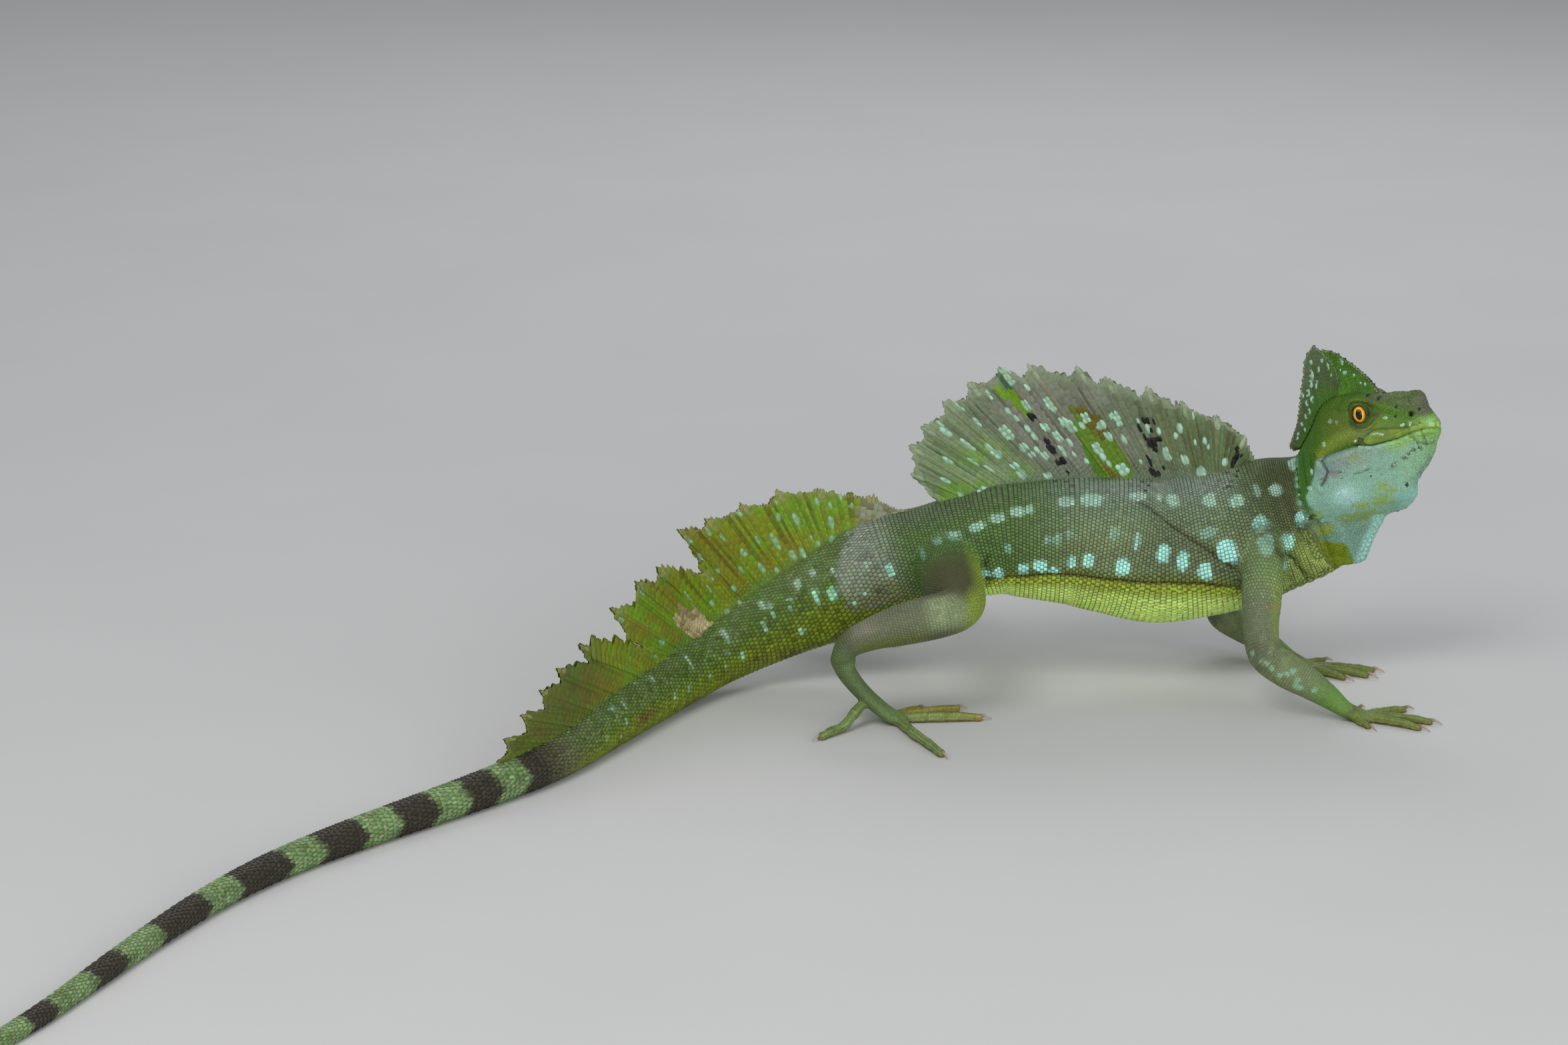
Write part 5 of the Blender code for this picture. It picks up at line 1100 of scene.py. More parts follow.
# the rear lobe's front edge lies over the rear edge of the front lobe
crest_front = crest_fn(((12.8, 29.0), (12.3, 35.0), (11.6, 38.2), (15.5, 36.6), (18.2, 34.2), (21.1, 31.6), (24.8, 27.2), (27.6, 21.4)), (12.8, 27.6), 0.0, 0.42)
crest_rear = crest_fn(((15.0, 26.0), (15.3, 29.7), (14.5, 32.6), (13.2, 34.9), (11.4, 37.2), (8.9, 39.9), (6.3, 37.2), (4.9, 34.1), (4.4, 31.3), (2.4, 26.0), (1.0, 21.0), (-0.9, 15.2), (-3.4, 11.0), (-5.3, 7.8), (-3.9, 5.6)), (14.9, -2.2), 0.2, -0.42)


def cell(k, t, nk, nt, seed):
    i, j = np.floor(k * nk).astype(np.int64), np.floor(t * nt).astype(np.int64)
    return hashed(i, j, i * 0, seed)


# marks on the fins: ray number, height (0 root, 1 margin), half length along the ray and half width in mm
BACK_DASHES = ((15.86, 0.94, 3.9, 1.2), (16.12, 0.69, 2.3, 1.2), (14.54, 0.71, 3.1, 1.3), (15.91, 0.49, 1.9, 1.2), (15.62, 0.42, 2.3, 1.2), (14.46, 0.55, 1.9, 1.5), (14.2, 0.49, 2.7, 1.4), (13.3, 0.6, 2.3, 1.3), (13.64, 0.51, 1.9, 1.0), (12.88, 0.54, 1.9, 1.8), (12.77, 0.43, 1.9, 1.2), (11.03, 0.66, 3.1, 1.3), (11.53, 0.62, 1.2, 0.9), (15.17, 0.38, 1.9, 0.9), (13.64, 0.3, 2.3, 1.3), (13.64, 0.23, 1.9, 1.1), (13.62, 0.16, 1.5, 0.9), (13.19, 0.12, 2.3, 1.8), (15.04, 0.2, 1.5, 0.8), (18.44, 0.55, 3.1, 1.8), (19.5, 0.75, 2.3, 0.8), (21.4, 0.64, 3.5, 0.9), (21.56, 0.86, 2.7, 1.1), (23.38, 0.64, 2.3, 0.8), (20.45, 0.5, 1.9, 1.0), (20.4, 0.41, 2.3, 1.4), (17.39, 0.72, 1.7, 0.9), (17.28, 0.64, 1.7, 0.9), (17.18, 0.53, 1.7, 0.9), (17.15, 0.45, 1.7, 0.9), (18.18, 0.37, 1.9, 1.4), (18.08, 0.29, 1.5, 1.2), (20, 0.24, 1.5, 1.2), (20.32, 0.14, 1.9, 1.3), (18.31, 0.08, 1.5, 1.2), (23.91, 0.04, 1.9, 1.7), (17.36, 0.27, 1.9, 1.2), (17.52, 0.33, 1.5, 0.9), (24.94, 0.51, 2.3, 0.8), (25.83, 0.11, 1.9, 0.7), (9.21, 0.61, 1.9, 1.0), (8.39, 0.57, 1.5, 0.9), (8.5, 0.31, 2.7, 1.3), (6.78, 0.71, 1.9, 1.1), (7.26, 0.57, 1.5, 0.9), (7.15, 0.26, 1.9, 1.2), (5.7, 0.53, 1.2, 0.7), (4.96, 0.6, 1.5, 0.8), (4.72, 0.5, 1.2, 0.6), (5.7, 0.1, 2.3, 1.7), (4.33, 0.05, 0.8, 0.6), (3.14, 0.28, 1.5, 1.1), (11.35, 0.2, 1.2, 0.8), (3.93, 0.91, 1.5, 0.8), (5.49, 0.92, 1.5, 0.5), (11.66, 0.4, 1.9, 1.0), (9.5, 0.65, 1.2, 0.5), (15.96, 0.31, 1.5, 0.8), (15.46, 0.26, 1.5, 0.7), (15.15, 0.91, 1.9, 0.8), (16.04, 0.25, 1.5, 0.8), (22.17, 0.45, 2.7, 0.6), (21.88, 0.31, 2.3, 0.6), (21.43, 0.96, 1.9, 0.6), (19.55, 0.94, 2.7, 0.7), (17.6, 0.89, 2.3, 0.7))
BACK_BLACK = ((16.31, 0.6, 1.7, 1.4), (16.6, 0.39, 1.4, 1.0), (16.73, 0.31, 1.9, 1.2), (16.84, 0.19, 1.5, 1.7), (16.94, 0.09, 0.9, 0.6), (17.18, 0.02, 0.5, 0.4), (16.76, 0.02, 0.5, 0.5), (9.16, 0.69, 1.5, 1.2), (8.6, 0.69, 1.2, 0.5), (9.61, 0.57, 1.9, 0.5), (9.55, 0.48, 1.5, 0.5), (9.34, 0.43, 1.9, 1.7), (8.89, 0.49, 1.0, 1.4), (9.31, 0.36, 1.2, 0.9), (10.03, 0.21, 2.3, 0.5), (10.66, 0.1, 1.7, 0.8), (9.97, 0.08, 1.2, 1.2), (10.42, 0.02, 0.5, 0.6), (9.26, 0.16, 0.9, 0.5), (2.22, 0.68, 1.5, 0.9), (1.95, 0.45, 2.2, 1.0), (2.03, 0.3, 1.5, 0.6), (2.14, 0.03, 1.5, 0.9), (1.61, 0.68, 0.8, 0.4), (2.0, 0.56, 1.2, 0.7), (9.1, 0.6, 1.0, 0.7))
TAIL_DASHES = ((7.86, 0.76, 1.7, 1.1), (6.78, 0.58, 2.5, 1.1), (4.78, 0.37, 2.5, 1.1), (4.95, 0.03, 2.1, 1.1), (6.45, 0.25, 1, 0.6), (8.61, 0.43, 3.8, 1.2), (8.21, 0.16, 2.1, 1.2), (7.51, 0.11, 2.1, 1.0), (10.58, 0.49, 2.1, 1.3), (10.33, 0.22, 2.5, 1.1), (9.61, 0.1, 1.1, 0.8), (9.46, 0.95, 1.3, 1.0), (5.23, 0.83, 1.7, 1.0), (7.48, 0.93, 1.3, 0.8), (3.68, 0.73, 1.3, 0.8), (14.54, 0.68, 1.3, 0.8), (12.96, 0.19, 1.7, 1.1), (13.73, 0.04, 1.3, 0.8), (15.44, 0.05, 1.7, 1.1), (15.91, 0.32, 1.7, 1.2), (21.37, 0.28, 2.1, 1.2), (23.29, 0.42, 1.7, 0.9), (21.27, 0.93, 2.3, 1.2), (17.24, 0.93, 2.5, 1.0), (19.24, 0.93, 2.1, 0.9), (12.98, 0.88, 2.5, 1.0), (13.61, 0.76, 2.5, 0.7), (15.39, 0.65, 2.1, 0.7), (9.48, 0.55, 2.1, 0.7), (4.63, 0.74, 1.7, 0.8), (4.03, 0.94, 1.3, 0.8), (10.96, 0.76, 2.1, 0.6), (20.74, 0.6, 2.2, 0.6), (16.91, 0.55, 2.2, 0.6), (11.66, 0.93, 2.1, 0.8), (6.1, 0.12, 1.2, 0.8), (11.6, 0.34, 1.6, 0.8), (13.1, 0.45, 1.7, 0.8))
FRESH_UPPER = ((17.13, 0.95), (16.2, 0.84), (15.89, 0.66), (16.28, 0.60), (16.68, 0.65), (16.91, 0.78), (17.18, 0.87))
FRESH_LOWER = ((13.62, 0.67), (13.11, 0.70), (12.53, 0.61), (12.42, 0.48), (12.42, 0.32), (12.5, 0.17), (12.76, 0.08), (13.22, 0.01), (13.75, 0.0), (15.01, 0.03), (15.09, 0.08), (14.72, 0.23), (14.28, 0.38), (14.04, 0.49), (13.64, 0.60))


def inside(x, y, polygon):
    """True for points within a closed outline."""
    hit = np.zeros(len(x), bool)
    for (x0, y0), (x1, y1) in zip(polygon, polygon[1:] + polygon[:1]):
        cross = (y0 > y) != (y1 > y)
        hit ^= cross & (x < (x1 - x0) * (y - y0) / (y1 - y0 + 1e-12) + x0)
    return hit


def mark_frames(fn, marks, k_end, sgn):
    """Middle of every mark on one face of a fin, the ways along and across the ray there, and its half sizes."""
    m = np.array(marks, float)
    k, t = m[:, 0].copy(), m[:, 1].copy()
    if sgn > 0:
        wob = np.array([hashed(int(v[0] * 100), int(v[1] * 100), 1, 7) for v in marks]) - 0.5
        k, t = k + 0.7 * wob, np.clip(t + 0.05 * wob[::-1], 0.02, 0.95)
    k = np.clip(k, 0.1, k_end - 0.1)
    p = fn(k, t, sgn)
    along = unit(fn(k, np.minimum(t + 0.02, 1), sgn) - fn(k, np.maximum(t - 0.02, 0), sgn))
    across = fn(k + 0.05, t, sgn) - fn(k - 0.05, t, sgn)
    across = unit(across - along * (across * along).sum(1)[:, None])
    return k, t, p, along, across, m[:, 2], m[:, 3]


def in_marks(p, frames, grow=0.0):
    """How far inside any mark the points lie: over 0 is inside."""
    best = np.full(len(p), -9.0)
    _, _, q, along, across, long, wide = frames
    for i in range(len(q)):
        d = p - q[i]
        x, y = (d @ along[i]) / (long[i] + grow), (d @ across[i]) / (wide[i] + grow)
        best = np.maximum(best, 1 - np.hypot(x, y))
    return best


FIN_MARKS = {}
for sgn in (-1.0, 1.0):
    FIN_MARKS["back", sgn] = mark_frames(back_fin, BACK_DASHES, 29.0, sgn)
    FIN_MARKS["black", sgn] = mark_frames(back_fin, BACK_BLACK, 29.0, sgn)
    FIN_MARKS["tail", sgn] = mark_frames(tail_fin, TAIL_DASHES, 35.0, sgn)


def paint_back(k, t, p, sgn):
    small, big = fbm(p, 2.6, 310), fbm(p, 9, 320)
    kk = k + (0.35 * np.sin(t * 5 + 1) if sgn > 0 else 0)
    colour = np.tile(rgb(102, 114, 90), (len(k), 1))
    colour = mix(colour, rgb(126, 130, 114), step(0.45, 0.62, big) * step(8, 12, k) * (1 - step(19, 23, k)) * 0.6)
    colour = mix(colour, rgb(128, 126, 116), hump(k, 16.5, 3.0) * hump(t, 0.55, 0.35) * 0.65)
    colour = mix(colour, rgb(128, 154, 106), step(17, 22, k) * (1 - 0.4 * t) * 0.85)
    colour = mix(colour, rgb(106, 152, 46), step(17.5, 22, k) * (1 - step(0.4, 0.75, t)) * step(0.36, 0.56, big) * 0.85)
    colour = mix(colour, rgb(94, 116, 72), (1 - step(5, 11, k)) * 0.8)
    colour = mix(colour, rgb(82, 88, 48), step(0.48, 0.66, fbm(np.column_stack([k * 2.4, t * 2, t * 0]), 1.0, 312)) * (1 - step(11, 14, k)) * 0.5)
    ray = np.abs(k / 2 - np.round(k / 2)) * 2
    # painted highlight along the raised rays, painted shade in the folds between them
    colour = mix(colour, rgb(122, 120, 78), np.exp(-((ray / 0.11) ** 2)) * step(0.12, 0.4, t) * 0.45)
    gap = np.abs(k / 2 - np.floor(k / 2) - 0.5) * 2
    colour = mix(colour, rgb(62, 62, 40), np.exp(-(((gap - 0.25) / 0.10) ** 2)) * step(0.2, 0.5, t) * (1 - step(0.85, 1, t)) * 0.55)
    streak = 0.5 + 0.5 * np.sin(k * 2 * np.pi * 2.2 + 0.8 * np.sin(k * 3))
    colour = mix(colour, colour * 0.78, step(0.55, 0.95, streak) * 0.5)
    colour = mix(colour, rgb(100, 114, 94), (1 - step(0.04, 0.18, t)) * 0.9)
    tipped = np.exp(-((ray / 0.32) ** 2)) * step(0.82, 0.95, t)
    colour = mix(colour, rgb(138, 152, 122), np.maximum(step(0.90, 0.98, t) * 0.5, tipped * 0.75))
    # sharp-edged patches of new skin
    lower, upper = inside(kk, t, list(FRESH_LOWER)), inside(kk, t, list(FRESH_UPPER))
    brown = step(0.55, 0.70, fbm(np.column_stack([k * 2.2, t * 9, t * 0]), 1.6, 330) + 0.42 * (t - 0.42) + 0.09 * (13.6 - k))
    colour = np.where(lower[:, None], mix(np.tile(rgb(92, 124, 20), (len(k), 1)), rgb(92, 78, 18), brown * 0.85), colour)
    colour = np.where(lower[:, None], mix(colour, rgb(60, 112, 30), step(14.1, 14.6, k + 1.2 * t) * 0.5), colour)
    colour = np.where(upper[:, None], np.tile(rgb(104, 146, 22), (len(k), 1)), colour)
    colour = np.where(((kk > 15.95) & (kk < 16.6) & (t > 0.86))[:, None], mix(colour, rgb(40, 96, 66), 0.8), colour)
    # pale long scales, black scales
    pale = in_marks(p, FIN_MARKS["back", sgn])
    tone = mix(np.tile(rgb(156, 196, 172), (len(k), 1)), rgb(138, 164, 122), step(0.5, 0.75, small) * 0.6)
    colour = mix(colour, tone, step(-0.02, 0.10, pale) * 0.85)
    black = in_marks(p, FIN_MARKS["black", sgn])
    colour = mix(colour, rgb(14, 15, 12), step(-0.02, 0.06, black) * 0.97)
    return colour


def paint_tail(k, t, p, s, sgn):
    small, big = fbm(p, 2.6, 340), fbm(p, 8, 350)
    colour = np.tile(rgb(124, 138, 22), (len(k), 1))
    colour = mix(colour, rgb(106, 152, 28), step(0.42, 0.6, big) * 0.75)
    colour = mix(colour, rgb(124, 104, 28), step(0.5, 0.66, fbm(np.column_stack([k * 2, t * 2, t * 0]), 1.3, 360)) * 0.55)
    ray = np.abs(k / 2 - np.floor(k / 2) - 0.5) * 2
    # painted highlight along the raised rays, painted shade in the folds between them
    colour = mix(colour, rgb(122, 112, 44), np.exp(-((ray / 0.12) ** 2)) * step(0.12, 0.4, t) * 0.5)
    gap = np.abs(k / 2 - np.round(k / 2)) * 2
    colour = mix(colour, rgb(78, 66, 22), np.exp(-(((gap - 0.25) / 0.10) ** 2)) * step(0.15, 0.45, t) * 0.55)
    streak = 0.5 + 0.5 * np.sin(k * 2 * np.pi * 2.0 + 0.8 * np.sin(k * 3))
    colour = mix(colour, colour * 0.76, step(0.55, 0.95, streak) * 0.45)
    colour = mix(colour, rgb(88, 118, 44), (1 - step(0.05, 0.2, t)) * 0.8)
    tipped = np.exp(-((ray / 0.3) ** 2)) * step(0.84, 0.96, t)
    colour = mix(colour, rgb(140, 140, 84), np.maximum(step(0.93, 0.99, t) * 0.45, tipped * 0.7))
    # old skin on the first rays, ending at a crisp uneven edge
    edge = 3.5 + 0.5 * (noise(np.column_stack([t * 9, t * 0, t * 0 + sgn]), 1.0, 371) - 0.5)
    old = step(-0.05, 0.05, edge - k)
    colour = mix(colour, mix(rgb(142, 148, 128), rgb(116, 114, 84), step(0.5, 0.66, small)), old * 0.94)
    behind = step(VENT + 118, VENT + 160, s)
    colour = mix(colour, rgb(78, 82, 34), behind * 0.7)
    wob = 0.5 * (noise(np.column_stack([t * 11, t * 0, t * 0 + sgn]), 1.0, 381) - 0.5)
    peel = (k > 17.0 + wob) & (k < 19.4 - 1.1 * np.maximum(t - 0.25, 0) + wob) & (t < 0.45 + 0.12 * np.sin(k * 5 + sgn)) & (fbm(p, 3.5, 380) > 0.28)
    colour = mix(colour, mix(rgb(192, 176, 134), rgb(146, 130, 92), step(0.45, 0.65, small)), peel * 0.95)
    pale = in_marks(p, FIN_MARKS["tail", sgn])
    colour = mix(colour, rgb(136, 184, 140), step(-0.02, 0.10, pale) * 0.8 * (1 - 0.4 * behind))
    return colour


CREST_SPOTS = {  # place ahead and up in the head's axes, half width, half height (mm)
    "front": ((17.4, 33.2, 0.5, 1.1), (18.0, 29.4, 0.5, 0.75), (20.6, 28.4, 0.5, 0.6), (24.4, 25.0, 0.45, 0.7), (22.6, 25.4, 0.35, 0.5), (16.2, 31.0, 0.35, 0.6)),
    "rear": ((7.2, 34.0, 0.42, 1.0), (9.4, 32.2, 0.42, 1.3), (6.8, 30.4, 0.5, 1.7), (6.0, 27.6, 0.45, 1.4), (7.7, 27.2, 0.4, 1.1), (12.6, 32.4, 0.45, 1.2), (13.6, 29.4, 0.35, 0.8), (4.4, 24.6, 0.35, 1.3), (5.4, 22.6, 0.35, 1.1), (3.4, 21.2, 0.35, 1.1), (2.4, 24.2, 0.32, 0.9), (3.6, 18.6, 0.35, 0.9), (2.2, 16.8, 0.42, 1.2), (0.4, 14.6, 0.5, 0.9), (1.2, 12.8, 0.5, 0.7), (-1.2, 12.0, 0.5, 0.7), (11.0, 34.8, 0.38, 0.9), (-2.2, 10.0, 0.5, 0.6)),
}


def paint_crest(k, t, p, front):
    small, big = fbm(p, 2.2, 390), fbm(p, 5, 395)
    a, b, c = head_coords(p)
    if front:
        colour = mix(np.tile(rgb(66, 112, 18), (len(k), 1)), rgb(50, 88, 18), step(0.5, 0.68, small) * 0.6)
        colour = mix(colour, rgb(92, 134, 30), step(0.5, 0.65, big) * 0.4)
        colour = mix(colour, rgb(142, 148, 112), step(0.95, 0.985, t) * 0.8 * (cell(k, t, 46, 1, 3) > 0.35))
        spots = CREST_SPOTS["front"]
    else:
        colour = mix(np.tile(rgb(70, 88, 46), (len(k), 1)), rgb(58, 76, 36), step(0.45, 0.66, small) * 0.6)
        colour = mix(colour, rgb(62, 104, 22), (1 - step(0.14, 0.50, t)) * 0.85)
        colour = mix(colour, rgb(92, 106, 78), hump(t, 0.86, 0.14) * 0.5)
        colour = mix(colour, rgb(132, 146, 116), step(0.94, 0.985, t) * 0.6)
        spots = CREST_SPOTS["rear"]
    for x, z, w, h in spots:
        r = np.hypot((a - x - 0.18 * (c - z)) / w, (c - z) / h)
        colour = mix(colour, rgb(146, 190, 168), 0.8 * (1 - step(0.75, 1.1, r)))
    return colour


SKIN_GAP_SHADE = np.array([0.44, 0.82, 0.80, 0.76, 0.76, 0.76, 0.76, 0.86, 0.86, 0.86, 0.86])  # painted shade: the skin between the scales is darker than the scales, by region
# painted shade: the fin skin between the fin scales is darker than the scales
FIN_GAP_SHADE = 0.86
fins = []
for name, fn, k_end, nk, nt, paint in (
    ("back", back_fin, 29.0, 436, 44, paint_back),
    ("tail", tail_fin, 35.0, 421, 38, lambda k, t, p, sgn: paint_tail(k, t, p, VENT + (smooth_key(TAIL_FIN_ROWS, k) * np.column_stack([1 - t, t, t * 0])).sum(1), sgn)),
    ("crest_front", crest_front, 1.0, 91, 26, lambda k, t, p, sgn: paint_crest(k, t, p, True)),
    ("crest_rear", crest_rear, 1.0, 131, 26, lambda k, t, p, sgn: paint_crest(k, t, p, False)),
):
    kk, tt = np.meshgrid(np.linspace(0, k_end, nk), np.linspace(0, 1, nt), indexing="ij")
    k, t = kk.ravel(), tt.ravel()
    blades = [fn(k, t, sgn) for sgn in (1.0, -1.0)]
    total = nk * nt
    sides = grid_faces(nk, nt)
    faces = [sides, sides[:, ::-1] + total]
    for ring in (np.arange(nk) * nt, np.arange(nk) * nt + nt - 1, np.arange(nt), np.arange(nt) + (nk - 1) * nt):
        faces.append(np.column_stack([ring[:-1], ring[1:], ring[1:] + total, ring[:-1] + total]))
    fin_mesh = lay("fin_" + name, np.vstack(blades), *faces)
    bm = bmesh.new()
    bm.from_mesh(fin_mesh)
    bmesh.ops.recalc_face_normals(bm, faces=bm.faces)
    bm.to_mesh(fin_mesh)
    bm.free()
    set_colour(fin_mesh, np.vstack([paint(k, t, q, sgn) for q, sgn in zip(blades, (1.0, -1.0))]) * FIN_GAP_SHADE)
    obj = bpy.data.objects.new("fin_" + name, fin_mesh)
    scene.collection.objects.link(obj)
    fins.append(obj)

# ---------------------------------------------------------------- scale shapes


def shape_plate():
    """Square plate with cut corners and a low rounded top."""
    outer = [(-0.5, -0.36), (-0.36, -0.5), (0.36, -0.5), (0.5, -0.36), (0.5, 0.36), (0.36, 0.5), (-0.36, 0.5), (-0.5, 0.36)]
    inner = [(-0.35, -0.35), (0.38, -0.35), (0.38, 0.35), (-0.35, 0.35)]
    v = [(x, y, -0.55) for x, y in outer] + [(x, y, 0.85 + 0.3 * (x > 0)) for x, y in inner]
    f = [(0, 1, 8), (1, 2, 8), (8, 2, 9), (2, 3, 9), (3, 4, 9), (9, 4, 10), (4, 5, 10), (5, 6, 10), (10, 6, 11), (6, 7, 11), (7, 0, 11), (11, 0, 8), (8, 9, 10), (8, 10, 11)]
    # tone: rim darkened as painted shade between the scales, top lightened as a painted highlight
    tone = [0.36] * 8 + [1.12, 1.18, 1.18, 1.12]
    return v, f, tone


def shape_oval():
    """Long low dome."""
    turn = np.arange(10) * np.pi / 5
    v = [(0.5 * np.cos(w), 0.5 * np.sin(w), -0.5) for w in turn] + [(0.37 * np.cos(w), 0.37 * np.sin(w), 0.75) for w in turn] + [(0, 0, 1.0)]
    f = []
    for k in range(10):
        n = (k + 1) % 10
        f += [(k, n, 10 + n), (k, 10 + n, 10 + k), (10 + k, 10 + n, 20)]
    # tone: rim darkened as painted shade, crown lightened as a painted highlight
    return v, f, [0.8] * 10 + [1.0] * 10 + [1.08]


def shape_keel():
    """Lozenge with a keel, its point to the rear."""
    outer = [(-0.55, 0), (-0.36, -0.4), (0.12, -0.5), (0.5, -0.22), (0.68, 0), (0.5, 0.22), (0.12, 0.5), (-0.36, 0.4)]
    v = [(x, y, -0.5 + 0.55 * max(x, 0)) for x, y in outer] + [(-0.2, 0, 0.7), (0.42, 0, 1.25)]
    f = [(0, 1, 8), (1, 2, 8), (2, 9, 8), (2, 3, 9), (3, 4, 9), (4, 5, 9), (5, 6, 9), (6, 8, 9), (6, 7, 8), (7, 0, 8)]
    # tone: edges darkened as painted shade, keel lightened as a painted highlight
    tone = [0.66, 0.7, 0.78, 0.86, 0.92, 0.86, 0.78, 0.7, 1.08, 1.14]
    return v, f, tone


def shape_bead():
    """Six-sided bead."""
    # tone: rim darkened as painted shade between the beads, top lightened as a painted highlight
    v, tone = [], []
    for k in range(6):
        w = (k + 0.5) * np.pi / 3
        v.append((0.5 * np.cos(w), 0.5 * np.sin(w), -0.5))
        tone.append(0.6)
    for k in range(6):
        w = (k + 0.5) * np.pi / 3
        v.append((0.33 * np.cos(w), 0.33 * np.sin(w), 0.72))
        tone.append(1.0)
    v.append((0, 0, 1.0))
    tone.append(1.12)
    f = []
    for k in range(6):
        n = (k + 1) % 6
        f += [(k, n, 6 + n), (k, 6 + n, 6 + k), (6 + k, 6 + n, 12)]
    return v, f, tone


SHAPES = {"plate": shape_plate(), "keel": shape_keel(), "bead": shape_bead(), "oval": shape_oval()}
coat = {}  # piece name -> list of batches


def add_scales(piece, shape, p, n, t, length, width, height, colour, uv, tilt=0.0, turn=0.0, depth=1.0):
    """Keeps a batch of scales: roots p, normals n, lie t, sizes in millimetres, uv on the unwrap, depth of the painted
    shade at the rim and painted highlight on top.
    """
    if not len(p):
        return
    n = unit(n)
    t = unit(t - n * (t * n).sum(1)[:, None])
    t = unit(t + np.cross(n, t) * (turn * rng.standard_normal(len(p)))[:, None])
    b = np.cross(n, t)
    t = unit(t + n * tilt)
    n = unit(np.cross(t, b))
    full = lambda x: np.broadcast_to(np.asarray(x, float), (len(p),))
    v, f, tone = (np.array(x) for x in SHAPES[shape])
    length, width, height = full(length), full(width), full(height)
    local = p[:, None] + v[None, :, 0, None] * (t * length[:, None])[:, None] + v[None, :, 1, None] * (b * width[:, None])[:, None] + v[None, :, 2, None] * (n * height[:, None])[:, None]
    local[..., 2] = np.maximum(local[..., 2], 0.0)
    # the shape's tone paints shade on the rim and a highlight on the top
    shade = colour[:, None, :] * (1 + (tone[None, :, None] - 1) * depth)
    place = uv[:, None, :] + 0.0028 * v[None, :, :2]
    coat.setdefault(piece, []).append((local, f.astype(int), shade, place))


# ---------------------------------------------------------------- scales on the flesh
skin_mesh.vertices.foreach_set("co", V.astype(np.float32).ravel())
skin_mesh.update()
bm = bmesh.new()
bm.from_mesh(skin_mesh)
bvh = BVHTree.FromBMesh(bm)
bm.free()
starts = np.zeros(len(skin_mesh.polygons), np.int32)
skin_mesh.polygons.foreach_get("loop_start", starts)
corner = np.zeros(len(skin_mesh.loops), np.int32)
skin_mesh.loops.foreach_get("vertex_index", corner)
face_verts = np.column_stack([corner[starts], corner[starts + 1], corner[starts + 2]])


def settle(points, reach):
    """Nearest places on the skin: (kept, place, normal, colour, region)."""
    found = [bvh.find_nearest(Vector(p), reach) for p in points]
    kept = np.array([f[0] is not None for f in found])
    place = np.array([f[0] if f[0] is not None else (0, 0, 0) for f in found], float).reshape(-1, 3)
    face = np.array([f[2] if f[2] is not None else 0 for f in found])
    fv = face_verts[face]
    w = 1 / (np.linalg.norm(V[fv] - place[:, None], axis=2) + 0.05)
    w /= w.sum(1)[:, None]
    normal = unit((N[fv] * w[..., None]).sum(1))
    colour = (C[fv] * w[..., None]).sum(1)
    return kept, place, normal, colour, region[fv[:, 0]]


placed = []  # every root so far, to keep batches from overlapping


def free_of(points, gap):
    """True for points at least gap (an array) away from all scales placed so far."""
    if not placed:
        return np.ones(len(points), bool)
    every = np.vstack(placed)
    kd = KDTree(len(every))
    for i, p in enumerate(every):
        kd.insert(p, i)
    kd.balance()
    return np.array([kd.find(p)[2] for p in points]) > gap


def vary(colour, amount=0.09, tint=0.035):
    return colour * (1 + amount * rng.standard_normal((len(colour), 1))) * (1 + tint * rng.standard_normal((len(colour), 3)))


def body_rows(s0, s1, spacing, lo, hi, pitch):
    """Transverse rows of roots between two stations and two angles (degrees from the top), both sides."""
    out = []
    s, number = s0, 0
    t = np.linspace(0, np.pi, 181)
    while s < s1:
        ring = body_point(np.full(181, s), t)
        reach = np.concatenate([[0], np.cumsum(np.linalg.norm(np.diff(ring, axis=0), axis=1))])
        low, high = np.radians(lo(s)), np.radians(hi(s))
        density = 1 / pitch(s, np.degrees(t))
        total = np.concatenate([[0], np.cumsum((density[1:] + density[:-1]) / 2 * np.diff(reach))])
        first, last = np.interp(low, t, total), np.interp(high, t, total)
        n = max(int(round(last - first)), 1)
        at = first + (np.arange(n) + (0.5 if number % 2 else 0.02)) * (last - first) / n
        angle = np.interp(at, total, t)
        here = np.interp(at, total, density)
        for sgn in (-1, 1):
            out.append(np.column_stack([np.full(n, s), sgn * angle, 1 / here, np.full(n, spacing(s))]))
        s += spacing(s)
        number += 1
    return np.vstack(out)


def fold_at(s):
    return float(np.interp(s, [v[0] for v in FOLD], [v[1] for v in FOLD], left=128, right=124))


def flank_pitch(s, deg):
    base = np.interp(deg, (0, 25, 60, 100, 180), (0.95, 1.0, 1.18, 1.36, 1.5))
    return base * np.interp(s, (4, 16, 34, 60, 130, 150), (0.66, 0.74, 0.98, 1.0, 0.92, 0.95))


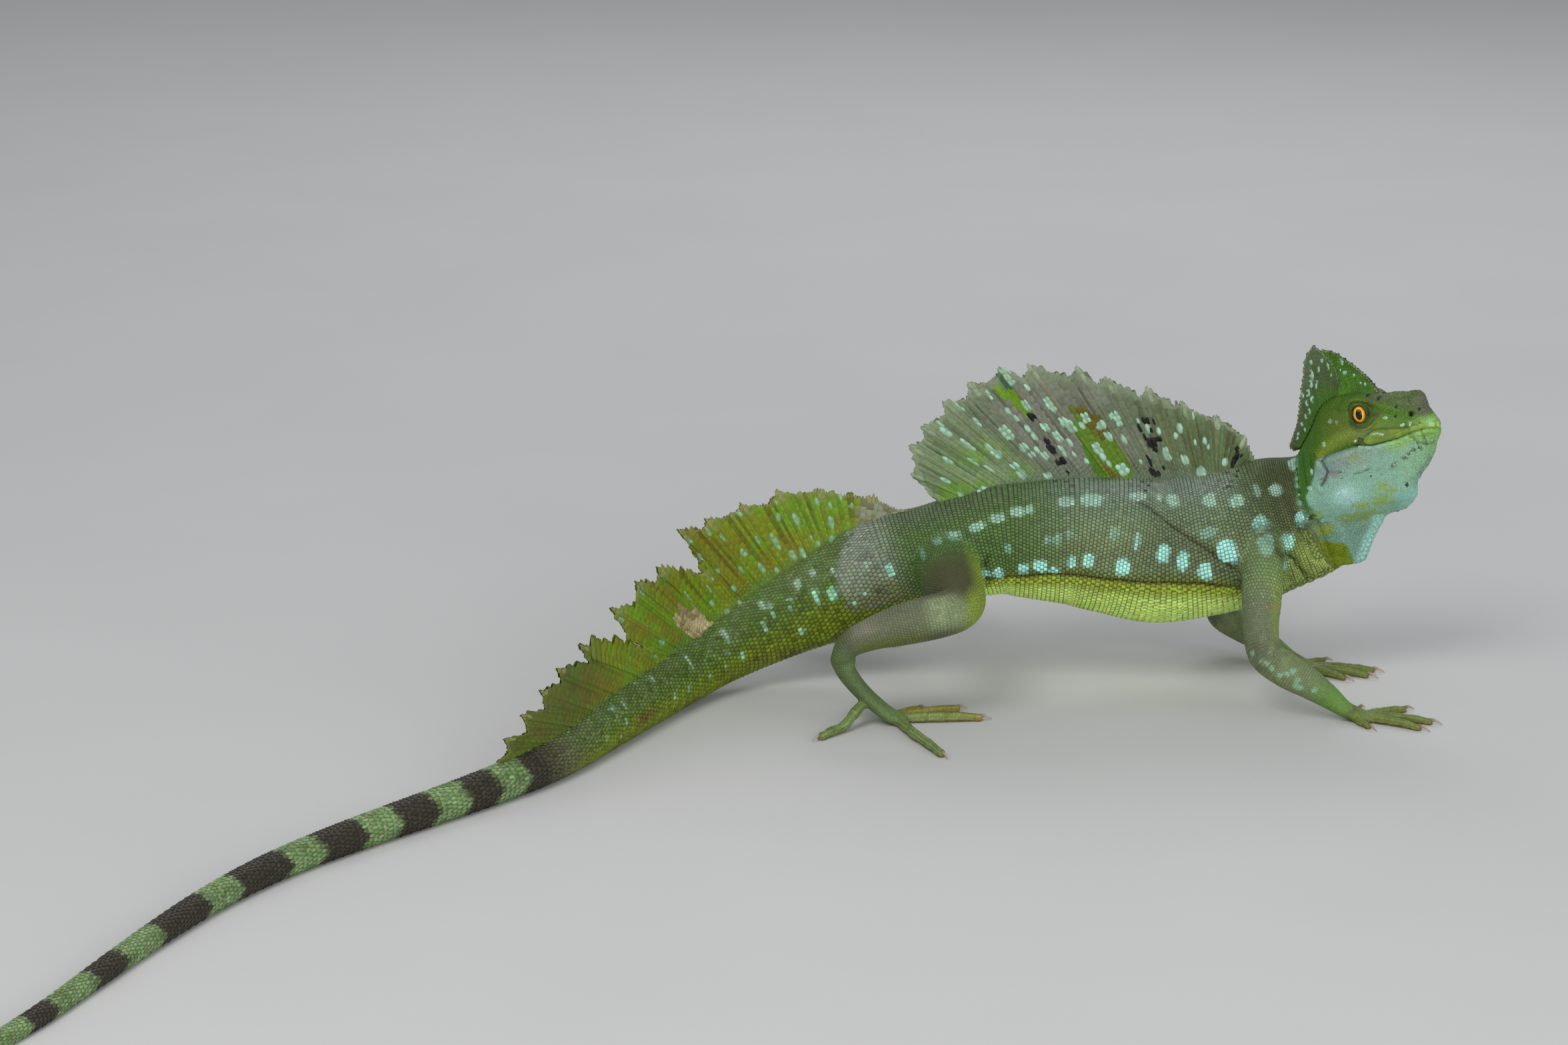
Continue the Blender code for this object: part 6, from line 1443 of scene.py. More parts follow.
trunk_rows = body_rows(5.0, 150.0, lambda s: float(np.interp(s, (5, 16, 34, 110, 150), (0.74, 0.84, 1.22, 1.2, 1.15))), lambda s: 0.0, lambda s: fold_at(s) if s > 32 else 150.0, flank_pitch)
tail_from = trunk_rows[:, 0].max() + 1.16
batches = (
    # trunk above the fold, trunk below it, tail above, tail below, long end of the tail
    (trunk_rows, "plate", 0.94, 0.17),
    (body_rows(33.0, 150.0, lambda s: 1.45, fold_at, lambda s: 180.0, lambda s, d: np.interp(d, (100, 130, 180), (1.3, 1.5, 1.5))), "plate", 0.96, 0.15),
    (body_rows(tail_from, 330.0, lambda s: float(np.interp(s, (150, 200, 330), (1.2, 1.35, 1.75))), lambda s: 0.0, lambda s: 62.0, lambda s, d: np.interp(s, (150, 330), (1.05, 1.35)) + 0 * d), "keel", 1.22, 0.20),
    (body_rows(tail_from, 330.0, lambda s: float(np.interp(s, (150, 200, 330), (1.5, 1.8, 2.0))), lambda s: 62.0, lambda s: 180.0, lambda s, d: np.interp(d, (60, 90, 180), (1.25, 1.6, 1.8)) * np.interp(s, (150, 330), (1.0, 0.85))), "plate", 0.98, 0.18),
    (body_rows(330.0, 653.0, lambda s: float(np.interp(s, (330, 650), (2.1, 1.7))), lambda s: 0.0, lambda s: 180.0, lambda s, d: np.interp(s, (330, 500, 650), (1.45, 1.25, 0.9)) + 0 * d), "keel", 1.25, 0.24),
)
for rows, shape, fill, high in batches:
    base = body_point(rows[:, 0], rows[:, 1])
    kept, place, normal, colour, where = settle(base, 2.6)
    kept &= (where == 0) & free_of(place, 0.55 * np.minimum(rows[:, 2], rows[:, 3]))
    _, ahead, _, up = line_at(rows[:, 0])
    outward = unit(base - line_at(rows[:, 0])[0])
    kept &= (normal * outward).sum(1) > 0.2
    a, b, c = head_coords(place)
    kept &= ~((a > -2.5) & (c > -30) & (np.abs(b) < 14) & (rows[:, 0] < 14))
    rows, place, normal, colour, ahead = rows[kept], place[kept], normal[kept], colour[kept], ahead[kept]
    placed.append(place)
    colour = vary(colour * 1.10, 0.11 + 0.05 * float(rows[:, 0].min() > 140), 0.04)
    deg = np.degrees(rows[:, 1])
    for piece, pick, uv in (
        ("coat_trunk_R", (rows[:, 0] < 150) & (deg <= 0), np.column_stack([rows[:, 0] / 152, 0.02 + 0.96 * np.abs(deg) / 180])),
        ("coat_trunk_L", (rows[:, 0] < 150) & (deg > 0), np.column_stack([rows[:, 0] / 152, 0.02 + 0.96 * np.abs(deg) / 180])),
        ("coat_tail", rows[:, 0] >= 150, np.column_stack([0.01 + 0.98 * (np.maximum(rows[:, 0] - 150, 0) / 506) ** 0.85, 0.5 + 0.49 * deg / 180])),
    ):
        r = rows[pick]
        apart = np.linalg.norm(body_point(r[:, 0] + r[:, 3] / 2, r[:, 1]) - body_point(r[:, 0] - r[:, 3] / 2, r[:, 1]), axis=1)
        apart = np.clip(apart, 0.8 * r[:, 3], 1.6 * r[:, 3])
        add_scales(piece, shape, place[pick], normal[pick], -ahead[pick], apart * fill * 1.04, r[:, 2] * 0.94, np.minimum(r[:, 2], r[:, 3]) * high, colour[pick], uv[pick], tilt=0.08 if shape == "plate" else 0.13, turn=0.05, depth=(1.0 if shape == "plate" else 1.2) * np.interp(r[:, 0].mean() if len(r) else 0.0, (140, 200, 420), (1.0, 0.62, 0.8)))

for name, rows in LIMBS.items():
    at = np.linspace(0, len(rows) - 1, 1200)
    line = spline(rows, at)
    reach = np.concatenate([[0], np.cumsum(np.linalg.norm(np.diff(line[:, :3], axis=0), axis=1))])
    bits = []
    d, number = 2.0, 0
    while d < reach[-1] - 0.6:
        t0 = float(np.interp(d, reach, at))
        row, along, across, up = limb_frame(rows, t0)
        rad = 0.5 * (row[0, 3] + row[0, 4])
        gap = float(np.clip(0.40 + 0.085 * rad, 0.62, 0.96))
        top_end = 1.9 if name.startswith("arm") else 1.5
        gap += (1.22 - gap) * float(1 - step(top_end, top_end + 0.9, np.array([t0]))[0])
        n = max(int(round(2 * np.pi * rad / gap)), 6)
        w = (np.arange(n) + 0.5 * (number % 2)) * 2 * np.pi / n
        p = row[0, :3] + np.outer(np.sin(w) * row[0, 4], across[0]) + np.outer(np.cos(w) * row[0, 3], up[0])
        bits.append(np.column_stack([p, np.full(n, t0), w, np.full(n, gap), np.tile(along[0], (n, 1)), np.tile(p.mean(0), (n, 1))]))
        d += gap * 1.0
        number += 1
    bits = np.vstack(bits)
    kept, place, normal, colour, where = settle(bits[:, :3], 1.9)
    kept &= (where == REGIONS.index(name)) & free_of(place, 0.62 * bits[:, 5])
    bits, place, normal, colour = bits[kept], place[kept], normal[kept], colour[kept]
    placed.append(place)
    uv = np.column_stack([0.01 + 0.98 * bits[:, 3] / (len(rows) - 1), 0.01 + 0.72 * (bits[:, 4] % (2 * np.pi)) / (2 * np.pi)])
    top = bits[:, 3] + 0.9 * rng.random(len(bits)) < top_end + 0.75
    add_scales("coat_" + name, "plate", place[top], normal[top], bits[top, 6:9], bits[top, 5] * 0.98, bits[top, 5] * 0.94, bits[top, 5] * 0.15, vary(colour[top] * 1.08, 0.10, 0.03), uv[top], tilt=0.05, turn=0.06, depth=0.9)
    top = ~top
    add_scales("coat_" + name, "bead", place[top], normal[top], bits[top, 6:9], bits[top, 5] * 1.06, bits[top, 5] * 1.0, bits[top, 5] * 0.13, vary(colour[top], 0.07, 0.02), uv[top], tilt=0.04, turn=0.12, depth=0.62)
    for digit, row in enumerate(TOES[name]):
        line, _ = toe_line(row, 60)
        reach = np.concatenate([[0], np.cumsum(np.linalg.norm(np.diff(line[:, :3], axis=0), axis=1))])
        along = unit(np.gradient(line[:, :3], axis=0))
        across = unit(np.cross(along, [0, 0, 1.0]))
        lift = np.cross(across, along)
        bits = []
        d, number = 1.0, 0
        while d < reach[-1] + 0.3:
            j = int(np.clip(np.searchsorted(reach, d), 0, 59))
            w = np.array([-150, -100, -50, 0, 50, 100, 150, 180]) * np.pi / 180
            p = line[j, :3] + line[j, 3] * (np.outer(np.sin(w), across[j]) + np.outer(np.cos(w), lift[j]))
            bits.append(np.column_stack([p, np.full(len(w), d), w, np.tile(along[j], (len(w), 1)), np.full(len(w), line[j, 3])]))
            d += 0.86
            number += 1
        bits = np.vstack(bits)
        kept, place, normal, colour, where = settle(bits[:, :3], 0.7)
        kept &= free_of(place, 0.5)
        bits, place, normal, colour = bits[kept], place[kept], normal[kept], colour[kept]
        placed.append(place)
        uv = np.column_stack([0.01 + 0.9 * np.minimum(bits[:, 3] / 42, 1), 0.76 + 0.045 * digit + 0.036 * (bits[:, 4] + np.pi) / (2 * np.pi)])
        add_scales("coat_" + name, "keel", place, normal, bits[:, 5:8], 0.98, bits[:, 8] * 0.9, 0.10, vary(colour, 0.06, 0.02), uv, tilt=0.06, turn=0.05, depth=0.45)

# ---------------------------------------------------------------- head scales
eye_far = np.full(len(V), 99.0)
for name, (centre, out, fore, top) in eye_centre.items():
    q = V - centre
    r = np.linalg.norm(q, axis=1)
    v = q / np.maximum(r, 1e-9)[:, None]
    rho = np.hypot(EYE_RADIUS * (v @ fore) / EYE_OPEN[0], EYE_RADIUS * (v @ top) / EYE_OPEN[1]) + 9 * ((v @ out) < 0.1) + 9 * (r > 8)
    eye_far = np.minimum(eye_far, rho)

# plates along both lips
for line, offset, length, tall, piece_tone in ((MOUTH, 1.15, 2.5, 1.7, 1.0), (MOUTH, -1.0, 2.3, 1.4, 1.0)):
    pts = np.array(line, float)[1:]
    reach = np.concatenate([[0], np.cumsum(np.linalg.norm(np.diff(pts, axis=0), axis=1))])
    at = np.arange(0.8, reach[-1] - 0.2, length)
    a0, c0 = np.interp(at, reach, pts[:, 0]), np.interp(at, reach, pts[:, 1])
    da, dc = np.interp(at + 0.5, reach, pts[:, 0]) - np.interp(at - 0.5, reach, pts[:, 0]), np.interp(at + 0.5, reach, pts[:, 1]) - np.interp(at - 0.5, reach, pts[:, 1])
    way = unit(np.column_stack([da, dc]))
    a1, c1 = a0 - way[:, 1] * offset, c0 + way[:, 0] * offset
    for sgn in (-1, 1):
        half = np.interp(a1, (15, 21, 27, 33, 36, 40, 43, 45.6), (11.2, 10.3, 8.9, 7.4, 6.8, 5.5, 4.0, 1.7))
        guess = from_head(np.column_stack([a1, sgn * half, c1]))
        kept, place, normal, colour, where = settle(guess, 2.5)
        kept &= free_of(place, 1.2)
        place, normal, colour = place[kept], normal[kept], colour[kept]
        placed.append(place)
        along = (way[:, :1] * H_AHEAD + way[:, 1:] * H_UP)[kept] * -1
        a, b, c = head_coords(place)
        theta = np.arctan2(b, c - 2) / (2 * np.pi) + 0.5
        add_scales("coat_head", "plate", place, normal, along, length * 0.99, tall, 0.12, vary(colour, 0.04), np.column_stack([0.05 + 0.9 * (a + 8) / 56, theta]), tilt=0.0, depth=0.4)

# beads down the front edge of the throat fan
c0 = np.arange(-33.6, -19.0, 1.45)
front = np.interp(c0, [r[0] for r in DEWLAP[::-1]], [r[2] for r in DEWLAP[::-1]])
for row, (inset, bb, size) in enumerate(((0.0, 0.0, 1.7), (0.9, 1.0, 1.55), (0.9, -1.0, 1.55), (2.2, 1.6, 1.35), (2.2, -1.6, 1.35))):
    cc = c0 + (0.7 if row else 0)
    kept, place, normal, colour, where = settle(from_head(np.column_stack([front - inset, np.full(len(c0), bb), cc])), 2.5)
    kept &= free_of(place, 0.75)
    place, normal, colour = place[kept], normal[kept], colour[kept]
    placed.append(place)
    a, b, c = head_coords(place)
    add_scales("coat_head", "bead", place, normal, np.tile(-H_UP, (len(place), 1)), size * 1.1, size, size * 0.26, vary(mix(colour, rgb(158, 208, 194), 0.5), 0.05), np.column_stack([0.05 + 0.9 * (a + 8) / 56, np.arctan2(b, c - 2) / (2 * np.pi) + 0.5]))


def head_pitch(p, rho):
    a, b, c = head_coords(p)
    size = np.full(len(p), 0.70)
    size = np.where(c < 6, 0.66, size)
    size = np.where((c > 15) & (a > 24), 0.95, size)
    size = np.where((c > 19) & (a < 24), 0.92, size)
    size = np.where((a > 36) & (c < 5), 0.86, size)
    size = np.where(c < -17, 0.84, size)
    size = np.where(rho < 2.3, 0.50 + 0.30 * np.clip(rho - 1.2, 0, 1), size)
    return size


def scatter(points, normals, sizes, seed):
    """Greedy even spread: indices of points that keep their size apart from one another."""
    order = np.random.default_rng(seed).permutation(len(points))
    cell_mm = 1.4
    grid, chosen = {}, []
    keys = np.floor(points / cell_mm).astype(int)
    for i in order:
        kx, ky, kz = keys[i]
        p, gap = points[i], sizes[i]
        px, py, pz = p
        ok = True
        for dx in (-1, 0, 1):
            for dy in (-1, 0, 1):
                for dz in (-1, 0, 1):
                    for qx, qy, qz, g in grid.get((kx + dx, ky + dy, kz + dz), ()):
                        m = 0.5 * (gap + g)
                        if (px - qx) ** 2 + (py - qy) ** 2 + (pz - qz) ** 2 < m * m:
                            ok = False
                            break
                    if not ok:
                        break
                if not ok:
                    break
            if not ok:
                break
        if ok:
            grid.setdefault((kx, ky, kz), []).append((px, py, pz, gap))
            chosen.append(i)
    return np.array(chosen, int)


a, b, c = head_coords(V)
mouth_d, mouth_u = near_line(a, c, MOUTH)
nostril = np.hypot((a - 38.4) / 0.95, (c - 13.6) / 0.75)
headish = np.isin(region, (1, 2)) & (eye_far > 1.10) & ~((mouth_d < 0.35) & (a > 20)) & ~((nostril < 1.2) & (np.abs(b) > 1.5))
size = head_pitch(V, eye_far)
pool = np.nonzero(headish)[0]
every = np.vstack(placed)
kd = KDTree(len(every))
for i, p in enumerate(every):
    kd.insert(p, i)
kd.balance()
dist = np.array([kd.find(V[i])[2] for i in pool])
pool = pool[dist > 0.75 * np.where((mouth_d[pool] < 2.6) & (a[pool] > 18), 1.35, size[pool])]
chosen = pool[scatter(V[pool], N[pool], size[pool] * 0.86, 3)]
a, b, c = head_coords(V[chosen])
lie = np.tile(-H_AHEAD, (len(chosen), 1)) + np.where(c < -2, 0.6, 0.15)[:, None] * -H_UP
kd = KDTree(len(chosen))
for i, p in enumerate(V[chosen]):
    kd.insert(p, i)
kd.balance()
room = np.array([np.mean([f[2] for f in kd.find_n(p, 6)[1:]]) for p in V[chosen]])
room = np.clip(room, 0.45, 1.3)
flat = np.where((c > 15) & (a > 22), 0.11, np.where(c < 4, 0.085, 0.10))
add_scales("coat_head", "bead", V[chosen], N[chosen], lie, room * 1.14, room * 1.08, room * flat, vary(C[chosen], 0.035, 0.015), np.column_stack([0.05 + 0.9 * (a + 8) / 56, np.arctan2(b, c - 2) / (2 * np.pi) + 0.5]), turn=0.25, depth=0.38)
placed.append(V[chosen])

# scales wherever the rows leave room: joints, throat, palms
every = np.vstack(placed)
kd = KDTree(len(every))
for i, p in enumerate(every):
    kd.insert(p, i)
kd.balance()
rest = np.nonzero(~headish & (eye_far > 1.2) & ~((mouth_d < 0.6) & np.isin(region, (1, 2))))[0]
rest = rest[V[rest, 2] > 0.15]
gap = np.where(region[rest] == 0, 1.15, 0.86)
gap = np.where(region[rest] > 6, 0.74, gap)
dist = np.array([kd.find(V[i])[2] for i in rest])
pool = rest[dist > gap * 0.86]
gap = np.where(region[pool] == 0, 1.15, np.where(region[pool] > 6, 0.74, 0.86))
chosen = pool[scatter(V[pool], N[pool], gap * 0.9, 4)] if len(pool) else pool
for k, label in enumerate(REGIONS):
    here = chosen[region[chosen] == k]
    if not len(here):
        continue
    p = V[here]
    if label == "body":
        s, ang = body_coords(p)
        lie = -line_at(s)[1]
        for piece, pick, uv in (
            ("coat_trunk_R", (s < 150) & (ang <= 0), np.column_stack([s / 152, 0.02 + 0.96 * np.abs(ang) / 180])),
            ("coat_trunk_L", (s < 150) & (ang > 0), np.column_stack([s / 152, 0.02 + 0.96 * np.abs(ang) / 180])),
            ("coat_tail", s >= 150, np.column_stack([0.01 + 0.98 * (np.maximum(s - 150, 0) / 506) ** 0.85, 0.5 + 0.49 * ang / 180])),
        ):
            q = here[pick]
            add_scales(piece, "plate", V[q], N[q], lie[pick], 1.1, 1.05, 0.18, vary(C[q]), uv[pick], tilt=0.06, turn=0.1)
    elif label in ("head", "dewlap"):
        a, b, c = head_coords(p)
        add_scales("coat_head", "bead", p, N[here], np.tile(-H_AHEAD, (len(p), 1)), 0.75, 0.75, 0.12, vary(C[here], 0.04, 0.02), np.column_stack([0.05 + 0.9 * (a + 8) / 56, np.arctan2(b, c - 2) / (2 * np.pi) + 0.5]), turn=0.2, depth=0.5)
    else:
        name = label.replace("toe_", "")
        at, ang = limb_coords(p, LIMBS[name])
        lie = limb_frame(LIMBS[name], at)[1]
        if "toe" in label:
            row = np.array(LIMBS[name][-1])[:2]
            uv = np.column_stack([0.60 + 0.38 * np.clip((p[:, 0] - row[0] + 32) / 64, 0, 1), 0.75 + 0.24 * np.clip((p[:, 1] - row[1] + 40) / 80, 0, 1)])
        else:
            uv = np.column_stack([0.01 + 0.98 * at / (len(LIMBS[name]) - 1), 0.01 + 0.72 * (ang % 360) / 360])
        add_scales("coat_" + name, "bead", p, N[here], lie, 0.88 if "toe" not in label else 0.74, 0.88 if "toe" not in label else 0.74, 0.11, vary(C[here], 0.05, 0.02), uv, turn=0.15, depth=0.5)

# ---------------------------------------------------------------- scales on fins and crests
def fin_normals(fn, k, t, sgn, k_end):
    dk = fn(np.minimum(k + 0.05, k_end), t, sgn) - fn(np.maximum(k - 0.05, 0), t, sgn)
    dt = fn(k, np.minimum(t + 0.01, 1), sgn) - fn(k, np.maximum(t - 0.01, 0), sgn)
    normal = unit(np.cross(dk, dt))
    normal[(normal * (fn(k, t, 1.0) - fn(k, t, -1.0))).sum(1) * sgn < 0] *= -1
    return normal, dk, dt


for name, fn, k_end, lanes, base_len, top_len, paint in (
    ("back", back_fin, 29.0, 140, 1.15, 3.4, paint_back),
    ("tail", tail_fin, 35.0, 156, 1.25, 3.4, lambda k, t, p, sgn: paint_tail(k, t, p, VENT + (smooth_key(TAIL_FIN_ROWS, k) * np.column_stack([1 - t, t, t * 0])).sum(1), sgn)),
):
    for sgn in (-1.0, 1.0):
        piece = f"coat_fin_{name}_{'R' if sgn < 0 else 'L'}"
        kk, tt, ll = [], [], []
        for lane in range(lanes):
            k = (lane + 0.5) / lanes * k_end
            ends = fn(np.array([k, k]), np.array([0.0, 1.0]), sgn)
            reach = np.linalg.norm(ends[1] - ends[0])
            d = 1.5 + (0.5 if lane % 2 else 0.0) * base_len + 0.3 * rng.random()
            while d < reach - 0.5:
                size = np.interp(d / max(reach, 20), (0.05, 0.22, 0.7), (base_len, 2.4, top_len)) * (0.85 + 0.3 * rng.random())
                if d + size * 0.5 > reach:
                    break
                kk.append(k)
                tt.append((d + size * 0.4) / reach)
                ll.append(size)
                d += size * 0.96
        k, t, size = np.array(kk), np.clip(np.array(tt), 0, 0.985), np.array(ll)
        p = fn(k, t, sgn)
        marked = in_marks(p, FIN_MARKS[name, sgn]) > -0.12
        if name == "back":
            marked |= in_marks(p, FIN_MARKS["black", sgn]) > -0.12
        k, t, size, p = k[~marked], t[~marked], size[~marked], p[~marked]
        normal, dk, dt = fin_normals(fn, k, t, sgn, k_end)
        wide = np.linalg.norm(dk, axis=1) / 0.1 * (k_end / lanes)
        low = 1 - step(0.10, 0.24, t)  # the lowest rows are like the scales of the back
        uv = np.column_stack([0.01 + 0.98 * k / k_end, 0.01 + 0.96 * t])
        colour = vary(paint(k, t, p, sgn), 0.05, 0.018)
        for pick, depth in ((low < 0.5, 0.2), (low >= 0.5, 0.7)):
            add_scales(piece, "plate", p[pick], normal[pick], dt[pick], size[pick] * np.where(low[pick] < 0.5, 1.06, 1.0), wide[pick] * np.where(low[pick] < 0.5, 1.04, 0.97), 0.05 + 0.025 * wide[pick] + 0.06 * low[pick], colour[pick], uv[pick], tilt=0.02, turn=0.03, depth=depth)
        # the marks themselves, long ones in two scales
        for kind, shape, shade, high in ((name, "oval", rgb(168, 214, 188) if name == "back" else rgb(140, 188, 142), 0.16), ("black", "plate", rgb(14, 15, 12), 0.12)):
            if kind == "black" and name == "tail":
                continue
            mk, mt, mp, along, across, long, across_half = FIN_MARKS[kind, sgn]
            if name == "tail":
                across_half = across_half * 0.86
            mn = fin_normals(fn, mk, mt, sgn, k_end)[0]
            count_of = np.where(long > 2.0, 2, 1) + (long > 3.0)
            for i in range(len(mp)):
                n = int(count_of[i])
                for j in range(n):
                    shift = (j - (n - 1) / 2) * 2 * long[i] / n
                    rows_wide = 2 if across_half[i] > 1.15 else 1
                    for q in range(rows_wide):
                        aside = (q - (rows_wide - 1) / 2) * across_half[i] * 1.05 + 0.12 * rng.standard_normal()
                        at = mp[i] + along[i] * (shift + (0.35 * long[i] / n if q else 0)) + across[i] * aside
                        tone = shade * (0.86 + 0.2 * rng.random())
                        if kind != "black":
                            tone = mix(tone[None], rgb(138, 168, 122), 0.45 * rng.random())[0]
                        add_scales(piece, shape, at[None], mn[i][None], along[i][None], 1.9 * long[i] / n, (1.55 if rows_wide == 1 else 0.95) * across_half[i], high, tone[None], np.array([[0.01 + 0.98 * (mk[i] + 0.05 * q) / k_end, 0.01 + 0.96 * np.clip(mt[i] + 0.02 * j, 0, 1)]]), turn=0.05, depth=0.7)
        # pointed scales on the margin
        k = (np.arange(lanes * 2) + 0.5) / (lanes * 2) * k_end
        t = np.full(len(k), 0.985)
        p = fn(k, t, sgn)
        dt = fn(k, t, sgn) - fn(k, t - 0.05, sgn)
        normal = fin_normals(fn, k, t, sgn, k_end)[0]
        ray = np.abs(k / 2 - (np.round(k / 2) if name == "back" else np.floor(k / 2) + 0.5)) * 2
        long = 1.1 + 1.2 * np.exp(-((ray / 0.25) ** 2)) + 0.5 * rng.random(len(k))
        edge_tone = rgb(134, 146, 116) if name == "back" else rgb(132, 134, 78)
        add_scales(piece, "keel", p, normal, dt, long, 0.95, 0.16, vary(mix(paint(k, t, p, sgn), edge_tone, 0.4), 0.06, 0.02), np.column_stack([0.01 + 0.98 * k / k_end, np.full(len(k), 0.99)]), turn=0.10, depth=0.5)
        # pointed scales standing out at the ray tips
        k = (np.arange(0, 29, 2.0) if name == "back" else np.arange(1, 34, 2.0))[:, None] + np.array([-0.14, 0.0, 0.14])
        k = np.clip(k.ravel(), 0.05, k_end - 0.05)
        t = np.full(len(k), 0.985)
        p = fn(k, t, sgn)
        dt = fn(k, t, sgn) - fn(k, t - 0.05, sgn)
        normal = fin_normals(fn, k, t, sgn, k_end)[0]
        add_scales(piece, "keel", p + unit(dt) * 0.35, normal, dt, np.tile([2.2, 3.2, 2.2], len(k) // 3), 1.25, 0.2, vary(np.tile(rgb(142, 158, 128) if name == "back" else rgb(138, 140, 82), (len(k), 1)), 0.08), np.column_stack([0.008 + 0.98 * k / k_end, np.full(len(k), 0.975)]), turn=0.05, depth=0.5)
        # long pale scale at the tip of every ray
        k = np.arange(2, 28, 2.0) if name == "back" else np.arange(5, 34, 2.0)
        t = np.full(len(k), 0.93)
        p = fn(k, t, sgn)
        dt = fn(k, t, sgn) - fn(k, t - 0.05, sgn)
        normal = fin_normals(fn, k, t, sgn, k_end)[0]
        add_scales(piece, "oval", p, normal, dt, 4.2, 1.7, 0.2, vary(np.tile(rgb(146, 162, 128) if name == "back" else rgb(140, 144, 86), (len(k), 1)), 0.08), np.column_stack([0.012 + 0.98 * k / k_end, np.full(len(k), 0.95)]), turn=0.06, depth=0.6)

for name, fn, front, lanes, rows in (("front", crest_front, True, 24, 12), ("rear", crest_rear, False, 36, 13)):
    for sgn in (-1.0, 1.0):
        kk, tt = np.meshgrid((np.arange(lanes) + 0.5) / lanes, (np.arange(rows) + 0.5) / rows, indexing="ij")
        tt = tt + (np.arange(lanes) % 2)[:, None] * 0.5 / rows
        k, t = kk.ravel(), tt.ravel()
        keep = t < 0.97
        k, t = k[keep], t[keep]
        p = fn(k, t, sgn)
        dk = fn(np.minimum(k + 0.01, 1), t, sgn) - fn(np.maximum(k - 0.01, 0), t, sgn)
        dt = fn(k, np.minimum(t + 0.01, 1), sgn) - fn(k, np.maximum(t - 0.01, 0), sgn)
        normal = unit(np.cross(dk, dt))
        normal[(normal * (fn(k, t, 1.0) - fn(k, t, -1.0))).sum(1) * sgn < 0] *= -1
        wide = np.linalg.norm(dk, axis=1) / 0.02 / lanes
        tall = np.linalg.norm(dt, axis=1) / 0.02 / rows
        good = (wide > 0.3) & (tall > 0.3)
        uv = np.column_stack([(0.02 if front else 0.52) + 0.45 * k, (0.02 if sgn < 0 else 0.52) + 0.45 * t])
        add_scales("coat_crests", "plate", p[good], normal[good], dt[good], tall[good] * 1.03, wide[good] * 1.0, 0.06, vary(paint_crest(k, t, p, front), 0.045, 0.02)[good], uv[good], tilt=0.02, turn=0.06, depth=0.2)
        # long pale scales
        a, b, c = head_coords(p)
        for x, z, w, h in CREST_SPOTS[name]:
            i = int(np.argmin(np.hypot(a - x, c - z)))
            if np.hypot(a[i] - x, c[i] - z) < 1.2:
                add_scales("coat_crests", "oval", p[i][None], normal[i][None], (H_UP + 0.2 * H_AHEAD)[None], 2.0 * h, 1.9 * w, 0.14, vary(rgb(150, 196, 174)[None], 0.08), np.array([[(0.02 if front else 0.52) + 0.45 * k[i] + 0.003, (0.02 if sgn < 0 else 0.52) + 0.45 * t[i] + 0.003]]), turn=0.08, depth=0.5)
        # beads on the margin
        span = 30 if front else 40
        k = (np.arange(span) + 0.5) / span
        t = np.full(span, 0.985)
        p = fn(k, t, sgn)
        dt = fn(k, t, sgn) - fn(k, t - 0.05, sgn)
        normal = unit(H_LEFT * sgn * 1.0 + unit(dt) * 0.6)
        pale = vary(mix(paint_crest(k, t, p, front), rgb(138, 144, 104), 0.4), 0.14)
        add_scales("coat_crests", "bead", p, normal, dt, 0.85, 0.62, 0.14, pale, np.column_stack([(0.02 if front else 0.52) + 0.45 * k, np.full(span, 0.485 if sgn < 0 else 0.985)]))

# ---------------------------------------------------------------- materials


def coloured(name, rough, bump, grain, specular=0.4, coat_gloss=0.0, subsurface=0.0):
    """Skin or scale finish: painted colour with fine mottling, small pores and an uneven gloss."""
    made = bpy.data.materials.new(name)
    made.use_nodes = True
    nodes, links = made.node_tree.nodes, made.node_tree.links
    shader = nodes["Principled BSDF"]
    paint = nodes.new("ShaderNodeAttribute")
    paint.attribute_name = "Col"
    place = nodes.new("ShaderNodeTexCoord")
    mottle = nodes.new("ShaderNodeTexNoise")
    mottle.inputs["Scale"].default_value = grain
    mottle.inputs["Detail"].default_value = 4
    links.new(place.outputs["Object"], mottle.inputs["Vector"])
    ramp = nodes.new("ShaderNodeMapRange")
    ramp.inputs["From Min"].default_value = 0.3
    ramp.inputs["From Max"].default_value = 0.7
    ramp.inputs["To Min"].default_value = 0.86
    ramp.inputs["To Max"].default_value = 1.14
    links.new(mottle.outputs["Fac"], ramp.inputs["Value"])
    blend = nodes.new("ShaderNodeVectorMath")
    blend.operation = "SCALE"
    links.new(paint.outputs["Color"], blend.inputs[0])
    links.new(ramp.outputs["Result"], blend.inputs["Scale"])
    links.new(blend.outputs["Vector"], shader.inputs["Base Color"])
    gloss = nodes.new("ShaderNodeMapRange")
    gloss.inputs["To Min"].default_value = rough - 0.08
    gloss.inputs["To Max"].default_value = rough + 0.10
    links.new(mottle.outputs["Fac"], gloss.inputs["Value"])
    links.new(gloss.outputs["Result"], shader.inputs["Roughness"])
    pores = nodes.new("ShaderNodeTexNoise")
    pores.inputs["Scale"].default_value = grain * 3.5
    pores.inputs["Detail"].default_value = 3
    links.new(place.outputs["Object"], pores.inputs["Vector"])
    relief = nodes.new("ShaderNodeBump")
    relief.inputs["Strength"].default_value = bump
    relief.inputs["Distance"].default_value = 0.00012
    links.new(pores.outputs["Fac"], relief.inputs["Height"])
    links.new(relief.outputs["Normal"], shader.inputs["Normal"])
    shader.inputs["Specular IOR Level"].default_value = specular
    shader.inputs["Coat Weight"].default_value = coat_gloss
    shader.inputs["Coat Roughness"].default_value = 0.03 if coat_gloss > 0.5 else 0.3
    shader.inputs["Subsurface Weight"].default_value = subsurface
    return made


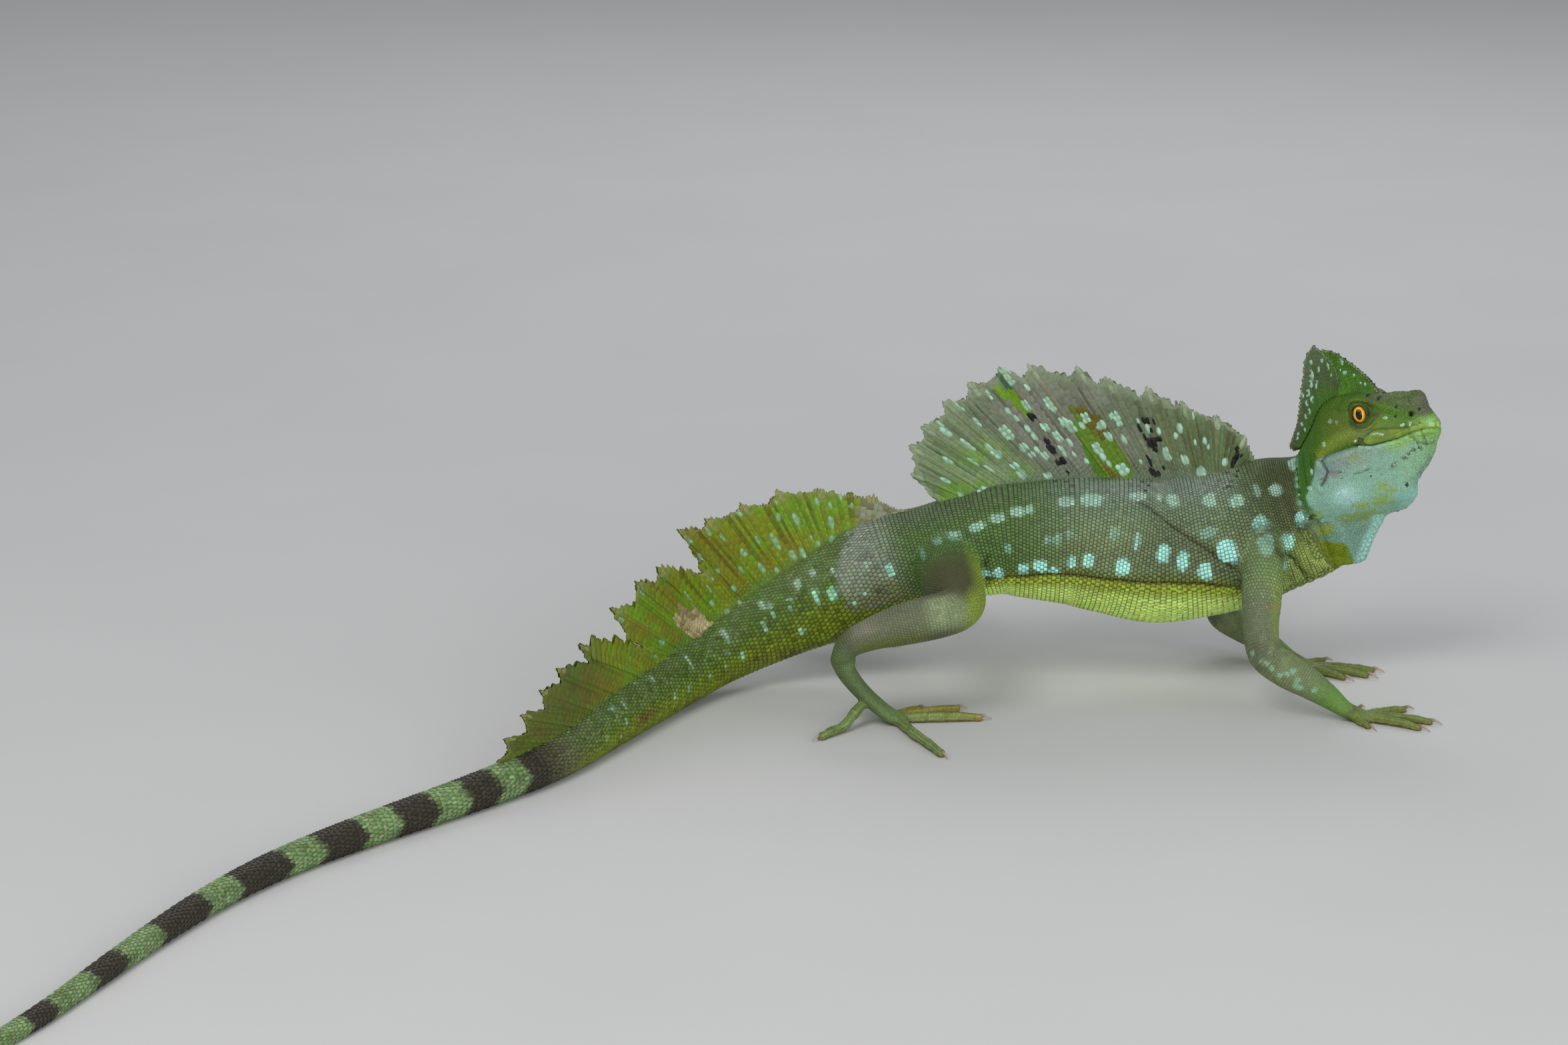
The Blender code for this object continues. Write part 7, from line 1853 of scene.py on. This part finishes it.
skin_finish = coloured("skin_finish", 0.58, 0.45, 700, 0.3)
scale_finish = coloured("scale_finish", 0.46, 0.3, 900, 0.32)
fin_finish = coloured("fin_finish", 0.50, 0.35, 800, 0.3)
claw_finish = coloured("claw_finish", 0.32, 0.2, 1500, 0.5, 0.2)
eye_finish = coloured("eye_finish", 0.22, 0.02, 2500, 0.3, 0.25)

# ---------------------------------------------------------------- the skin, one piece with its fins
# painted shade on the skin between the scales, less dark on the tail
between = SKIN_GAP_SHADE[region] + 0.20 * (region == 0) * step(140, 172, body_coords(V)[0])
set_colour(skin_mesh, C * relax(between[:, None], E, 1.0, 6))
skin = bpy.data.objects.new("skin", skin_mesh)
scene.collection.objects.link(skin)
for poly_mesh in [skin_mesh] + [f.data for f in fins]:
    poly_mesh.polygons.foreach_set("use_smooth", np.ones(len(poly_mesh.polygons), bool))
with bpy.context.temp_override(active_object=skin, selected_editable_objects=[skin, *fins], selected_objects=[skin, *fins], object=skin):
    bpy.ops.object.join()
skin.name = "skin"
skin.data.materials.clear()
skin.data.materials.append(skin_finish)
to_frame(skin.data)

# the skin's unwrap: trunk and tail by station and angle, head and limbs on their own strips
me = skin.data
co = co_of(me) / MM - SHIFT
face_start = np.zeros(len(me.polygons), np.int32)
face_total = np.zeros(len(me.polygons), np.int32)
me.polygons.foreach_get("loop_start", face_start)
me.polygons.foreach_get("loop_total", face_total)
loop_vert = np.zeros(len(me.loops), np.int32)
me.loops.foreach_get("vertex_index", loop_vert)
loop_face = np.repeat(np.arange(len(me.polygons)), face_total)
vert_region = np.full(len(co), 20)
vert_region[: len(region)] = region
first_vert = loop_vert[face_start]
face_region = vert_region[first_vert]
uv = np.zeros((len(loop_vert), 2))
loop_region = face_region[loop_face]
loop_co = co[loop_vert]


def unwrapped(values, loops_of, span):
    """Angles of a face's corners brought to one side of the seam."""
    lead = values[np.searchsorted(loops_of, face_start[loop_face[loops_of]])]
    return values + span * np.round((lead - values) / span)


for k in range(11):
    loops_of = np.nonzero(loop_region == k)[0]
    if not len(loops_of):
        continue
    p = loop_co[loops_of]
    if k == 0:
        s, ang = body_coords(p)
        ang = unwrapped(ang, loops_of, 360.0)
        uv[loops_of] = np.column_stack([0.01 + 0.98 * (s / 656) ** 0.8, 0.01 + 0.38 * (ang + 190) / 380])
    elif k in (1, 2):
        a, b, c = head_coords(p)
        theta = unwrapped(np.degrees(np.arctan2(b, c + 2 if k == 1 else c + 26)), loops_of, 360.0)
        uv[loops_of] = np.column_stack([(0.01 if k == 1 else 0.40) + (0.36 if k == 1 else 0.14) * (a + 8) / 56, 0.42 + 0.27 * (theta + 190) / 380])
    else:
        name = REGIONS[k].replace("toe_", "")
        at, ang = limb_coords(p, LIMBS[name])
        ang = unwrapped(ang, loops_of, 360.0)
        lane = ["arm_R", "arm_L", "leg_R", "leg_L"].index(name)
        if k < 7:
            uv[loops_of] = np.column_stack([0.56 + 0.42 * at / (len(LIMBS[name]) - 1), 0.42 + 0.065 * lane + 0.058 * (ang + 190) / 380])
        else:
            row = np.array(LIMBS[name][-1])[:2]
            uv[loops_of] = np.column_stack([0.02 + 0.22 * lane + 0.19 * np.clip((p[:, 0] - row[0] + 32) / 64, 0, 1), 0.71 + 0.12 * np.clip((p[:, 1] - row[1] + 40) / 80, 0, 1)])
# the fins' grids follow the flesh in the joined mesh
start = len(region)
for strip, (nk, nt) in enumerate(((436, 44), (421, 38), (91, 26), (131, 26))):
    total = nk * nt
    inside = (loop_vert >= start) & (loop_vert < start + 2 * total)
    local = loop_vert[inside] - start
    half = local // total
    local = local % total
    u0, u1, v0 = ((0.01, 0.60, 0.84), (0.01, 0.60, 0.92), (0.62, 0.78, 0.84), (0.80, 0.98, 0.84))[strip]
    uv[inside] = np.column_stack([u0 + (u1 - u0) * (local // nt) / (nk - 1), v0 + 0.037 * half + 0.034 * (local % nt) / (nt - 1)])
    start += 2 * total
layer = me.uv_layers.new(name="OFBake")
layer.data.foreach_set("uv", np.clip(uv, 0, 1).astype(np.float32).ravel())
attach(skin, "root")
flesh_nodes = [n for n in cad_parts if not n.startswith("eye_")]
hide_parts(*flesh_nodes)

# ---------------------------------------------------------------- the coat
for piece, parts in coat.items():
    verts, faces, colours, places, base = [], [], [], [], 0
    for local, f, shade, place in parts:
        n, m = local.shape[:2]
        verts.append(local.reshape(-1, 3))
        colours.append(shade.reshape(-1, 3))
        face = (f[None] + (np.arange(n) * m)[:, None, None]).reshape(-1, 3) + base
        faces.append(face)
        places.append(place.reshape(-1, 2)[face.ravel() - base])
        base += n * m
    made = lay(piece, np.vstack(verts), np.vstack(faces))
    set_colour(made, np.vstack(colours))
    layer = made.uv_layers.new(name="OFBake")
    layer.data.foreach_set("uv", np.clip(np.vstack(places), 0.001, 0.999).astype(np.float32).ravel())
    made.materials.append(fin_finish if "fin" in piece else scale_finish)
    to_frame(made)
    obj = bpy.data.objects.new(piece, made)
    scene.collection.objects.link(obj)
    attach(obj, "root")
    print("coat", piece, len(made.polygons))
print("skin", sum(len(p.vertices) - 2 for p in skin.data.polygons))

# ---------------------------------------------------------------- eyes
for name, (centre, out, fore, top) in eye_centre.items():
    rings = np.concatenate([np.linspace(0, 52, 60), np.linspace(55, 180, 26)]) * np.pi / 180
    turn = np.arange(96) * 2 * np.pi / 96
    th, ph = np.meshgrid(rings, turn, indexing="ij")
    x, y = np.sin(th) * np.cos(ph), np.sin(th) * np.sin(ph)
    radius = EYE_RADIUS * (1 + 0.035 * np.exp(-((th / 0.42) ** 4)))
    p = centre + radius[..., None] * (np.cos(th)[..., None] * out + x[..., None] * fore + y[..., None] * top)
    ex, ey = (x * EYE_RADIUS).ravel(), (y * EYE_RADIUS).ravel()
    phi = np.arctan2(ey, ex)
    pupil = np.hypot(ex / 1.06, ey / 1.84)
    iris = np.hypot(ex / 2.02, ey / 2.74)
    fibre = noise(np.column_stack([phi * 9, pupil * 1.4, phi * 0]), 1.0, 501) * 0.6 + noise(np.column_stack([phi * 26, pupil * 2, phi * 0]), 1.0, 502) * 0.4
    colour = mix(np.tile(rgb(238, 168, 10), (len(ex), 1)), rgb(206, 116, 6), step(0.40, 0.8, fibre) * 0.6)
    colour = mix(colour, rgb(255, 200, 30), hump(pupil, 1.14, 0.16) * 0.8)
    colour = mix(colour, rgb(168, 76, 4), step(0.76, 0.98, iris) * 0.6)
    colour = mix(colour, rgb(196, 104, 4), (1 - step(-2.4, -0.8, ey)) * 0.35)
    colour = mix(colour, rgb(14, 10, 4), step(0.94, 1.02, iris))
    colour = mix(colour, rgb(5, 5, 5), 1 - step(0.94, 1.03, pupil))
    eye = lay("eyeball_" + name, p.reshape(-1, 3), grid_faces(len(rings), 96, wrap=True))
    bm = bmesh.new()
    bm.from_mesh(eye)
    bmesh.ops.remove_doubles(bm, verts=bm.verts, dist=0.0002)
    bmesh.ops.recalc_face_normals(bm, faces=bm.faces)
    places = np.array([v.co for v in bm.verts])
    bm.to_mesh(eye)
    bm.free()
    kd = KDTree(len(ex))
    for i, q in enumerate(p.reshape(-1, 3)):
        kd.insert(q, i)
    kd.balance()
    set_colour(eye, colour[[kd.find(q)[1] for q in places]])
    eye.polygons.foreach_set("use_smooth", np.ones(len(eye.polygons), bool))
    eye.materials.append(eye_finish)
    to_frame(eye)
    obj = bpy.data.objects.new("eyeball_" + name, eye)
    scene.collection.objects.link(obj)
    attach(obj, "root")
    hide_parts("eye_" + name)

# ---------------------------------------------------------------- claws
verts, faces, colours, base = [], [], [], 0
for name in LIMBS:
    for row in TOES[name]:
        line, ahead = toe_line(row)
        tip = line[-1]
        keys = []
        for reach, drop, tall in ((-0.7, 0.25, 0.62), (0.5, 0.62, 0.70), (1.5, 0.72, 0.60), (2.6, 0.45, 0.42), (3.6, -0.05, 0.24), (CLAW_LENGTH, -0.55, 0.05)):
            keys.append((*(tip[:3] + ahead * reach + [0, 0, drop]), tall))
        keys = spline(np.array(keys), np.linspace(0, 5, 21))
        keys[:, 2] = np.maximum(keys[:, 2], keys[:, 3] + 0.03)
        rings = tube_rings(keys, 12)
        middle = keys[:, None, :3]
        across = unit(np.cross(ahead, [0, 0, 1.0]))
        off = ((rings - middle) * across).sum(2, keepdims=True) * across
        rings = rings - off * 0.42
        verts += [rings.reshape(-1, 3), rings[-1].mean(0)[None], rings[0].mean(0)[None]]
        faces.append(grid_faces(21, 12, wrap=True)[:, [0, 1, 2]] + base)
        faces.append(grid_faces(21, 12, wrap=True)[:, [0, 2, 3]] + base)
        j = np.arange(12)
        faces.append(np.column_stack([20 * 12 + j, 20 * 12 + (j + 1) % 12, np.full(12, 252)]) + base)
        faces.append(np.column_stack([(j + 1) % 12, j, np.full(12, 253)]) + base)
        t = np.repeat(np.linspace(0, 1, 21), 12)
        shade = mix(np.tile(rgb(120, 104, 78), (252, 1)), rgb(172, 156, 138), step(0.2, 0.6, t))
        shade = mix(shade, rgb(92, 70, 58), step(0.75, 1.0, t) * 0.8)
        colours += [shade, shade[-1:], shade[:1]]
        base += 254
claws = lay("claws", np.vstack(verts), np.vstack(faces))
bm = bmesh.new()
bm.from_mesh(claws)
bmesh.ops.recalc_face_normals(bm, faces=bm.faces)
bm.to_mesh(claws)
bm.free()
set_colour(claws, np.vstack(colours))
claws.polygons.foreach_set("use_smooth", np.ones(len(claws.polygons), bool))
claws.materials.append(claw_finish)
to_frame(claws)
obj = bpy.data.objects.new("claws", claws)
scene.collection.objects.link(obj)
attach(obj, "root")

# ---------------------------------------------------------------- floor and light
floor_mesh = lay("floor", np.array([(-9, -6, 0), (9, -6, 0), (9, 14, 0), (-9, 14, 0)], float), np.array([(0, 1, 2, 3)]))
floor = bpy.data.objects.new("floor", floor_mesh)
scene.collection.objects.link(floor)
ground = bpy.data.materials.new("floor_finish")
ground.use_nodes = True
nodes, links = ground.node_tree.nodes, ground.node_tree.links
grain = nodes.new("ShaderNodeTexNoise")
grain.inputs["Scale"].default_value = 9
tone = nodes.new("ShaderNodeMapRange")
tone.inputs["To Min"].default_value = 0.60
tone.inputs["To Max"].default_value = 0.64
place = nodes.new("ShaderNodeTexCoord")
links.new(place.outputs["Object"], grain.inputs["Vector"])
links.new(grain.outputs["Fac"], tone.inputs["Value"])
links.new(tone.outputs["Result"], nodes["Principled BSDF"].inputs["Base Color"])
nodes["Principled BSDF"].inputs["Roughness"].default_value = 0.85
floor_mesh.materials.append(ground)

world = bpy.data.worlds.new("studio")
world.use_nodes = True
world.node_tree.nodes["Background"].inputs["Color"].default_value = (0.93, 0.96, 1.0, 1)
world.node_tree.nodes["Background"].inputs["Strength"].default_value = 0.36
scene.world = world


def softbox(name, at, aim, size, power, colour):
    lamp = bpy.data.lights.new(name, "AREA")
    lamp.shape, lamp.size, lamp.size_y = "RECTANGLE", size[0], size[1]
    lamp.energy, lamp.color = power, colour
    obj = bpy.data.objects.new(name, lamp)
    obj.location = at
    obj.rotation_euler = (Vector(aim) - Vector(at)).to_track_quat("-Z", "Y").to_euler()
    scene.collection.objects.link(obj)


softbox("key", (-0.45, -0.85, 1.25), (0, 0, 0.04), (0.7, 0.7), 9.5, (1.0, 0.98, 0.95))
softbox("front", (0.35, -1.35, 0.42), (0.05, 0, 0.05), (0.9, 0.6), 6.5, (1.0, 0.99, 0.97))
softbox("fill", (1.3, -0.7, 0.6), (0, 0, 0.05), (0.9, 0.9), 3.2, (0.95, 0.98, 1.0))
softbox("back", (0.3, 1.3, 1.0), (0, 0, 0.05), (1.0, 0.6), 4.5, (1.0, 1.0, 1.0))
